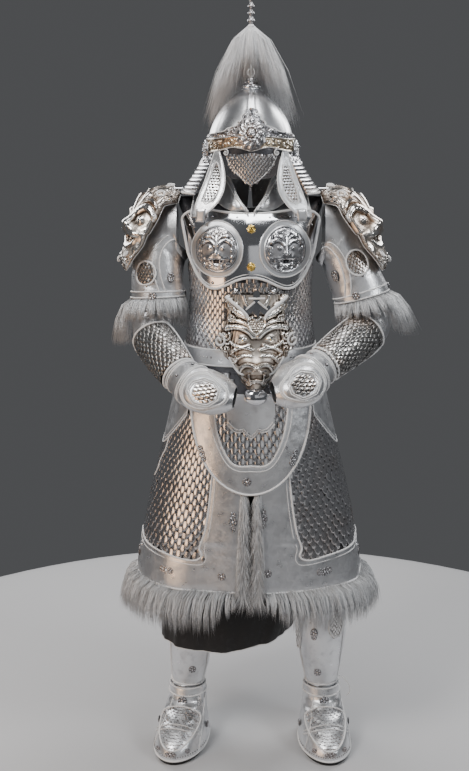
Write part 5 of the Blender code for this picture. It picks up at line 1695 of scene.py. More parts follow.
def make_plume():
    """Horsehair from the rod, long behind and at the sides, short over the forehead."""
    settings = bpy.context.scene.armour_fur
    chance = np.random.default_rng(21)
    count = settings.plume_strands
    turn = 2 * pi * chance.random(count)
    clump = np.round(turn / (2 * pi) * 46) / 46 * 2 * pi
    gather = turn + 0.55 * (clump - turn)
    drop = chance.random(count)
    out = np.stack([np.sin(turn), -np.cos(turn), 0 * turn], -1)
    aim = np.stack([np.sin(gather), -np.cos(gather), 0 * turn], -1)
    roots = out * 0.0052 + np.stack([0 * turn, 0 * turn, level(1.988) - 0.055 * drop ** 2], -1)
    front = ramp((np.cos(turn) - 0.15) / 0.50)
    width = (0.114 + 0.007 * chance.standard_normal(count) + 0.004 * np.sin(9 * gather)) * (1 - 0.80 * front)
    fall = (0.282 - 0.036 * chance.random(count) - 0.016 * np.abs(np.sin(5 * gather))) * (1 - 0.46 * front)
    inward = chance.random(count) ** 0.6
    width *= 0.50 + 0.50 * inward
    fall *= 0.62 + 0.38 * inward
    fall -= 0.045 * drop ** 2
    bend = out * (width * 0.56)[:, None] + np.stack([0 * turn, 0 * turn, -fall * 0.09], -1)
    tip = aim * width[:, None] + np.stack([0 * turn, 0 * turn, -fall], -1)
    tip += 0.004 * chance.standard_normal((count, 3))
    tones = np.clip(0.80 + 0.14 * np.sin(23 * clump) + 0.18 * chance.standard_normal(count), 0.05, 1)
    hair = strands("plume_hair", roots, (bend, tip), "white_hair", 0.0014, 4, 22, tones)
    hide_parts("plume")
    profile = fine_profile(((0.0055, 0.004), (0.0085, 0.0), (0.0075, -0.006), (0.0060, -0.012)), 14)
    turned_piece("plume_binding", profile, (0, 0, level(1.986)), "white_hair", 24)


def make_face_mail():
    height, half = curve_through((1.590, 1.606, 1.628, 1.648, 1.6660), (3, 13, 24, 31, 34), 17)
    share = grid_row(-1, 1, 25)
    u = share * half[:, None]
    rise = ((height - 1.590) / 0.076)[:, None]
    arch = 0.0045 - 0.0045 * np.sin(pi * np.minimum(1.0, np.abs(u) / 36))
    v = height[:, None] + arch * rise
    base = patch("face_mail_cloth", HEAD.at, u, v, 0.0046, 0.0016, "coat_lining")
    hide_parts("face_mail")
    spots = []
    for k, row in enumerate(np.arange(1.592, 1.6650, 0.0062)):
        wide = np.interp(row, height, half)
        place = (np.arange(-8, 9) + 0.5 * (k % 2)) * 4.9
        for angle in place[np.abs(place) < wide + 0.5]:
            lift = (0.0045 - 0.0045 * sin(pi * min(1.0, abs(angle) / 36))) * (row - 1.590) / 0.076
            spots.append((angle, row + lift + 0.0035))
    scale_field("face_mail_scales", HEAD.at, spots, 0.0062, 0.0098, 0.0118,
                "bright_scales", seed=31)
    rim_u = np.concatenate([u[::-1, 0], u[1:, -1]])
    rim_v = np.concatenate([v[::-1, 0], v[1:, -1]])
    tubes("face_mail_rim", [HEAD.at(rim_u, rim_v, 0.0066)], 0.0016, "antique_silver", tone=0.7)
    spiral = []
    for side in (1, -1):
        points = curl(0, 0, 0.0085, pi / 2, side, 1.3, 26)
        spiral.append(np.array([HEAD.at(side * 32.5 + np.degrees(x / 0.12), 1.668 + y, 0.0100) for x,
                                y in points]))
    tubes("face_mail_curls", spiral, 0.0016, "antique_silver", tone=0.8)


def make_neck_guard():
    angle = grid_row(53, 307, 121)
    height = grid_column(1.562, 1.6664, 61)
    rib = np.abs(np.sin(pi * (height - 1.562) / 0.0098)) ** 0.8 * 0.0034
    rows = ramp((1.640 - height) / 0.003)
    x = np.radians(angle) * 0.125
    twist = 0.0040 * scrolls(x, height - 1.640, 0.0130)
    studs_row = 0.0010 * (0.5 + 0.5 * np.cos(x * 2 * pi / 0.0060))
    relief = rib * rows + (twist + studs_row) * (1 - rows)
    guard = patch("neck_guard_ribs", NECK.at, angle, height, 0.0, 0.0022, "antique_silver", relief)
    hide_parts("neck_guard")
    for name, tall, radius, material in (("neck_guard_hem", 1.5625, 0.0032, "silver_piping"),
                                         ("neck_guard_hem_bead", 1.5690, 0.0016, "silver_piping")):
        line = NECK.at(angle[0], np.full(121, tall), 0.0050)
        tubes(name, [line], radius, material)


# height, centre x, half width, y, how much the outer edge turns back
CHEEK_ROWS = ((1.512, 0.130, 0.009, -0.132, 0.35), (1.530, 0.120, 0.022, -0.130, 0.35),
              (1.562, 0.103, 0.029, -0.124, 0.35), (1.596, 0.092, 0.026, -0.114, 0.40),
              (1.632, 0.087, 0.018, -0.102, 0.60), (1.6713, 0.0850, 0.006, -0.0905, 0.85))


def cheek_at(share, height, out=0.0):
    share, height, out = grids(share, height, out)
    table = np.array(CHEEK_ROWS)
    row = smooth_rows(table[:, 0], table[:, 1:], height)
    x = row[..., 0] + row[..., 1] * share
    back = row[..., 3]
    away = unit(np.stack([back, -np.ones(x.shape), 0 * x], -1))
    return np.stack([x, row[..., 2] + back * (x - row[..., 0]), level(height)], -1) + away * out[..., None]


def make_cheek_flaps():
    share = grid_row(-1, 1, 37)
    height = grid_column(1.512, 1.6713, 57)
    t = (height - 1.512) / (1.6713 - 1.512)
    inner = ramp((0.60 - np.abs(share)) / 0.06) * ramp((t - 0.20) / 0.05) * ramp((0.80 - t) / 0.05)
    lift = 0.0014 - 0.0022 * inner - 0.0012 * np.abs(share) ** 10 + 0 * t
    for side in (1, -1):
        def at(u, v, out=0.0):
            return cheek_at(u, v, out) * (side, 1, 1)
        outer = at(share, height, LEATHER + lift)
        back = at(share, height, 0.0)
        flap = shell(side_name("cheek_flap_leather", side), outer, back, "silver_leather")
        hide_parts(side_name("cheek_flap", side))
        spots = []
        for k, row in enumerate(np.arange(1.548, 1.640, 0.0072)):
            for place in np.arange(-1.5, 2, 1) * 0.30 + 0.15 * (k % 2):
                if abs(place) < 0.56:
                    spots.append((place, row))
        scale_field(side_name("cheek_flap_mail", side), at, spots, 0.0016, 0.0092, 0.0112,
                    "dark_scales", seed=41)
        ring_t = np.linspace(0, 2 * pi, 90)
        inset_u = 0.60 * np.sin(ring_t)
        inset_v = 1.5920 - 0.0520 * np.cos(ring_t)
        edge = height[:, 0]
        lines = [at(np.full(57, s), edge, 0.0020) for s in (-1.0, 1.0)]
        tubes(side_name("cheek_flap_piping", side), lines + [at(inset_u, inset_v, 0.0030)], 0.0018)
        low = grid_row(-1, 1, 11)
        tall = grid_column(1.4955, 1.5290, 11)
        wide = 0.0115
        block_x = 0.1290 + wide * low - 0.10 * (tall - 1.512)
        block_y = -0.1352 + 0.35 * (block_x - 0.129) + 0 * tall
        pillow = 0.0040 - 0.0030 * np.maximum(np.abs(low), np.abs(tall - 1.5122) / 0.0168) ** 6
        face = np.stack([side * block_x, block_y - pillow, level(tall) + 0 * block_x], -1)
        rear = np.stack([side * block_x, block_y + 0.0030, level(tall) + 0 * block_x], -1)
        shell(side_name("cheek_flap_end", side), face, rear, "silver_piping")


# Arms

def limb_scales(name, limb, centre, half_at, first, last, pitch, out, material, seed):
    """Scales over one side of a limb, with rows of even size down to the hand."""
    spots = []
    place = first
    k = 0
    while place < last:
        ring = smooth_rows(range(len(limb.centres)), limb.rings, np.array([place]))[0]
        radius = (ring[3] + ring[4]) / 2 + out
        near = limb.centres[min(int(place) + 1, len(limb.centres) - 1)] - limb.centres[min(int(place),
            len(limb.centres) - 2)]
        half = half_at(place)
        step = np.degrees(pitch / radius)
        for angle in np.arange(-int(half / step) - 1, int(half / step) + 2) * step + step / 2 * (k % 2):
            if abs(angle) < half:
                spots.append((centre + angle, place - 0.55 * pitch / np.linalg.norm(near)))
        place += 0.74 * pitch / np.linalg.norm(near)
        k += 1
    table = np.array(spots)
    table[:, 1] = np.maximum(table[:, 1], 0.0)
    return scale_field(name, limb.along, table, out,
                       pitch * 1.04, pitch * 1.34, material, down=1, seed=seed, thick=0.62)


def loop_on(at, centre_u, centre_v, half_u, half_v, out, power=1.0, count=80):
    """An oval line on a form, in the form's own coordinates."""
    turn = np.linspace(0, 2 * pi, count + 1)[:-1]
    u = centre_u + half_u * np.sign(np.sin(turn)) * np.abs(np.sin(turn)) ** power
    v = centre_v + half_v * np.sign(np.cos(turn)) * np.abs(np.cos(turn)) ** power
    return at(u, v, out)


def window(name, limb, angle, place, half_angle, half_place, pitch, out, seed):
    """An oval window in leather: dark backing, small scales and a piped rim."""
    at = limb.along
    rings = grid_column(1, 0.02, 7)
    turn = round_row(2 * pi, 64)
    u = angle + half_angle * rings * np.sin(turn)
    v = place + half_place * rings * np.cos(turn)
    shell(name + "_backing", at(u, v, out + 0.0004), at(u, v, out - 0.0004), "coat_lining", closed=True)
    ring = smooth_rows(range(len(limb.centres)), limb.rings, np.array([place]))[0]
    step_u = np.degrees(pitch / ((ring[3] + ring[4]) / 2))
    near = np.linalg.norm(limb.centres[min(int(place) + 1, len(limb.centres) - 1)] - limb.centres[int(place)])
    step_v = 0.74 * pitch / near
    spots = []
    for i in range(-12, 13):
        for j in range(-12, 13):
            du = (i + 0.5 * (j % 2)) * step_u
            dv = j * step_v
            if (du / half_angle) ** 2 + (dv / half_place) ** 2 < 0.92:
                spots.append((angle + du, place + dv - 0.4 * step_v))
    scale_field(name + "_scales", at, spots, out + 0.0004,
                pitch * 1.04, pitch * 1.30, "dark_scales", down=1, seed=seed, thick=0.6)
    tubes(name + "_rim", [loop_on(at, angle, place, half_angle, half_place, out + 0.0012)], 0.0026,
          closed=True)


def make_sleeves():
    angle = round_row(360, 60)
    place = grid_column(0, 4, 41)
    for side, arm in ARMS.items():
        limb = arm.sleeve
        off = np.where(side > 0, 180 + 30, 180 - 30)
        folds = ((off - 60, 1.3, 26, 0.10, 0.01, 0.0030), (off + 10, 1.9, 30, 0.09, -0.01, -0.0026),
                 (off + 60, 1.5, 24, 0.12, 0.012, 0.0028), (off - 20, 3.1, 40, 0.10, 0.004, 0.0022),
                 (off + 40, 3.5, 30, 0.08, -0.006, -0.0022), (off - 90, 2.6, 30, 0.10, 0.0, 0.0024))
        lift = creases(angle, place, folds)
        swell = 0.0016 * np.sin(np.radians(angle) * 3 + place * 2.2)
        sleeve = patch(side_name("sleeve_leather", side), limb.along, angle, place, 0.0, LEATHER,
                       "silver_leather", lift + swell, closed=True, tone=0.6)
        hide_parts(side_name("sleeve", side))
        at = limb.along
        ring = np.linspace(0, 360, 121)[:-1]
        lines = [at(ring, np.full(120, p), LEATHER + 0.0010) for p in (3.97, 3.72)]
        hem = tubes(side_name("sleeve_piping", side), lines, 0.0021, closed=True)
        down = np.linspace(0.9, 3.72, 60)
        front = 158 if side < 0 else 222
        seams = [at(front - side * (8 + 16 * np.sin((down - 0.9) / 2.8 * pi)), down, LEATHER + 0.0014),
                 at(front - side * (22 + 16 * np.sin((down - 0.9) / 2.8 * pi)), down, LEATHER + 0.0014),
                 at(np.full(60, 20.0), down, LEATHER + 0.0014)]
        seam = tubes(side_name("sleeve_seams", side), seams, 0.0015)
        window(side_name("sleeve_window", side), limb, 212 if side < 0 else 162, 2.95 if side < 0 else 2.56,
               24, 0.48,
               0.0100, LEATHER + 0.0010, 51)
        spots = [(154, 3.04, 1.0, 1.2), (154, 3.14, 0.8, 0.9), (194, 3.90, 1.0, 1.0)] if side < 0 else [
            (220, 2.66, 1.0, 1.2), (220, 2.78, 0.8, 0.9), (190, 3.78, 1.0, 1.0)]
        spots += [(20, 2.6, 1.0, 1.0), (90, 3.85, 1.0, 1.0)]
        bosses = studs(side_name("sleeve_medallions", side), at, spots, LEATHER + 0.0022, "medallion", 0.022,
                       "antique_silver", step_v=0.02)
        side_name("shoulder_strap_leather", side)


def make_forearms():
    angle = round_row(360, 48)
    place = grid_column(0, 6, 43)
    for side, arm in ARMS.items():
        limb = arm.forearm
        turn = np.radians(angle)
        elbow = ramp(1 - np.abs(place - 1.9) / 1.3)
        lift = 0.0016 * elbow * np.sin(9 * place + 1.5 * np.sin(turn)) + 0.0010 * np.sin(3 * turn + place)
        tube = patch(side_name("forearm_leather", side), limb.along, angle, place, 0.0, 0.0020,
                     "silver_leather", lift * 0.8, closed=True, tone=0.6)
        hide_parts(side_name("forearm", side))
        side_name("sleeve_leather", side)

        outside = np.array((side * 0.45, -0.75, 0.50))
        centre = np.degrees(np.arctan2(outside.dot(limb.upward[4]), outside.dot(limb.across[4])))
        keys = (2.75, 3.0, 4.0, 5.0, 5.45)
        halves = (66, 82, 98, 96, 88)
        down, half = curve_through(keys, halves, 17)
        share = grid_row(-1, 1, 25)
        u = centre + share * half[:, None]
        v = down[:, None] + 0 * u
        at = limb.along
        base = patch(side_name("vambrace_base", side), at, u, v, 0.0046, 0.0022, "coat_lining")
        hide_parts(side_name("vambrace", side))

        def half_at(p, down=down, half=half):
            return np.interp(p, down, half) - 9
        limb_scales(side_name("vambrace_scales", side), limb, centre, half_at, 2.95, 5.40, 0.0145,
                    0.0068, "dark_scales", 61)
        rim_u, rim_v = outline(u, v)
        tubes(side_name("vambrace_rim", side), [at(rim_u, rim_v, 0.0070)], 0.0034, closed=True)


def make_gauntlets():
    angle = round_row(360, 48)
    place = grid_column(0, 5, 35)
    for side, arm in ARMS.items():
        limb = arm.gauntlet
        at = limb.along
        lift = 0.0008 * np.sin(np.radians(angle) * 4 + place)
        glove = patch(side_name("gauntlet_leather", side), at, angle, place, 0.0, LEATHER, "silver_leather",
                      lift, closed=True, tone=0.6)
        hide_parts(side_name("gauntlet", side))
        ring = np.linspace(0, 360, 97)[:-1]
        tubes(side_name("gauntlet_bands", side),
              [at(ring, np.full(96, p), LEATHER + 0.0014) for p in (0.06, 0.22, 1.06, 1.20)], 0.0019,
              closed=True)
        centre = 146 if side > 0 else 220
        middle = 2.75
        run = 0.0335
        girth = 0.0560

        def local(x, y, out):
            """A point of the hand plate: x towards the fingers and y round the hand."""
            return limb.at(middle + x / run, centre + np.degrees(y / girth), out)
        rings = grid_column(1, 0.02, 17)
        turn = round_row(2 * pi, 64)
        radius = 0.050 * (1 + 0.10 * np.cos(3 * turn) + 0.04 * np.cos(2 * turn)) * rings
        x = radius * np.cos(turn)
        y = radius * np.sin(turn)
        dish = 0.0052 * (1 - rings ** 4) - 0.0030 * ramp((0.46 - rings) / 0.05)
        outer = local(x, y, LEATHER + 0.0018 + dish)
        inner = local(x, y, LEATHER + 0.0006)
        shell(side_name("gauntlet_plate", side), outer, inner, "silver_leather", closed=True)
        tubes(side_name("gauntlet_plate_rim", side), [outer[0], outer[2]], 0.0026, closed=True)
        corners = np.linspace(0, 2 * pi, 9)[:-1] + pi / 8
        loops = []
        for size in (0.0285, 0.0335):
            px = np.concatenate([np.linspace(size * cos(a), size * cos(b), 6)[:-1] for a, b in
                                 zip(corners, np.roll(corners, -1))])
            py = np.concatenate([np.linspace(size * sin(a), size * sin(b), 6)[:-1] for a, b in
                                 zip(corners, np.roll(corners, -1))])
            loops.append(local(px, py, LEATHER + 0.0078))
        tubes(side_name("gauntlet_octagon", side), loops, 0.0017, closed=True)
        spots = []
        for i in range(-4, 5):
            for j in range(-4, 5):
                px = (i + 0.5 * (j % 2)) * 0.0110
                py = j * 0.0086
                if np.hypot(px, py) < 0.0255:
                    spots.append((px, py))
        table = np.array(spots)
        place_at = local(table[:, 1], table[:, 0], LEATHER + 0.0046)
        toward = unit(local(table[:, 1] + 0.002, table[:, 0], 0.004) - local(table[:, 1] - 0.002,
                                                                             table[:, 0], 0.004))
        away = unit(local(table[:, 1], table[:, 0], 0.006) - local(table[:, 1], table[:, 0], 0.005))
        copies(side_name("gauntlet_scales", side), shape("scale"), place_at - toward * 0.006, toward, away,
               (0.0114, 0.0140, 0.0080), "dark_scales")
        spots = [(a, 0.64) for a in (centre - 60, centre, centre + 60, centre + 120, centre + 180)]
        studs(side_name("gauntlet_studs", side), at, spots, LEATHER + 0.0004, "dome", 0.0085,
              "antique_silver", step_v=0.02)


# x, height, half depth of the spine from the shoulder out and down, and how far the
# front and back edges lie behind the spine
PAULDRON = np.array((
    (0.1860, 1.5555, 0.040, 0.018), (0.2280, 1.5640, 0.062, 0.034), (0.2640, 1.5490, 0.078, 0.048),
    (0.2940, 1.5160, 0.084, 0.052), (0.3180, 1.4800, 0.082, 0.050), (0.3230, 1.4460, 0.074, 0.036),
    (0.3380, 1.4080, 0.060, 0.020), (0.3500, 1.3700, 0.038, 0.007)))


def pauldron_at(side, share, place, out=0.0):
    """A point of a shoulder cap. share runs from its front to its back, place down it."""
    share, place, out = grids(share, place, out)
    keys = np.arange(8)
    k = place * 7
    row = smooth_rows(keys, PAULDRON, k)
    ahead = smooth_rows(keys, PAULDRON, np.clip(k + 0.4, 0, 7)) - smooth_rows(keys, PAULDRON,
                                                                              np.clip(k - 0.4, 0, 7))
    run = unit(ahead[..., :2])
    away = np.stack([-run[..., 1], 0 * share, run[..., 0]], -1)
    tuck = 0.020 if side < 0 else 0.0
    turn = share * pi / 2
    x = row[..., 0] - tuck * np.clip((k - 2) / 5, 0, None)
    spine = np.stack([x, row[..., 2] * np.sin(turn) - 0.006 * k, level(row[..., 1])], -1)
    spine = spine - away * (row[..., 3] * (1 - np.cos(turn)))[..., None]
    way = unit(away * np.cos(turn)[..., None] + np.stack([0 * turn, np.sin(turn), 0 * turn], -1))
    return (spine + way * out[..., None]) * (side, 1, 1)


def make_pauldrons():
    share = grid_row(-1, 1, 97)
    place = grid_column(0, 1, 109)
    face_x = (share + 0.36) * 1.25
    face_y = (0.50 - place) * 2.75
    form = mound(face_x, face_y, 0, -0.25, 0.45, 0.30, 0.10) + mound(np.abs(face_x), face_y, 0.42, 0.30,
                                                                     0.24, 0.20, 0.08)
    lion = lion_face(face_x / 1.02, face_y / 1.02)
    tufts = 0.06 * scrolls(face_x + 0 * place, face_y + 0 * share,
                           0.26) * ramp((np.hypot(face_x, face_y) - 0.98) * 4)
    edge = ramp((1 - np.abs(share)) * 9) * ramp(place * 14) * ramp((1 - place) * 14)
    fine = 0.010 * np.sin(46 * face_x + 5 * np.sin(9 * face_y)) * ramp(lion * 4)
    relief = (0.003 + 0.086 * (form * 0.55 + lion * 0.80 + tufts) + 0.06 * fine * 0.6) * (0.25 + 0.75 * edge)
    for side in (1, -1):
        outer = pauldron_at(side, share, place, 0.003 + relief)
        inner = pauldron_at(side, share, place, 0.0)
        cap = shell(side_name("pauldron_lion", side), outer, inner, "warm_silver", shade=cavity(relief))
        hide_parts(side_name("pauldron", side))
        rim_s, rim_p = outline(share + 0 * place, place + 0 * share)
        tubes(side_name("pauldron_rim", side), [pauldron_at(side, rim_s[::3], rim_p[::3], 0.0030)], 0.0022,
              "antique_silver", closed=True, tone=0.7)
        lines = []
        for place_s, place_p, size, start, hand in ((0.0, 0.10, 0.013, 0.5, 1), (0.55, 0.17, 0.014, 1.0, -1),
                                                    (-0.55, 0.17, 0.014, 2.2, 1), (0.88, 0.36, 0.012, 1.0, 1),
                                                    (-0.88, 0.36, 0.012, 2.0, -1), (0.0, 0.93, 0.012, 4.4, 1),
                                                    (0.62, 0.84, 0.012, 5.0, -1),
                                                    (-0.62, 0.84, 0.012, 4.0, 1)):
            points = np.array(curl(0, 0, size, start, hand, 1.5, 30))
            lift = 0.006 + 0.012 * np.sin(np.linspace(0, pi, 30)) ** 2
            lines.append(pauldron_at(side, place_s + points[:, 0] / 0.105,
                                     ramp(place_p + points[:, 1] / 0.27), lift + 0.006))
        tubes(side_name("pauldron_locks", side), lines, 0.0026, "warm_silver", sides=7, tone=0.85)
        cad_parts[side_name("shoulder_pin", side)].data.materials.clear()
        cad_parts[side_name("shoulder_pin",
                                 side)].data.materials.append(bpy.data.materials["polished_plate"])


# height and half width of the belly guard
BELLY_ROWS = np.array((
    (1.066, 0.022), (1.090, 0.038), (1.118, 0.050), (1.146, 0.072), (1.174, 0.090),
    (1.202, 0.092), (1.230, 0.080), (1.258, 0.068), (1.286, 0.074), (1.314, 0.078)))
BELLY_CENTRE = 0.012
BELLY_BASE = 0.0095


def belly_swell(share, height):
    edge = np.sqrt(ramp(1 - share * share)) ** 0.7
    muzzle = mound(share, height, 0, 1.105, 0.75, 0.055, 0.052)
    forehead = mound(share, height, 0, 1.235, 0.80, 0.060, 0.022)
    return 0.0031 + (muzzle + forehead) * edge


def belly_at(x, height, out=0.0):
    """A point of the belly guard's own form, by the distance from its middle line."""
    half = smooth_rows(BELLY_ROWS[:, 0], BELLY_ROWS[:, 1:], height)[..., 0]
    share = np.clip(x / half, -1, 1)
    angle = BODY.front_angle(BELLY_CENTRE + x, height)
    return BODY.at(angle, height, BELLY_BASE + belly_swell(share, height) + out)


def belly_mask(x, y):
    """Relief of a horned beast mask in metres: brows, eyes, muzzle, fangs and curls."""
    m = np.abs(x)
    h = 0.0010 + mound(m, y, 0.031, 1.1985, 0.016, 0.013, 0.006)
    h = h - mound(m, y, 0.031, 1.1985, 0.021, 0.017, 0.003) + mound(m, y, 0.031, 1.1985, 0.0085, 0.0075,
                                                                    0.007)
    for points, width, raised in (
            (bow(0.006, 1.207, 0.070, 1.226, 0.22), 0.0085, 0.0105),
            (bow(0.008, 1.222, 0.058, 1.247, 0.18), 0.0060, 0.0075),
            (bow(0.010, 1.236, 0.044, 1.262, 0.16), 0.0050, 0.0060),
            (bow(0.018, 1.184, 0.062, 1.190, -0.20), 0.0050, 0.0070),
            (bow(0.010, 1.172, 0.060, 1.160, 0.20), 0.0055, 0.0075),
            (bow(0.012, 1.156, 0.052, 1.136, 0.20), 0.0055, 0.0075),
            (bow(0.004, 1.128, 0.040, 1.112, 0.28), 0.0060, 0.0085),
            (bow(0.0, 1.088, 0.034, 1.096, -0.20), 0.0055, 0.0080),
            (bow(0.026, 1.262, 0.066, 1.308, -0.18), 0.0080, 0.0095),
            (bow(0.010, 1.280, 0.030, 1.312, -0.15), 0.0055, 0.0060)):
        h = np.maximum(h, ridge(m, y, points, width, raised))
    h = h + mound(x, y, 0, 1.122, 0.013, 0.011, 0.009) + mound(m, y, 0.0155, 1.1125, 0.0080, 0.0065, 0.007)
    h = h - mound(m, y, 0.0155, 1.1105, 0.0032, 0.0028, 0.006)
    h = h - mound(x, y, 0, 1.0985, 0.030, 0.0045, 0.008)
    h = np.maximum(h, ridge(m, y, [(0.018, 1.103), (0.016, 1.086)], 0.0032, 0.0095))
    for place_x, place_y, size, start, hand in (
            (0.074, 1.205, 0.014, 2.4, 1), (0.072, 1.172, 0.014, 2.0, -1), (0.056, 1.143, 0.012, 1.6, 1),
            (0.043, 1.120, 0.010, 1.2, -1), (0.060, 1.252, 0.011, 3.4, -1), (0.020, 1.080, 0.008, 0.8, 1),
            (0.050, 1.285, 0.010, 0.2, 1), (0.068, 1.300, 0.009, 3.2, -1)):
        h = np.maximum(h, ridge(m, y, curl(place_x, place_y, size, start, hand), 0.0034, 0.0085))
    h = h + 0.0015 * np.sin(m * 900 + 160 * y) * ramp((m - 0.040) * 60)
    heart = [(0, 1.213), (0.012, 1.226), (0.0205, 1.243), (0.0185, 1.256), (0.0095, 1.260), (0, 1.252)]
    shield = ridge(m, y, heart, 0.0034, 0.0120)
    inside = (m < 0.019) & (y < 1.255) & (y > 1.216 + m * 1.35)
    h = np.where(inside, 0.0060 + 0.0035 * beads(x, y, 0.0062), h)
    return np.maximum(h, shield)


def make_belly_guard():
    rows = 145
    height = grid_column(1.066, 1.314, rows)
    half = smooth_rows(BELLY_ROWS[:, 0], BELLY_ROWS[:, 1:], height[:, 0])
    share = grid_row(-1, 1, 113)
    notch = 1 + 0.035 * np.sin(height * 2 * pi / 0.022)
    x = share * half * notch
    relief = belly_mask(x, height)
    edge = ramp((1 - np.abs(share)) * 10)
    relief = 0.0016 + relief * (0.25 + 0.75 * edge)
    outer = belly_at(x, height, relief + 0.0010)
    inner = belly_at(x, height, 0.0)
    mask = shell("belly_guard_mask", outer, inner, "warm_silver", shade=cavity(relief))
    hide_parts("belly_guard")

    horns = []
    for side in (1, -1):
        t = np.linspace(0, 1, 24)
        horns.append(belly_at(side * (0.020 + 0.050 * t), 1.258 + 0.052 * t ** 0.7,
                              0.012 + 0.010 * np.sin(pi * t)))
    tubes("belly_guard_horns", horns, 0.0042, "warm_silver", sides=10, tone=0.8)
    ears = []
    for side in (1, -1):
        points = np.array(curl(0, 0, 0.0150, pi / 2, side, 1.25, 32))
        ears.append(belly_at(side * 0.0860 + points[:, 0], 1.192 + points[:, 1] * 1.25, 0.0100))
        whisker = np.linspace(0, 1, 24)
        ears.append(belly_at(side * (0.030 + 0.034 * whisker), 1.104 + 0.046 * whisker ** 2, 0.0100))
    tubes("belly_guard_curls", ears, 0.0030, "antique_silver", sides=8, tone=0.85)
    studs("belly_guard_eyes", belly_at, [(-0.031, 1.1985), (0.031, 1.1985)],
          0.0100, "dome", 0.0105, "gold")
    chin = grid_column(0, 1, 17)
    turn = round_row(2 * pi, 48)
    wide = np.cos(chin * pi / 2)
    bowl_x = BELLY_CENTRE + 0.031 * wide * np.sin(turn)
    bowl_z = level(1.052) - 0.024 * wide * np.cos(turn)
    bowl_y = -0.1840 - 0.022 * np.sin(chin * pi / 2) + 0 * turn
    cup = np.stack([bowl_x, bowl_y, bowl_z], -1)
    back = cup + np.array((0, 0.0030, 0.0))
    shell("belly_guard_chin_bowl", cup, back, "polished_plate", closed=True)

    blade_rows = np.array(((1.262, 0.0042), (1.270, 0.0066), (1.300, 0.0070), (1.326, 0.0068),
                           (1.335, 0.0040)))
    tall = np.linspace(1.262, 1.335, 37)
    half = smooth_rows(blade_rows[:, 0], blade_rows[:, 1:], tall)
    share = grid_row(-1, 1, 21)
    u = BODY.front_angle(BELLY_CENTRE + share * half, tall[:, None] + 0 * share)
    keel = 0.0022 * (1 - np.abs(share)) + 0 * tall[:, None]
    blade = patch("belly_blade_steel", BODY.at, u, tall[:, None] + 0 * share, 0.0372, 0.0024,
                  "polished_plate", keel, tone=0.6)
    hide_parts("belly_blade")
    bars = []
    for side in (1, -1):
        wing = np.linspace(0, 1, 20)
        bars.append(BODY.at(BODY.front_angle(BELLY_CENTRE + side * (0.004 + 0.020 * wing),
                                             1.300 - 0.020 * wing),
                            1.300 - 0.020 * wing, 0.0400 - 0.002 * wing))
    cross = [BODY.at(BODY.front_angle(BELLY_CENTRE + np.linspace(-0.018, 0.018, 14), np.full(14, 1.3095)),
                     np.full(14, 1.3095), 0.0405)]
    tubes("belly_blade_cross", cross + bars, 0.0026, "polished_plate", sides=10)
    for name, side in (("left", 1), ("right", -1)):
        wing_x = grid_row(0.007, 0.030, 14)
        wing_h = grid_column(0, 1, 12)
        h = 1.272 + 0.018 * wing_h - 0.10 * (wing_x - 0.007) + 0.004 * np.sin(wing_x * 260)
        u = BODY.front_angle(BELLY_CENTRE + side * wing_x, h)
        patch("belly_blade_wing_" + name, BODY.at, u, h, 0.0385, 0.0014, "polished_plate")
    studs("belly_guard_knobs", BODY.at, [(-11.5, 1.322), (17.5, 1.320)], 0.0110, "dome", 0.0150,
          "polished_plate")


# Fur

def hem_lines(side):
    """The fur's line: down the front opening, then round the hem to the back."""
    height = np.linspace(0.812, 0.530, 160)
    edge = side * (skirt_edge(height) - 0.3)
    front = BODY.at(edge, height, 0.003)
    away = unit(BODY.at(edge, height, 0.012) - front)
    corner = side * (skirt_edge(np.array([0.525]))[0] - 0.3)
    angle = side * np.linspace(abs(corner), 179.6, 800)
    hem = BODY.at(angle, np.full(800, 0.5210), 0.003)
    out = unit(hem * (1, 1, 0))
    return front, away, hem, out


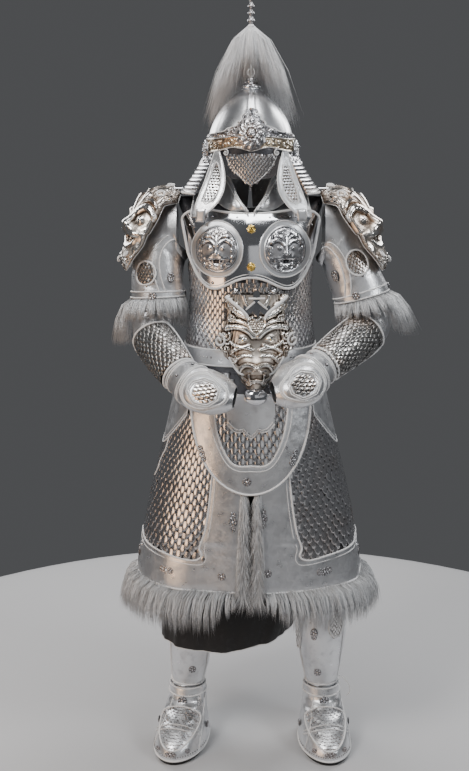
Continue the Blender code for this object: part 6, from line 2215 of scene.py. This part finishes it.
def make_hem_fringes():
    """Two layers of long fur: short pale hairs above, grey locks below."""
    settings = bpy.context.scene.armour_fur
    for side in (1, -1):
        chance = np.random.default_rng(71 + side)
        front, away, hem, out = hem_lines(side)
        count = settings.hem_strands
        place = chance.random(count)
        row = np.clip((place * (len(hem) - 1)).astype(int), 0, len(hem) - 2)
        root = hem[row] + (hem[row + 1] - hem[row]) * (place * (len(hem) - 1) - row)[:, None]
        normal = out[row]
        drop = chance.random(count)
        root = root + np.stack([0 * drop, 0 * drop, 0.006 - 0.016 * drop],
                               -1) + normal * 0.004 * (chance.random(count)[:, None])
        locks = 62
        lock = np.round(place * locks)
        toward = (lock / locks - place) * 0.92
        shift = np.clip(row + toward * (len(hem) - 1), 0, len(hem) - 1).astype(int)
        gather = hem[shift] - hem[row]
        seed_lock = np.sin(lock * 12.9898) * 43758.5453
        chance_lock = seed_lock - np.floor(seed_lock)
        length = 0.098 + 0.022 * chance_lock - 0.030 * chance.random(count) ** 2
        length *= np.clip(0.30 + place * 12, 0.30, 1)
        lift = 0.047 - 0.024 * chance_lock
        spread = chance.random(count)
        tip = normal * (lift * (0.7 + 0.5 * spread))[:, None] + gather * 0.95
        tip[:, 2] -= length
        tip += 0.0035 * chance.standard_normal((count, 3))
        bend = normal * (0.030 + 0.022 * spread)[:, None] + gather * 0.25
        bend[:, 2] -= length * 0.12
        tones = ramp(0.46 + 0.30 * (spread - 0.5) + 0.16 * chance.standard_normal(count) + 0.45
                     * (chance_lock - 0.5))
        hem_roots, hem_bend, hem_tip, hem_tones = root, bend, tip, tones

        count = settings.hem_strands // 3
        place = chance.random(count)
        row = np.clip((place * (len(front) - 1)).astype(int), 0, len(front) - 2)
        root = front[row] + (front[row + 1] - front[row]) * (place * (len(front) - 1) - row)[:, None]
        normal = away[row]
        root = root + normal * 0.006 * chance.random(count)[:, None]
        root[:, 0] += side * 0.004 - side * 0.008 * chance.random(count)
        lock = np.round(place * 13)
        seed_lock = np.sin(lock * 7.13 + side) * 9375.21
        chance_lock = seed_lock - np.floor(seed_lock)
        length = 0.062 + 0.016 * chance_lock
        wide = 0.6 + 0.7 * place
        aim = np.stack([side * (-0.040 + 0.058 * chance.random(count)) * wide,
                        (-0.014 - 0.014 * chance.random(count)) * wide, -length], -1)
        aim[:, 2] += (lock / 13 - place) * 0.10
        aim += 0.003 * chance.standard_normal((count, 3))
        bend = np.stack([-side * 0.018 * wide, -0.026 * np.clip(place * 8, 0.25, 1), -length * 0.10], -1)
        tones = ramp(0.50 + 0.22 * chance.standard_normal(count))
        whole = strands(side_name("hem_fur", side), np.concatenate([hem_roots, root]),
                        (np.concatenate([hem_bend, bend]), np.concatenate([hem_tip, aim])), "grey_fur",
                        0.0017, 4, 73,
                        np.concatenate([hem_tones, tones]))
        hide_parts(side_name("hem_fringe", side))
        skin = hem[::6]
        low = skin + np.array((0, 0, -0.012))
        shell(side_name("hem_fur_band", side), np.stack([skin + out[::6] * 0.003, low + out[::6] * 0.003]),
              np.stack([skin + out[::6] * 0.0010, low + out[::6] * 0.0010]), "grey_fur", tone=0.25)


def make_sleeve_fringes():
    settings = bpy.context.scene.armour_fur
    for side, arm in ARMS.items():
        chance = np.random.default_rng(81 + side)
        sleeve = arm.sleeve
        forearm = arm.forearm
        down = unit(np.array(arm.hem_way, float))
        forward = unit(forearm.centres[4] - forearm.centres[1])
        count = settings.sleeve_strands
        turn = 360 * chance.random(count)
        edge = sleeve.at(np.full(count, 4.0), turn, 0.001)
        out = unit(edge - sleeve.centres[4])
        root = edge + down * (0.001 + 0.010 * chance.random(count))[:,
            None] + out * (0.003 * chance.random(count))[:, None]
        outer = np.clip(out[:, 0] * side, 0, None)
        ahead = np.clip(out.dot(forward), 0, None)
        lock = np.round(turn / 360 * 26)
        seed_lock = np.sin(lock * 5.71 + side) * 7313.7
        chance_lock = seed_lock - np.floor(seed_lock)
        length = 0.084 + 0.034 * outer + 0.018 * (chance_lock - 0.5)
        spread = 0.006 + 0.044 * outer ** 1.5
        short = ahead > 0.2
        inward = np.clip(-out[:, 0] * side, 0, None)
        length = np.where(short, 0.056 - 0.016 * ahead, length)
        spread = np.where(short, (0.034 + 0.016 * ahead) * (1 - inward), spread)
        loose = chance.random(count)
        gather = (lock / 26 * 360 - turn) * 0.95
        goal = sleeve.at(np.full(count, 4.0), turn + gather, 0.001)
        tip = (goal - edge) + out * (spread * (0.55 + 0.6 * loose))[:, None] + down * length[:, None]
        tip += 0.0030 * chance.standard_normal((count, 3))
        bend = out * (spread * 0.62 + 0.008 * (1 - ahead))[:, None] + down * (length * 0.05)[:, None]
        tones = ramp(0.52 + 0.55 * (chance_lock - 0.5) + 0.16 * chance.standard_normal(count))
        fur = strands(side_name("sleeve_fur", side), root, (bend, tip), "grey_fur", 0.0018, 4, 83, tones)
        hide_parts(side_name("sleeve_fringe", side))


# Legs

def make_greaves():
    angle = round_row(360, 60)
    place = grid_column(0, 4, 45)
    for side, limb in SHINS.items():
        at = limb.along
        folds = ((200, 2.6, 60, 0.10, 0.0, 0.0016), (160, 3.1, 60, 0.09, 0.004, -0.0014),
                 (240, 1.6, 40, 0.14, 0.0, 0.0014),
                 (130, 0.9, 40, 0.12, 0.0, -0.0012), (30, 2.0, 90, 0.12, 0.0, 0.0016))
        lift = creases(angle, place, folds) + 0.0008 * np.sin(np.radians(angle) * 3 + place * 3)
        tube = patch(side_name("greave_leather", side), at, angle, place, 0.0, LEATHER, "silver_leather",
                     lift, closed=True, tone=0.6)
        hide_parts(side_name("greave", side))
        ring = np.linspace(0, 360, 121)[:-1]
        bands = [at(ring, np.full(120, p), LEATHER + 0.0012) for p in (0.03, 2.95, 3.94)]
        front = 180
        for turn in (front - 62, front + 62, 0):
            down = np.linspace(0.05, 3.9, 60)
            bands.append(at(np.full(60, turn) + 5 * np.sin(down), down, LEATHER + 0.0010))
        hoops = tubes(side_name("greave_piping", side), bands[:3], 0.0020, closed=True)
        seams = tubes(side_name("greave_seams", side), bands[3:], 0.0014)
        if side > 0:
            ovals = ((262, 0.88, 26, 0.62), (146, 0.50, 20, 0.42))
            spots = [(200, 0.74, 1, 1.3), (200, 0.88, 0.8, 0.8), (194, 2.18, 1, 1)]
        else:
            ovals = ((228, 0.58, 26, 0.45), (140, 0.75, 20, 0.50))
            spots = [(170, 2.04, 1, 1), (186, 0.62, 1, 1.3), (186, 0.76, 0.8, 0.8)]
        for k, (turn, where, half_u, half_v) in enumerate(ovals):
            window(side_name("greave_window", side) + "_" + str(k + 1), limb, turn, where, half_u, half_v,
                   0.0095,
                   LEATHER + 0.0006, 91 + k)
        bosses = studs(side_name("greave_medallions", side), at, spots, LEATHER + 0.0022, "medallion", 0.022,
                       "antique_silver", step_v=0.02)


BOOT_ROWS = np.array((
    (0.000, -0.068, 0.066, 0.128), (0.012, -0.068, 0.074, 0.134), (0.045, -0.062, 0.073, 0.128),
    (0.080, -0.040, 0.064, 0.104), (0.118, -0.006, 0.055, 0.068), (0.1600, 0.000, 0.0521, 0.0521)))
BOOTS = {1: (0.210, 4), -1: (-0.178, 12)}


def boot_at(side, turn, height, out=0.0):
    """A point of a boot. turn is 0 at the toe, 90 on the wearer's left."""
    turn, height, out = grids(turn, height, out)
    row = smooth_rows(BOOT_ROWS[:, 0], BOOT_ROWS[:, 1:], height)
    a = np.radians(turn)
    wide = row[..., 1] + out
    long = row[..., 2] + out
    waist = 1 - 0.045 * bell(np.abs(((turn + 180) % 360) - 180) - 100, 26) * ramp(1 - height / 0.06)
    x = wide * waist * np.sin(a)
    y = row[..., 0] - long * np.cos(a)
    place, toe_out = BOOTS[side]
    spin = radians(side * toe_out)
    return np.stack([x * cos(spin) - y * sin(spin) + place, x * sin(spin) + y * cos(spin) + 0.020,
                     level(height)], -1)


def make_boots():
    turn = round_row(360, 72)
    height = grid_column(0.0105, 0.16, 41)
    for side in (1, -1):
        def at(u, v, out=0.0, side=side):
            return boot_at(side, u, v, out)
        off = np.abs((turn + 180) % 360 - 180)
        instep = bell(off - 30, 40)
        folds = 0.0026 * np.sin((height - 0.05) * 2 * pi / 0.020 + 0.8
                                * np.sin(np.radians(turn) * 2)) * bell(height - 0.098, 0.026) * instep
        upper_out = at(turn, height, folds - 0.0008)
        upper_in = at(turn, height, folds - 0.0036)
        upper = shell(side_name("boot_leather", side), upper_out, upper_in, "silver_leather", closed=True,
                      tone=0.55)
        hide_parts(side_name("boot", side))
        rings = grid_column(1, 0.02, 5)
        edge = boot_at(side, turn, np.full(turn.shape, 0.004), 0.0)
        middle = edge.mean(1, keepdims=True)
        flat = middle + (edge - middle) * rings[..., None]
        top = flat + np.array((0, 0, 0.0065))
        flat[..., 2] = level(0.0)
        shell(side_name("boot_sole", side), top, flat, "black_cloth", closed=True)
        welt_turn = turn[0]
        tubes(side_name("boot_welt", side), [at(welt_turn, np.full(len(welt_turn), 0.0135), 0.0002)],
              0.0026, closed=True)
        tubes(side_name("boot_cuff", side), [at(welt_turn, np.full(len(welt_turn), 0.1580), -0.0010),
                                             at(welt_turn, np.full(len(welt_turn), 0.1380), 0.0006)],
                                             0.0022, closed=True)
        lines = []
        for aim in (-58, 58):
            down = np.linspace(0.020, 0.135, 40)
            lines.append(at(aim + 26 * (down - 0.02) / 0.12, down, 0.0006))
        vamp = np.linspace(-66, 66, 60)
        lines.append(at(vamp, 0.088 - 0.030 * (np.abs(vamp) / 66) ** 2, 0.0008))
        lines.append(at(vamp, 0.081 - 0.030 * (np.abs(vamp) / 66) ** 2, 0.0008))
        tubes(side_name("boot_seams", side), lines, 0.0015)
        trial = np.linspace(0.040, 0.116, 200)
        steps = np.linalg.norm(np.diff(at(np.zeros(200), trial), axis=0), axis=1)
        walked = np.concatenate([[0], np.cumsum(steps)])
        pitch = 0.0116
        spots = []
        for k, way in enumerate(np.arange(0.003, walked[-1] - 0.003, 0.78 * pitch)):
            tall = np.interp(way, walked, trial)
            radius = smooth_rows(BOOT_ROWS[:, 0], BOOT_ROWS[:, 1:], np.array([tall]))[0, 1]
            reach = 0.054 * np.sqrt(max(0.0, 1 - (2 * way / walked[-1] - 1) ** 2))
            for place in (np.arange(-5, 6) + 0.5 * (k % 2)) * pitch:
                if abs(place) < reach:
                    spots.append((np.degrees(np.arcsin(place / radius)), tall + 0.004))
        scale_field(side_name("boot_scales", side), at, spots, 0.0006, 0.0106, 0.0128,
                    "bright_scales", seed=97)
        loop = np.linspace(0, 2 * pi, 80)[:-1]
        loop_tall = np.interp((1 - np.cos(loop)) / 2 * walked[-1], walked, trial)
        loop_radius = smooth_rows(BOOT_ROWS[:, 0], BOOT_ROWS[:, 1:], loop_tall)[:, 1]
        loop_turn = np.degrees(np.arcsin(np.minimum(0.99, 0.056 * np.sin(loop) / loop_radius)))
        tubes(side_name("boot_oval", side), [at(loop_turn, loop_tall, 0.0016)], 0.0026, closed=True)
        spots = [(0, 0.1280, 1.25, 1.25), (88, 0.060, 0.9, 0.9), (-88, 0.060, 0.9, 0.9), (180, 0.115, 1, 1),
                 (0, 0.0330, 1.5, 0.8), (34, 0.0350, 0.7, 0.7), (-34, 0.0350, 0.7, 0.7)]
        studs(side_name("boot_medallions", side), at, spots, 0.0012, "medallion", 0.022, "antique_silver")
        pearls = [(a, 0.0240) for a in np.arange(-80, 81, 5.0)]
        studs(side_name("boot_beads", side), at, pearls, 0.0, "dome", 0.0042, "antique_silver")


def make_laces():
    """The free ends of two ties, each a thin round cord."""
    table = {
        "hip_lace_cord": (BODY.at([-70, -71, -76, -78, -84], [0.9125, 0.880, 0.850, 0.820, 0.795], 0.0056),
                          "hip_lace"),
        "shin_lace_cord": (np.array([(x, y, level(h)) for x, y, h in (
            (0.2560, 0.002, 0.186), (0.2720, -0.006, 0.180), (0.2860, -0.012, 0.165),
            (0.2910, -0.014, 0.143), (0.2800, -0.016, 0.130))]), "shin_lace"),
    }
    for name, (route, node) in table.items():
        keys = np.arange(len(route))
        line = smooth_rows(keys, route, np.linspace(0, len(route) - 1, 60))
        cord = tubes(name, [line], 0.0015, "white_cord", sides=10)
        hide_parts(node)
        tuple(line[0])
        [tuple(point) for point in line]


# Stage

def make_stage():
    scene = bpy.context.scene
    look = scene.armour_stage
    floor = level(0.0)
    start_material(FLOOR_FINISH, (0.50, 0.50, 0.51, 1.0), 0.0, 0.75)
    profile = fine_profile(((1.30, 0.0), (1.55, 0.0), (1.585, -0.004), (1.60, -0.020), (1.60, -0.05)), 12)
    objects = [turned_piece("floor", profile, (0, 0, floor), FLOOR_FINISH, 96)]
    lights = (
        ("key_light", (-2.2, -2.6, 2.4), (0.0, 0.0, -0.1), 1.3, 1.0, (1.0, 0.985, 0.96)),
        ("fill_light", (2.8, -2.0, 1.3), (0.0, 0.0, -0.2), 1.0, 0.42, (0.96, 0.98, 1.0)),
        ("top_light", (0.2, -0.6, 2.9), (0.0, 0.0, 0.0), 1.6, 0.55, (1.0, 1.0, 1.0)),
        ("rim_light", (1.8, 1.9, 1.4), (0.0, 0.0, -0.2), 1.6, 0.55, (1.0, 1.0, 1.0)),
        ("back_light", (-1.9, 2.2, 1.0), (0.0, 0.0, -0.3), 1.8, 0.55, (1.0, 1.0, 1.0)),
        ("front_card", (0.8, -3.8, 0.1), (0.0, 0.0, -0.5), 2.2, 0.06, (1.0, 1.0, 1.0)),
        ("warm_card", (-1.6, -1.3, -0.7), (0.0, 0.0, -0.4), 1.0, 0.09, (1.0, 0.66, 0.42)),
    )
    for name, place, aim, size, share, colour in lights:
        data = bpy.data.lights.new(name, "AREA")
        data.shape = "SQUARE"
        data.size = size
        data.energy = look.light * share
        data.color = colour
        lamp = bpy.data.objects.new(name, data)
        scene.collection.objects.link(lamp)
        lamp.visible_camera = False
        lamp.location = place
        lamp.rotation_euler = (Vector(aim) - Vector(place)).to_track_quat("-Z", "Y").to_euler()
        objects.append(lamp)
    world = bpy.data.worlds.new("studio")
    scene.world = world
    world.use_nodes = True
    background = world.node_tree.nodes["Background"]
    background.inputs["Color"].default_value = (0.80, 0.82, 0.86, 1.0)
    background.inputs["Strength"].default_value = look.ambient
    camera = bpy.data.cameras.new("camera")
    camera.sensor_fit = "VERTICAL"
    camera.sensor_height = 36.0
    camera.sensor_width = 36.0
    camera.lens = 54.4
    eye = bpy.data.objects.new("camera", camera)
    eye.location = (-0.0425, -3.118, 0.21)
    eye.rotation_euler = (radians(90 - 12.1), 0.0, 0.0)
    scene.collection.objects.link(eye)
    scene.camera = eye


# Settings

class ArmourColours(bpy.types.PropertyGroup):
    """Colours of the suit."""
    leather: bpy.props.FloatVectorProperty(
        name="Leather", description="Colour of the silver faced leather", subtype="COLOR", size=3,
        default=(0.82, 0.83, 0.85), min=0.0, max=1.0)
    silver: bpy.props.FloatVectorProperty(
        name="Silver", description="Colour of the raised silver", subtype="COLOR", size=3,
        default=(0.83, 0.84, 0.87), min=0.0, max=1.0)
    warm: bpy.props.FloatVectorProperty(
        name="Warm wash", description="Brown wash over the cast relief", subtype="COLOR", size=3,
        default=(0.42, 0.27, 0.17), min=0.0, max=1.0)
    recess: bpy.props.FloatVectorProperty(
        name="Recess", description="Dark colour left in the hollows", subtype="COLOR", size=3,
        default=(0.035, 0.035, 0.04), min=0.0, max=1.0)
    fur: bpy.props.FloatVectorProperty(
        name="Fur", description="Middle grey of the fur", subtype="COLOR", size=3,
        default=(0.93, 0.94, 0.96), min=0.0, max=1.0)


class ArmourScales(bpy.types.PropertyGroup):
    """Sizes of the scales."""
    coat_count: bpy.props.IntProperty(
        name="Coat scales", description="Scales in one row round the coat", default=60, min=20, max=120)
    skirt_count: bpy.props.IntProperty(
        name="Skirt scales", description="Scales in one row round the skirt", default=70, min=20, max=120)
    apron_pitch: bpy.props.FloatProperty(
        name="Apron pitch", description="Width of one scale of the apron", default=0.020, min=0.008, max=0.06,
        unit="LENGTH", subtype="DISTANCE")


class ArmourFur(bpy.types.PropertyGroup):
    """How full the fur and the plume are."""
    hem_strands: bpy.props.IntProperty(
        name="Hem hairs", description="Hairs round each half of the hem", default=2700, min=100, max=20000)
    sleeve_strands: bpy.props.IntProperty(
        name="Sleeve hairs", description="Hairs round each sleeve", default=2100, min=100, max=20000)
    plume_strands: bpy.props.IntProperty(
        name="Plume hairs", description="Hairs of the plume", default=4200, min=100, max=20000)


class ArmourStage(bpy.types.PropertyGroup):
    """Light of the setting."""
    light: bpy.props.FloatProperty(
        name="Light", description="Power of the main light", default=105.0, min=0.0, max=5000.0, unit="POWER")
    ambient: bpy.props.FloatProperty(
        name="Ambient", description="Strength of the light from all round", default=0.10, min=0.0, max=5.0,
        subtype="FACTOR")


class ARMOUR_OT_materials(bpy.types.Operator):
    """Make every material of the suit"""
    bl_idname = "armour.materials"
    bl_label = "Make materials"
    bl_options = {"REGISTER", "UNDO"}

    def execute(self, context):
        make_materials()
        return {"FINISHED"}


class ARMOUR_OT_coat(bpy.types.Operator):
    """Cover the coat with scales"""
    bl_idname = "armour.coat"
    bl_label = "Dress the coat"
    bl_options = {"REGISTER", "UNDO"}

    def execute(self, context):
        make_coat()
        return {"FINISHED"}


class ARMOUR_OT_skirts(bpy.types.Operator):
    """Cover both skirts with rows of scales"""
    bl_idname = "armour.skirts"
    bl_label = "Dress the skirts"
    bl_options = {"REGISTER", "UNDO"}

    def execute(self, context):
        make_skirts()
        return {"FINISHED"}


class ARMOUR_OT_skirt_borders(bpy.types.Operator):
    """Lay the leather borders along the skirts"""
    bl_idname = "armour.skirt_borders"
    bl_label = "Lay the skirt borders"
    bl_options = {"REGISTER", "UNDO"}

    def execute(self, context):
        make_skirt_borders()
        return {"FINISHED"}


class ARMOUR_OT_waist(bpy.types.Operator):
    """Lay the belt and the flaps over the hips"""
    bl_idname = "armour.waist"
    bl_label = "Lay the belt and hip flaps"
    bl_options = {"REGISTER", "UNDO"}

    def execute(self, context):
        make_belt()
        make_hip_flaps()
        return {"FINISHED"}


class ARMOUR_OT_apron(bpy.types.Operator):
    """Hang the apron with its scales, border and cloud"""
    bl_idname = "armour.apron"
    bl_label = "Hang the apron"
    bl_options = {"REGISTER", "UNDO"}

    def execute(self, context):
        make_apron()
        return {"FINISHED"}


class ARMOUR_OT_under_cloth(bpy.types.Operator):
    """Hang the black cloth below the skirts"""
    bl_idname = "armour.under_cloth"
    bl_label = "Hang the under cloth"
    bl_options = {"REGISTER", "UNDO"}

    def execute(self, context):
        make_under_cloth()
        return {"FINISHED"}


class ARMOUR_OT_plates(bpy.types.Operator):
    """Set the plates, discs and knobs on the chest and back"""
    bl_idname = "armour.plates"
    bl_label = "Set the plates"
    bl_options = {"REGISTER", "UNDO"}

    def execute(self, context):
        make_plates()
        make_chest_discs()
        make_chest_knobs()
        return {"FINISHED"}


class ARMOUR_OT_collar(bpy.types.Operator):
    """Lay the shoulder straps and the collar"""
    bl_idname = "armour.collar"
    bl_label = "Lay the straps and collar"
    bl_options = {"REGISTER", "UNDO"}

    def execute(self, context):
        make_straps_and_collar()
        return {"FINISHED"}


class ARMOUR_OT_helmet(bpy.types.Operator):
    """Make the helmet's bowl, brow and crest"""
    bl_idname = "armour.helmet"
    bl_label = "Make the helmet"
    bl_options = {"REGISTER", "UNDO"}

    def execute(self, context):
        make_helmet()
        return {"FINISHED"}


class ARMOUR_OT_finial(bpy.types.Operator):
    """Turn the beaded rod on the helmet"""
    bl_idname = "armour.finial"
    bl_label = "Turn the finial"
    bl_options = {"REGISTER", "UNDO"}

    def execute(self, context):
        make_finial()
        return {"FINISHED"}


class ARMOUR_OT_plume(bpy.types.Operator):
    """Hang the plume from the rod"""
    bl_idname = "armour.plume"
    bl_label = "Hang the plume"
    bl_options = {"REGISTER", "UNDO"}

    def execute(self, context):
        make_plume()
        return {"FINISHED"}


class ARMOUR_OT_face(bpy.types.Operator):
    """Hang the mail over the face, the neck guard and the cheek flaps"""
    bl_idname = "armour.face"
    bl_label = "Hang the face and neck pieces"
    bl_options = {"REGISTER", "UNDO"}

    def execute(self, context):
        make_face_mail()
        make_neck_guard()
        make_cheek_flaps()
        return {"FINISHED"}


class ARMOUR_OT_sleeves(bpy.types.Operator):
    """Sew the leather sleeves"""
    bl_idname = "armour.sleeves"
    bl_label = "Sew the sleeves"
    bl_options = {"REGISTER", "UNDO"}

    def execute(self, context):
        make_sleeves()
        return {"FINISHED"}


class ARMOUR_OT_forearms(bpy.types.Operator):
    """Make the forearms with their scale plates"""
    bl_idname = "armour.forearms"
    bl_label = "Make the forearms"
    bl_options = {"REGISTER", "UNDO"}

    def execute(self, context):
        make_forearms()
        return {"FINISHED"}


class ARMOUR_OT_gauntlets(bpy.types.Operator):
    """Make both gauntlets"""
    bl_idname = "armour.gauntlets"
    bl_label = "Make the gauntlets"
    bl_options = {"REGISTER", "UNDO"}

    def execute(self, context):
        make_gauntlets()
        return {"FINISHED"}


class ARMOUR_OT_pauldrons(bpy.types.Operator):
    """Cast the beast heads over the shoulders"""
    bl_idname = "armour.pauldrons"
    bl_label = "Cast the pauldrons"
    bl_options = {"REGISTER", "UNDO"}

    def execute(self, context):
        make_pauldrons()
        return {"FINISHED"}


class ARMOUR_OT_belly_guard(bpy.types.Operator):
    """Cast the mask over the belly and its blade"""
    bl_idname = "armour.belly_guard"
    bl_label = "Cast the belly guard"
    bl_options = {"REGISTER", "UNDO"}

    def execute(self, context):
        make_belly_guard()
        return {"FINISHED"}


class ARMOUR_OT_fur(bpy.types.Operator):
    """Grow the fur at the hem and the sleeves"""
    bl_idname = "armour.fur"
    bl_label = "Grow the fur"
    bl_options = {"REGISTER", "UNDO"}

    def execute(self, context):
        make_hem_fringes()
        make_sleeve_fringes()
        return {"FINISHED"}


class ARMOUR_OT_legs(bpy.types.Operator):
    """Sew the greaves and boots"""
    bl_idname = "armour.legs"
    bl_label = "Sew the greaves and boots"
    bl_options = {"REGISTER", "UNDO"}

    def execute(self, context):
        make_greaves()
        make_boots()
        return {"FINISHED"}


class ARMOUR_OT_laces(bpy.types.Operator):
    """Lay the two free lace ends"""
    bl_idname = "armour.laces"
    bl_label = "Lay the laces"
    bl_options = {"REGISTER", "UNDO"}

    def execute(self, context):
        make_laces()
        return {"FINISHED"}


class ARMOUR_OT_stage(bpy.types.Operator):
    """Set the floor, lights and camera"""
    bl_idname = "armour.stage"
    bl_label = "Set the stage"
    bl_options = {"REGISTER", "UNDO"}

    def execute(self, context):
        make_stage()
        return {"FINISHED"}


STEPS = (
    ARMOUR_OT_materials, ARMOUR_OT_coat, ARMOUR_OT_skirts, ARMOUR_OT_skirt_borders, ARMOUR_OT_waist,
    ARMOUR_OT_apron, ARMOUR_OT_under_cloth, ARMOUR_OT_plates, ARMOUR_OT_collar, ARMOUR_OT_helmet,
    ARMOUR_OT_finial, ARMOUR_OT_plume, ARMOUR_OT_face, ARMOUR_OT_sleeves, ARMOUR_OT_forearms,
    ARMOUR_OT_gauntlets, ARMOUR_OT_pauldrons, ARMOUR_OT_belly_guard, ARMOUR_OT_fur, ARMOUR_OT_legs,
    ARMOUR_OT_laces, ARMOUR_OT_stage)
GROUPS = {
    "armour_colours": ArmourColours,
    "armour_scales": ArmourScales,
    "armour_fur": ArmourFur,
    "armour_stage": ArmourStage,
}


class ARMOUR_PT_panel(bpy.types.Panel):
    """Sizes, colours and steps of the suit"""
    bl_idname = "ARMOUR_PT_panel"
    bl_label = "Suit of Armour"
    bl_space_type = "VIEW_3D"
    bl_region_type = "UI"
    bl_category = "Armour"

    def draw(self, context):
        for group in GROUPS:
            box = self.layout.box()
            settings = getattr(context.scene, group)
            for name in settings.__annotations__:
                box.prop(settings, name)
        for step in STEPS:
            self.layout.operator(step.bl_idname)


CLASSES = (*GROUPS.values(), *STEPS, ARMOUR_PT_panel)


def register():
    for cls in CLASSES:
        bpy.utils.register_class(cls)
    for name, group in GROUPS.items():
        setattr(bpy.types.Scene, name, bpy.props.PointerProperty(type=group))


def unregister():
    for name in GROUPS:
        delattr(bpy.types.Scene, name)
    for cls in reversed(CLASSES):
        bpy.utils.unregister_class(cls)


def main():
    register()
    for step in STEPS:
        group, name = step.bl_idname.split(".")
        getattr(getattr(bpy.ops, group), name)()


if __name__ == "__main__":
    main()
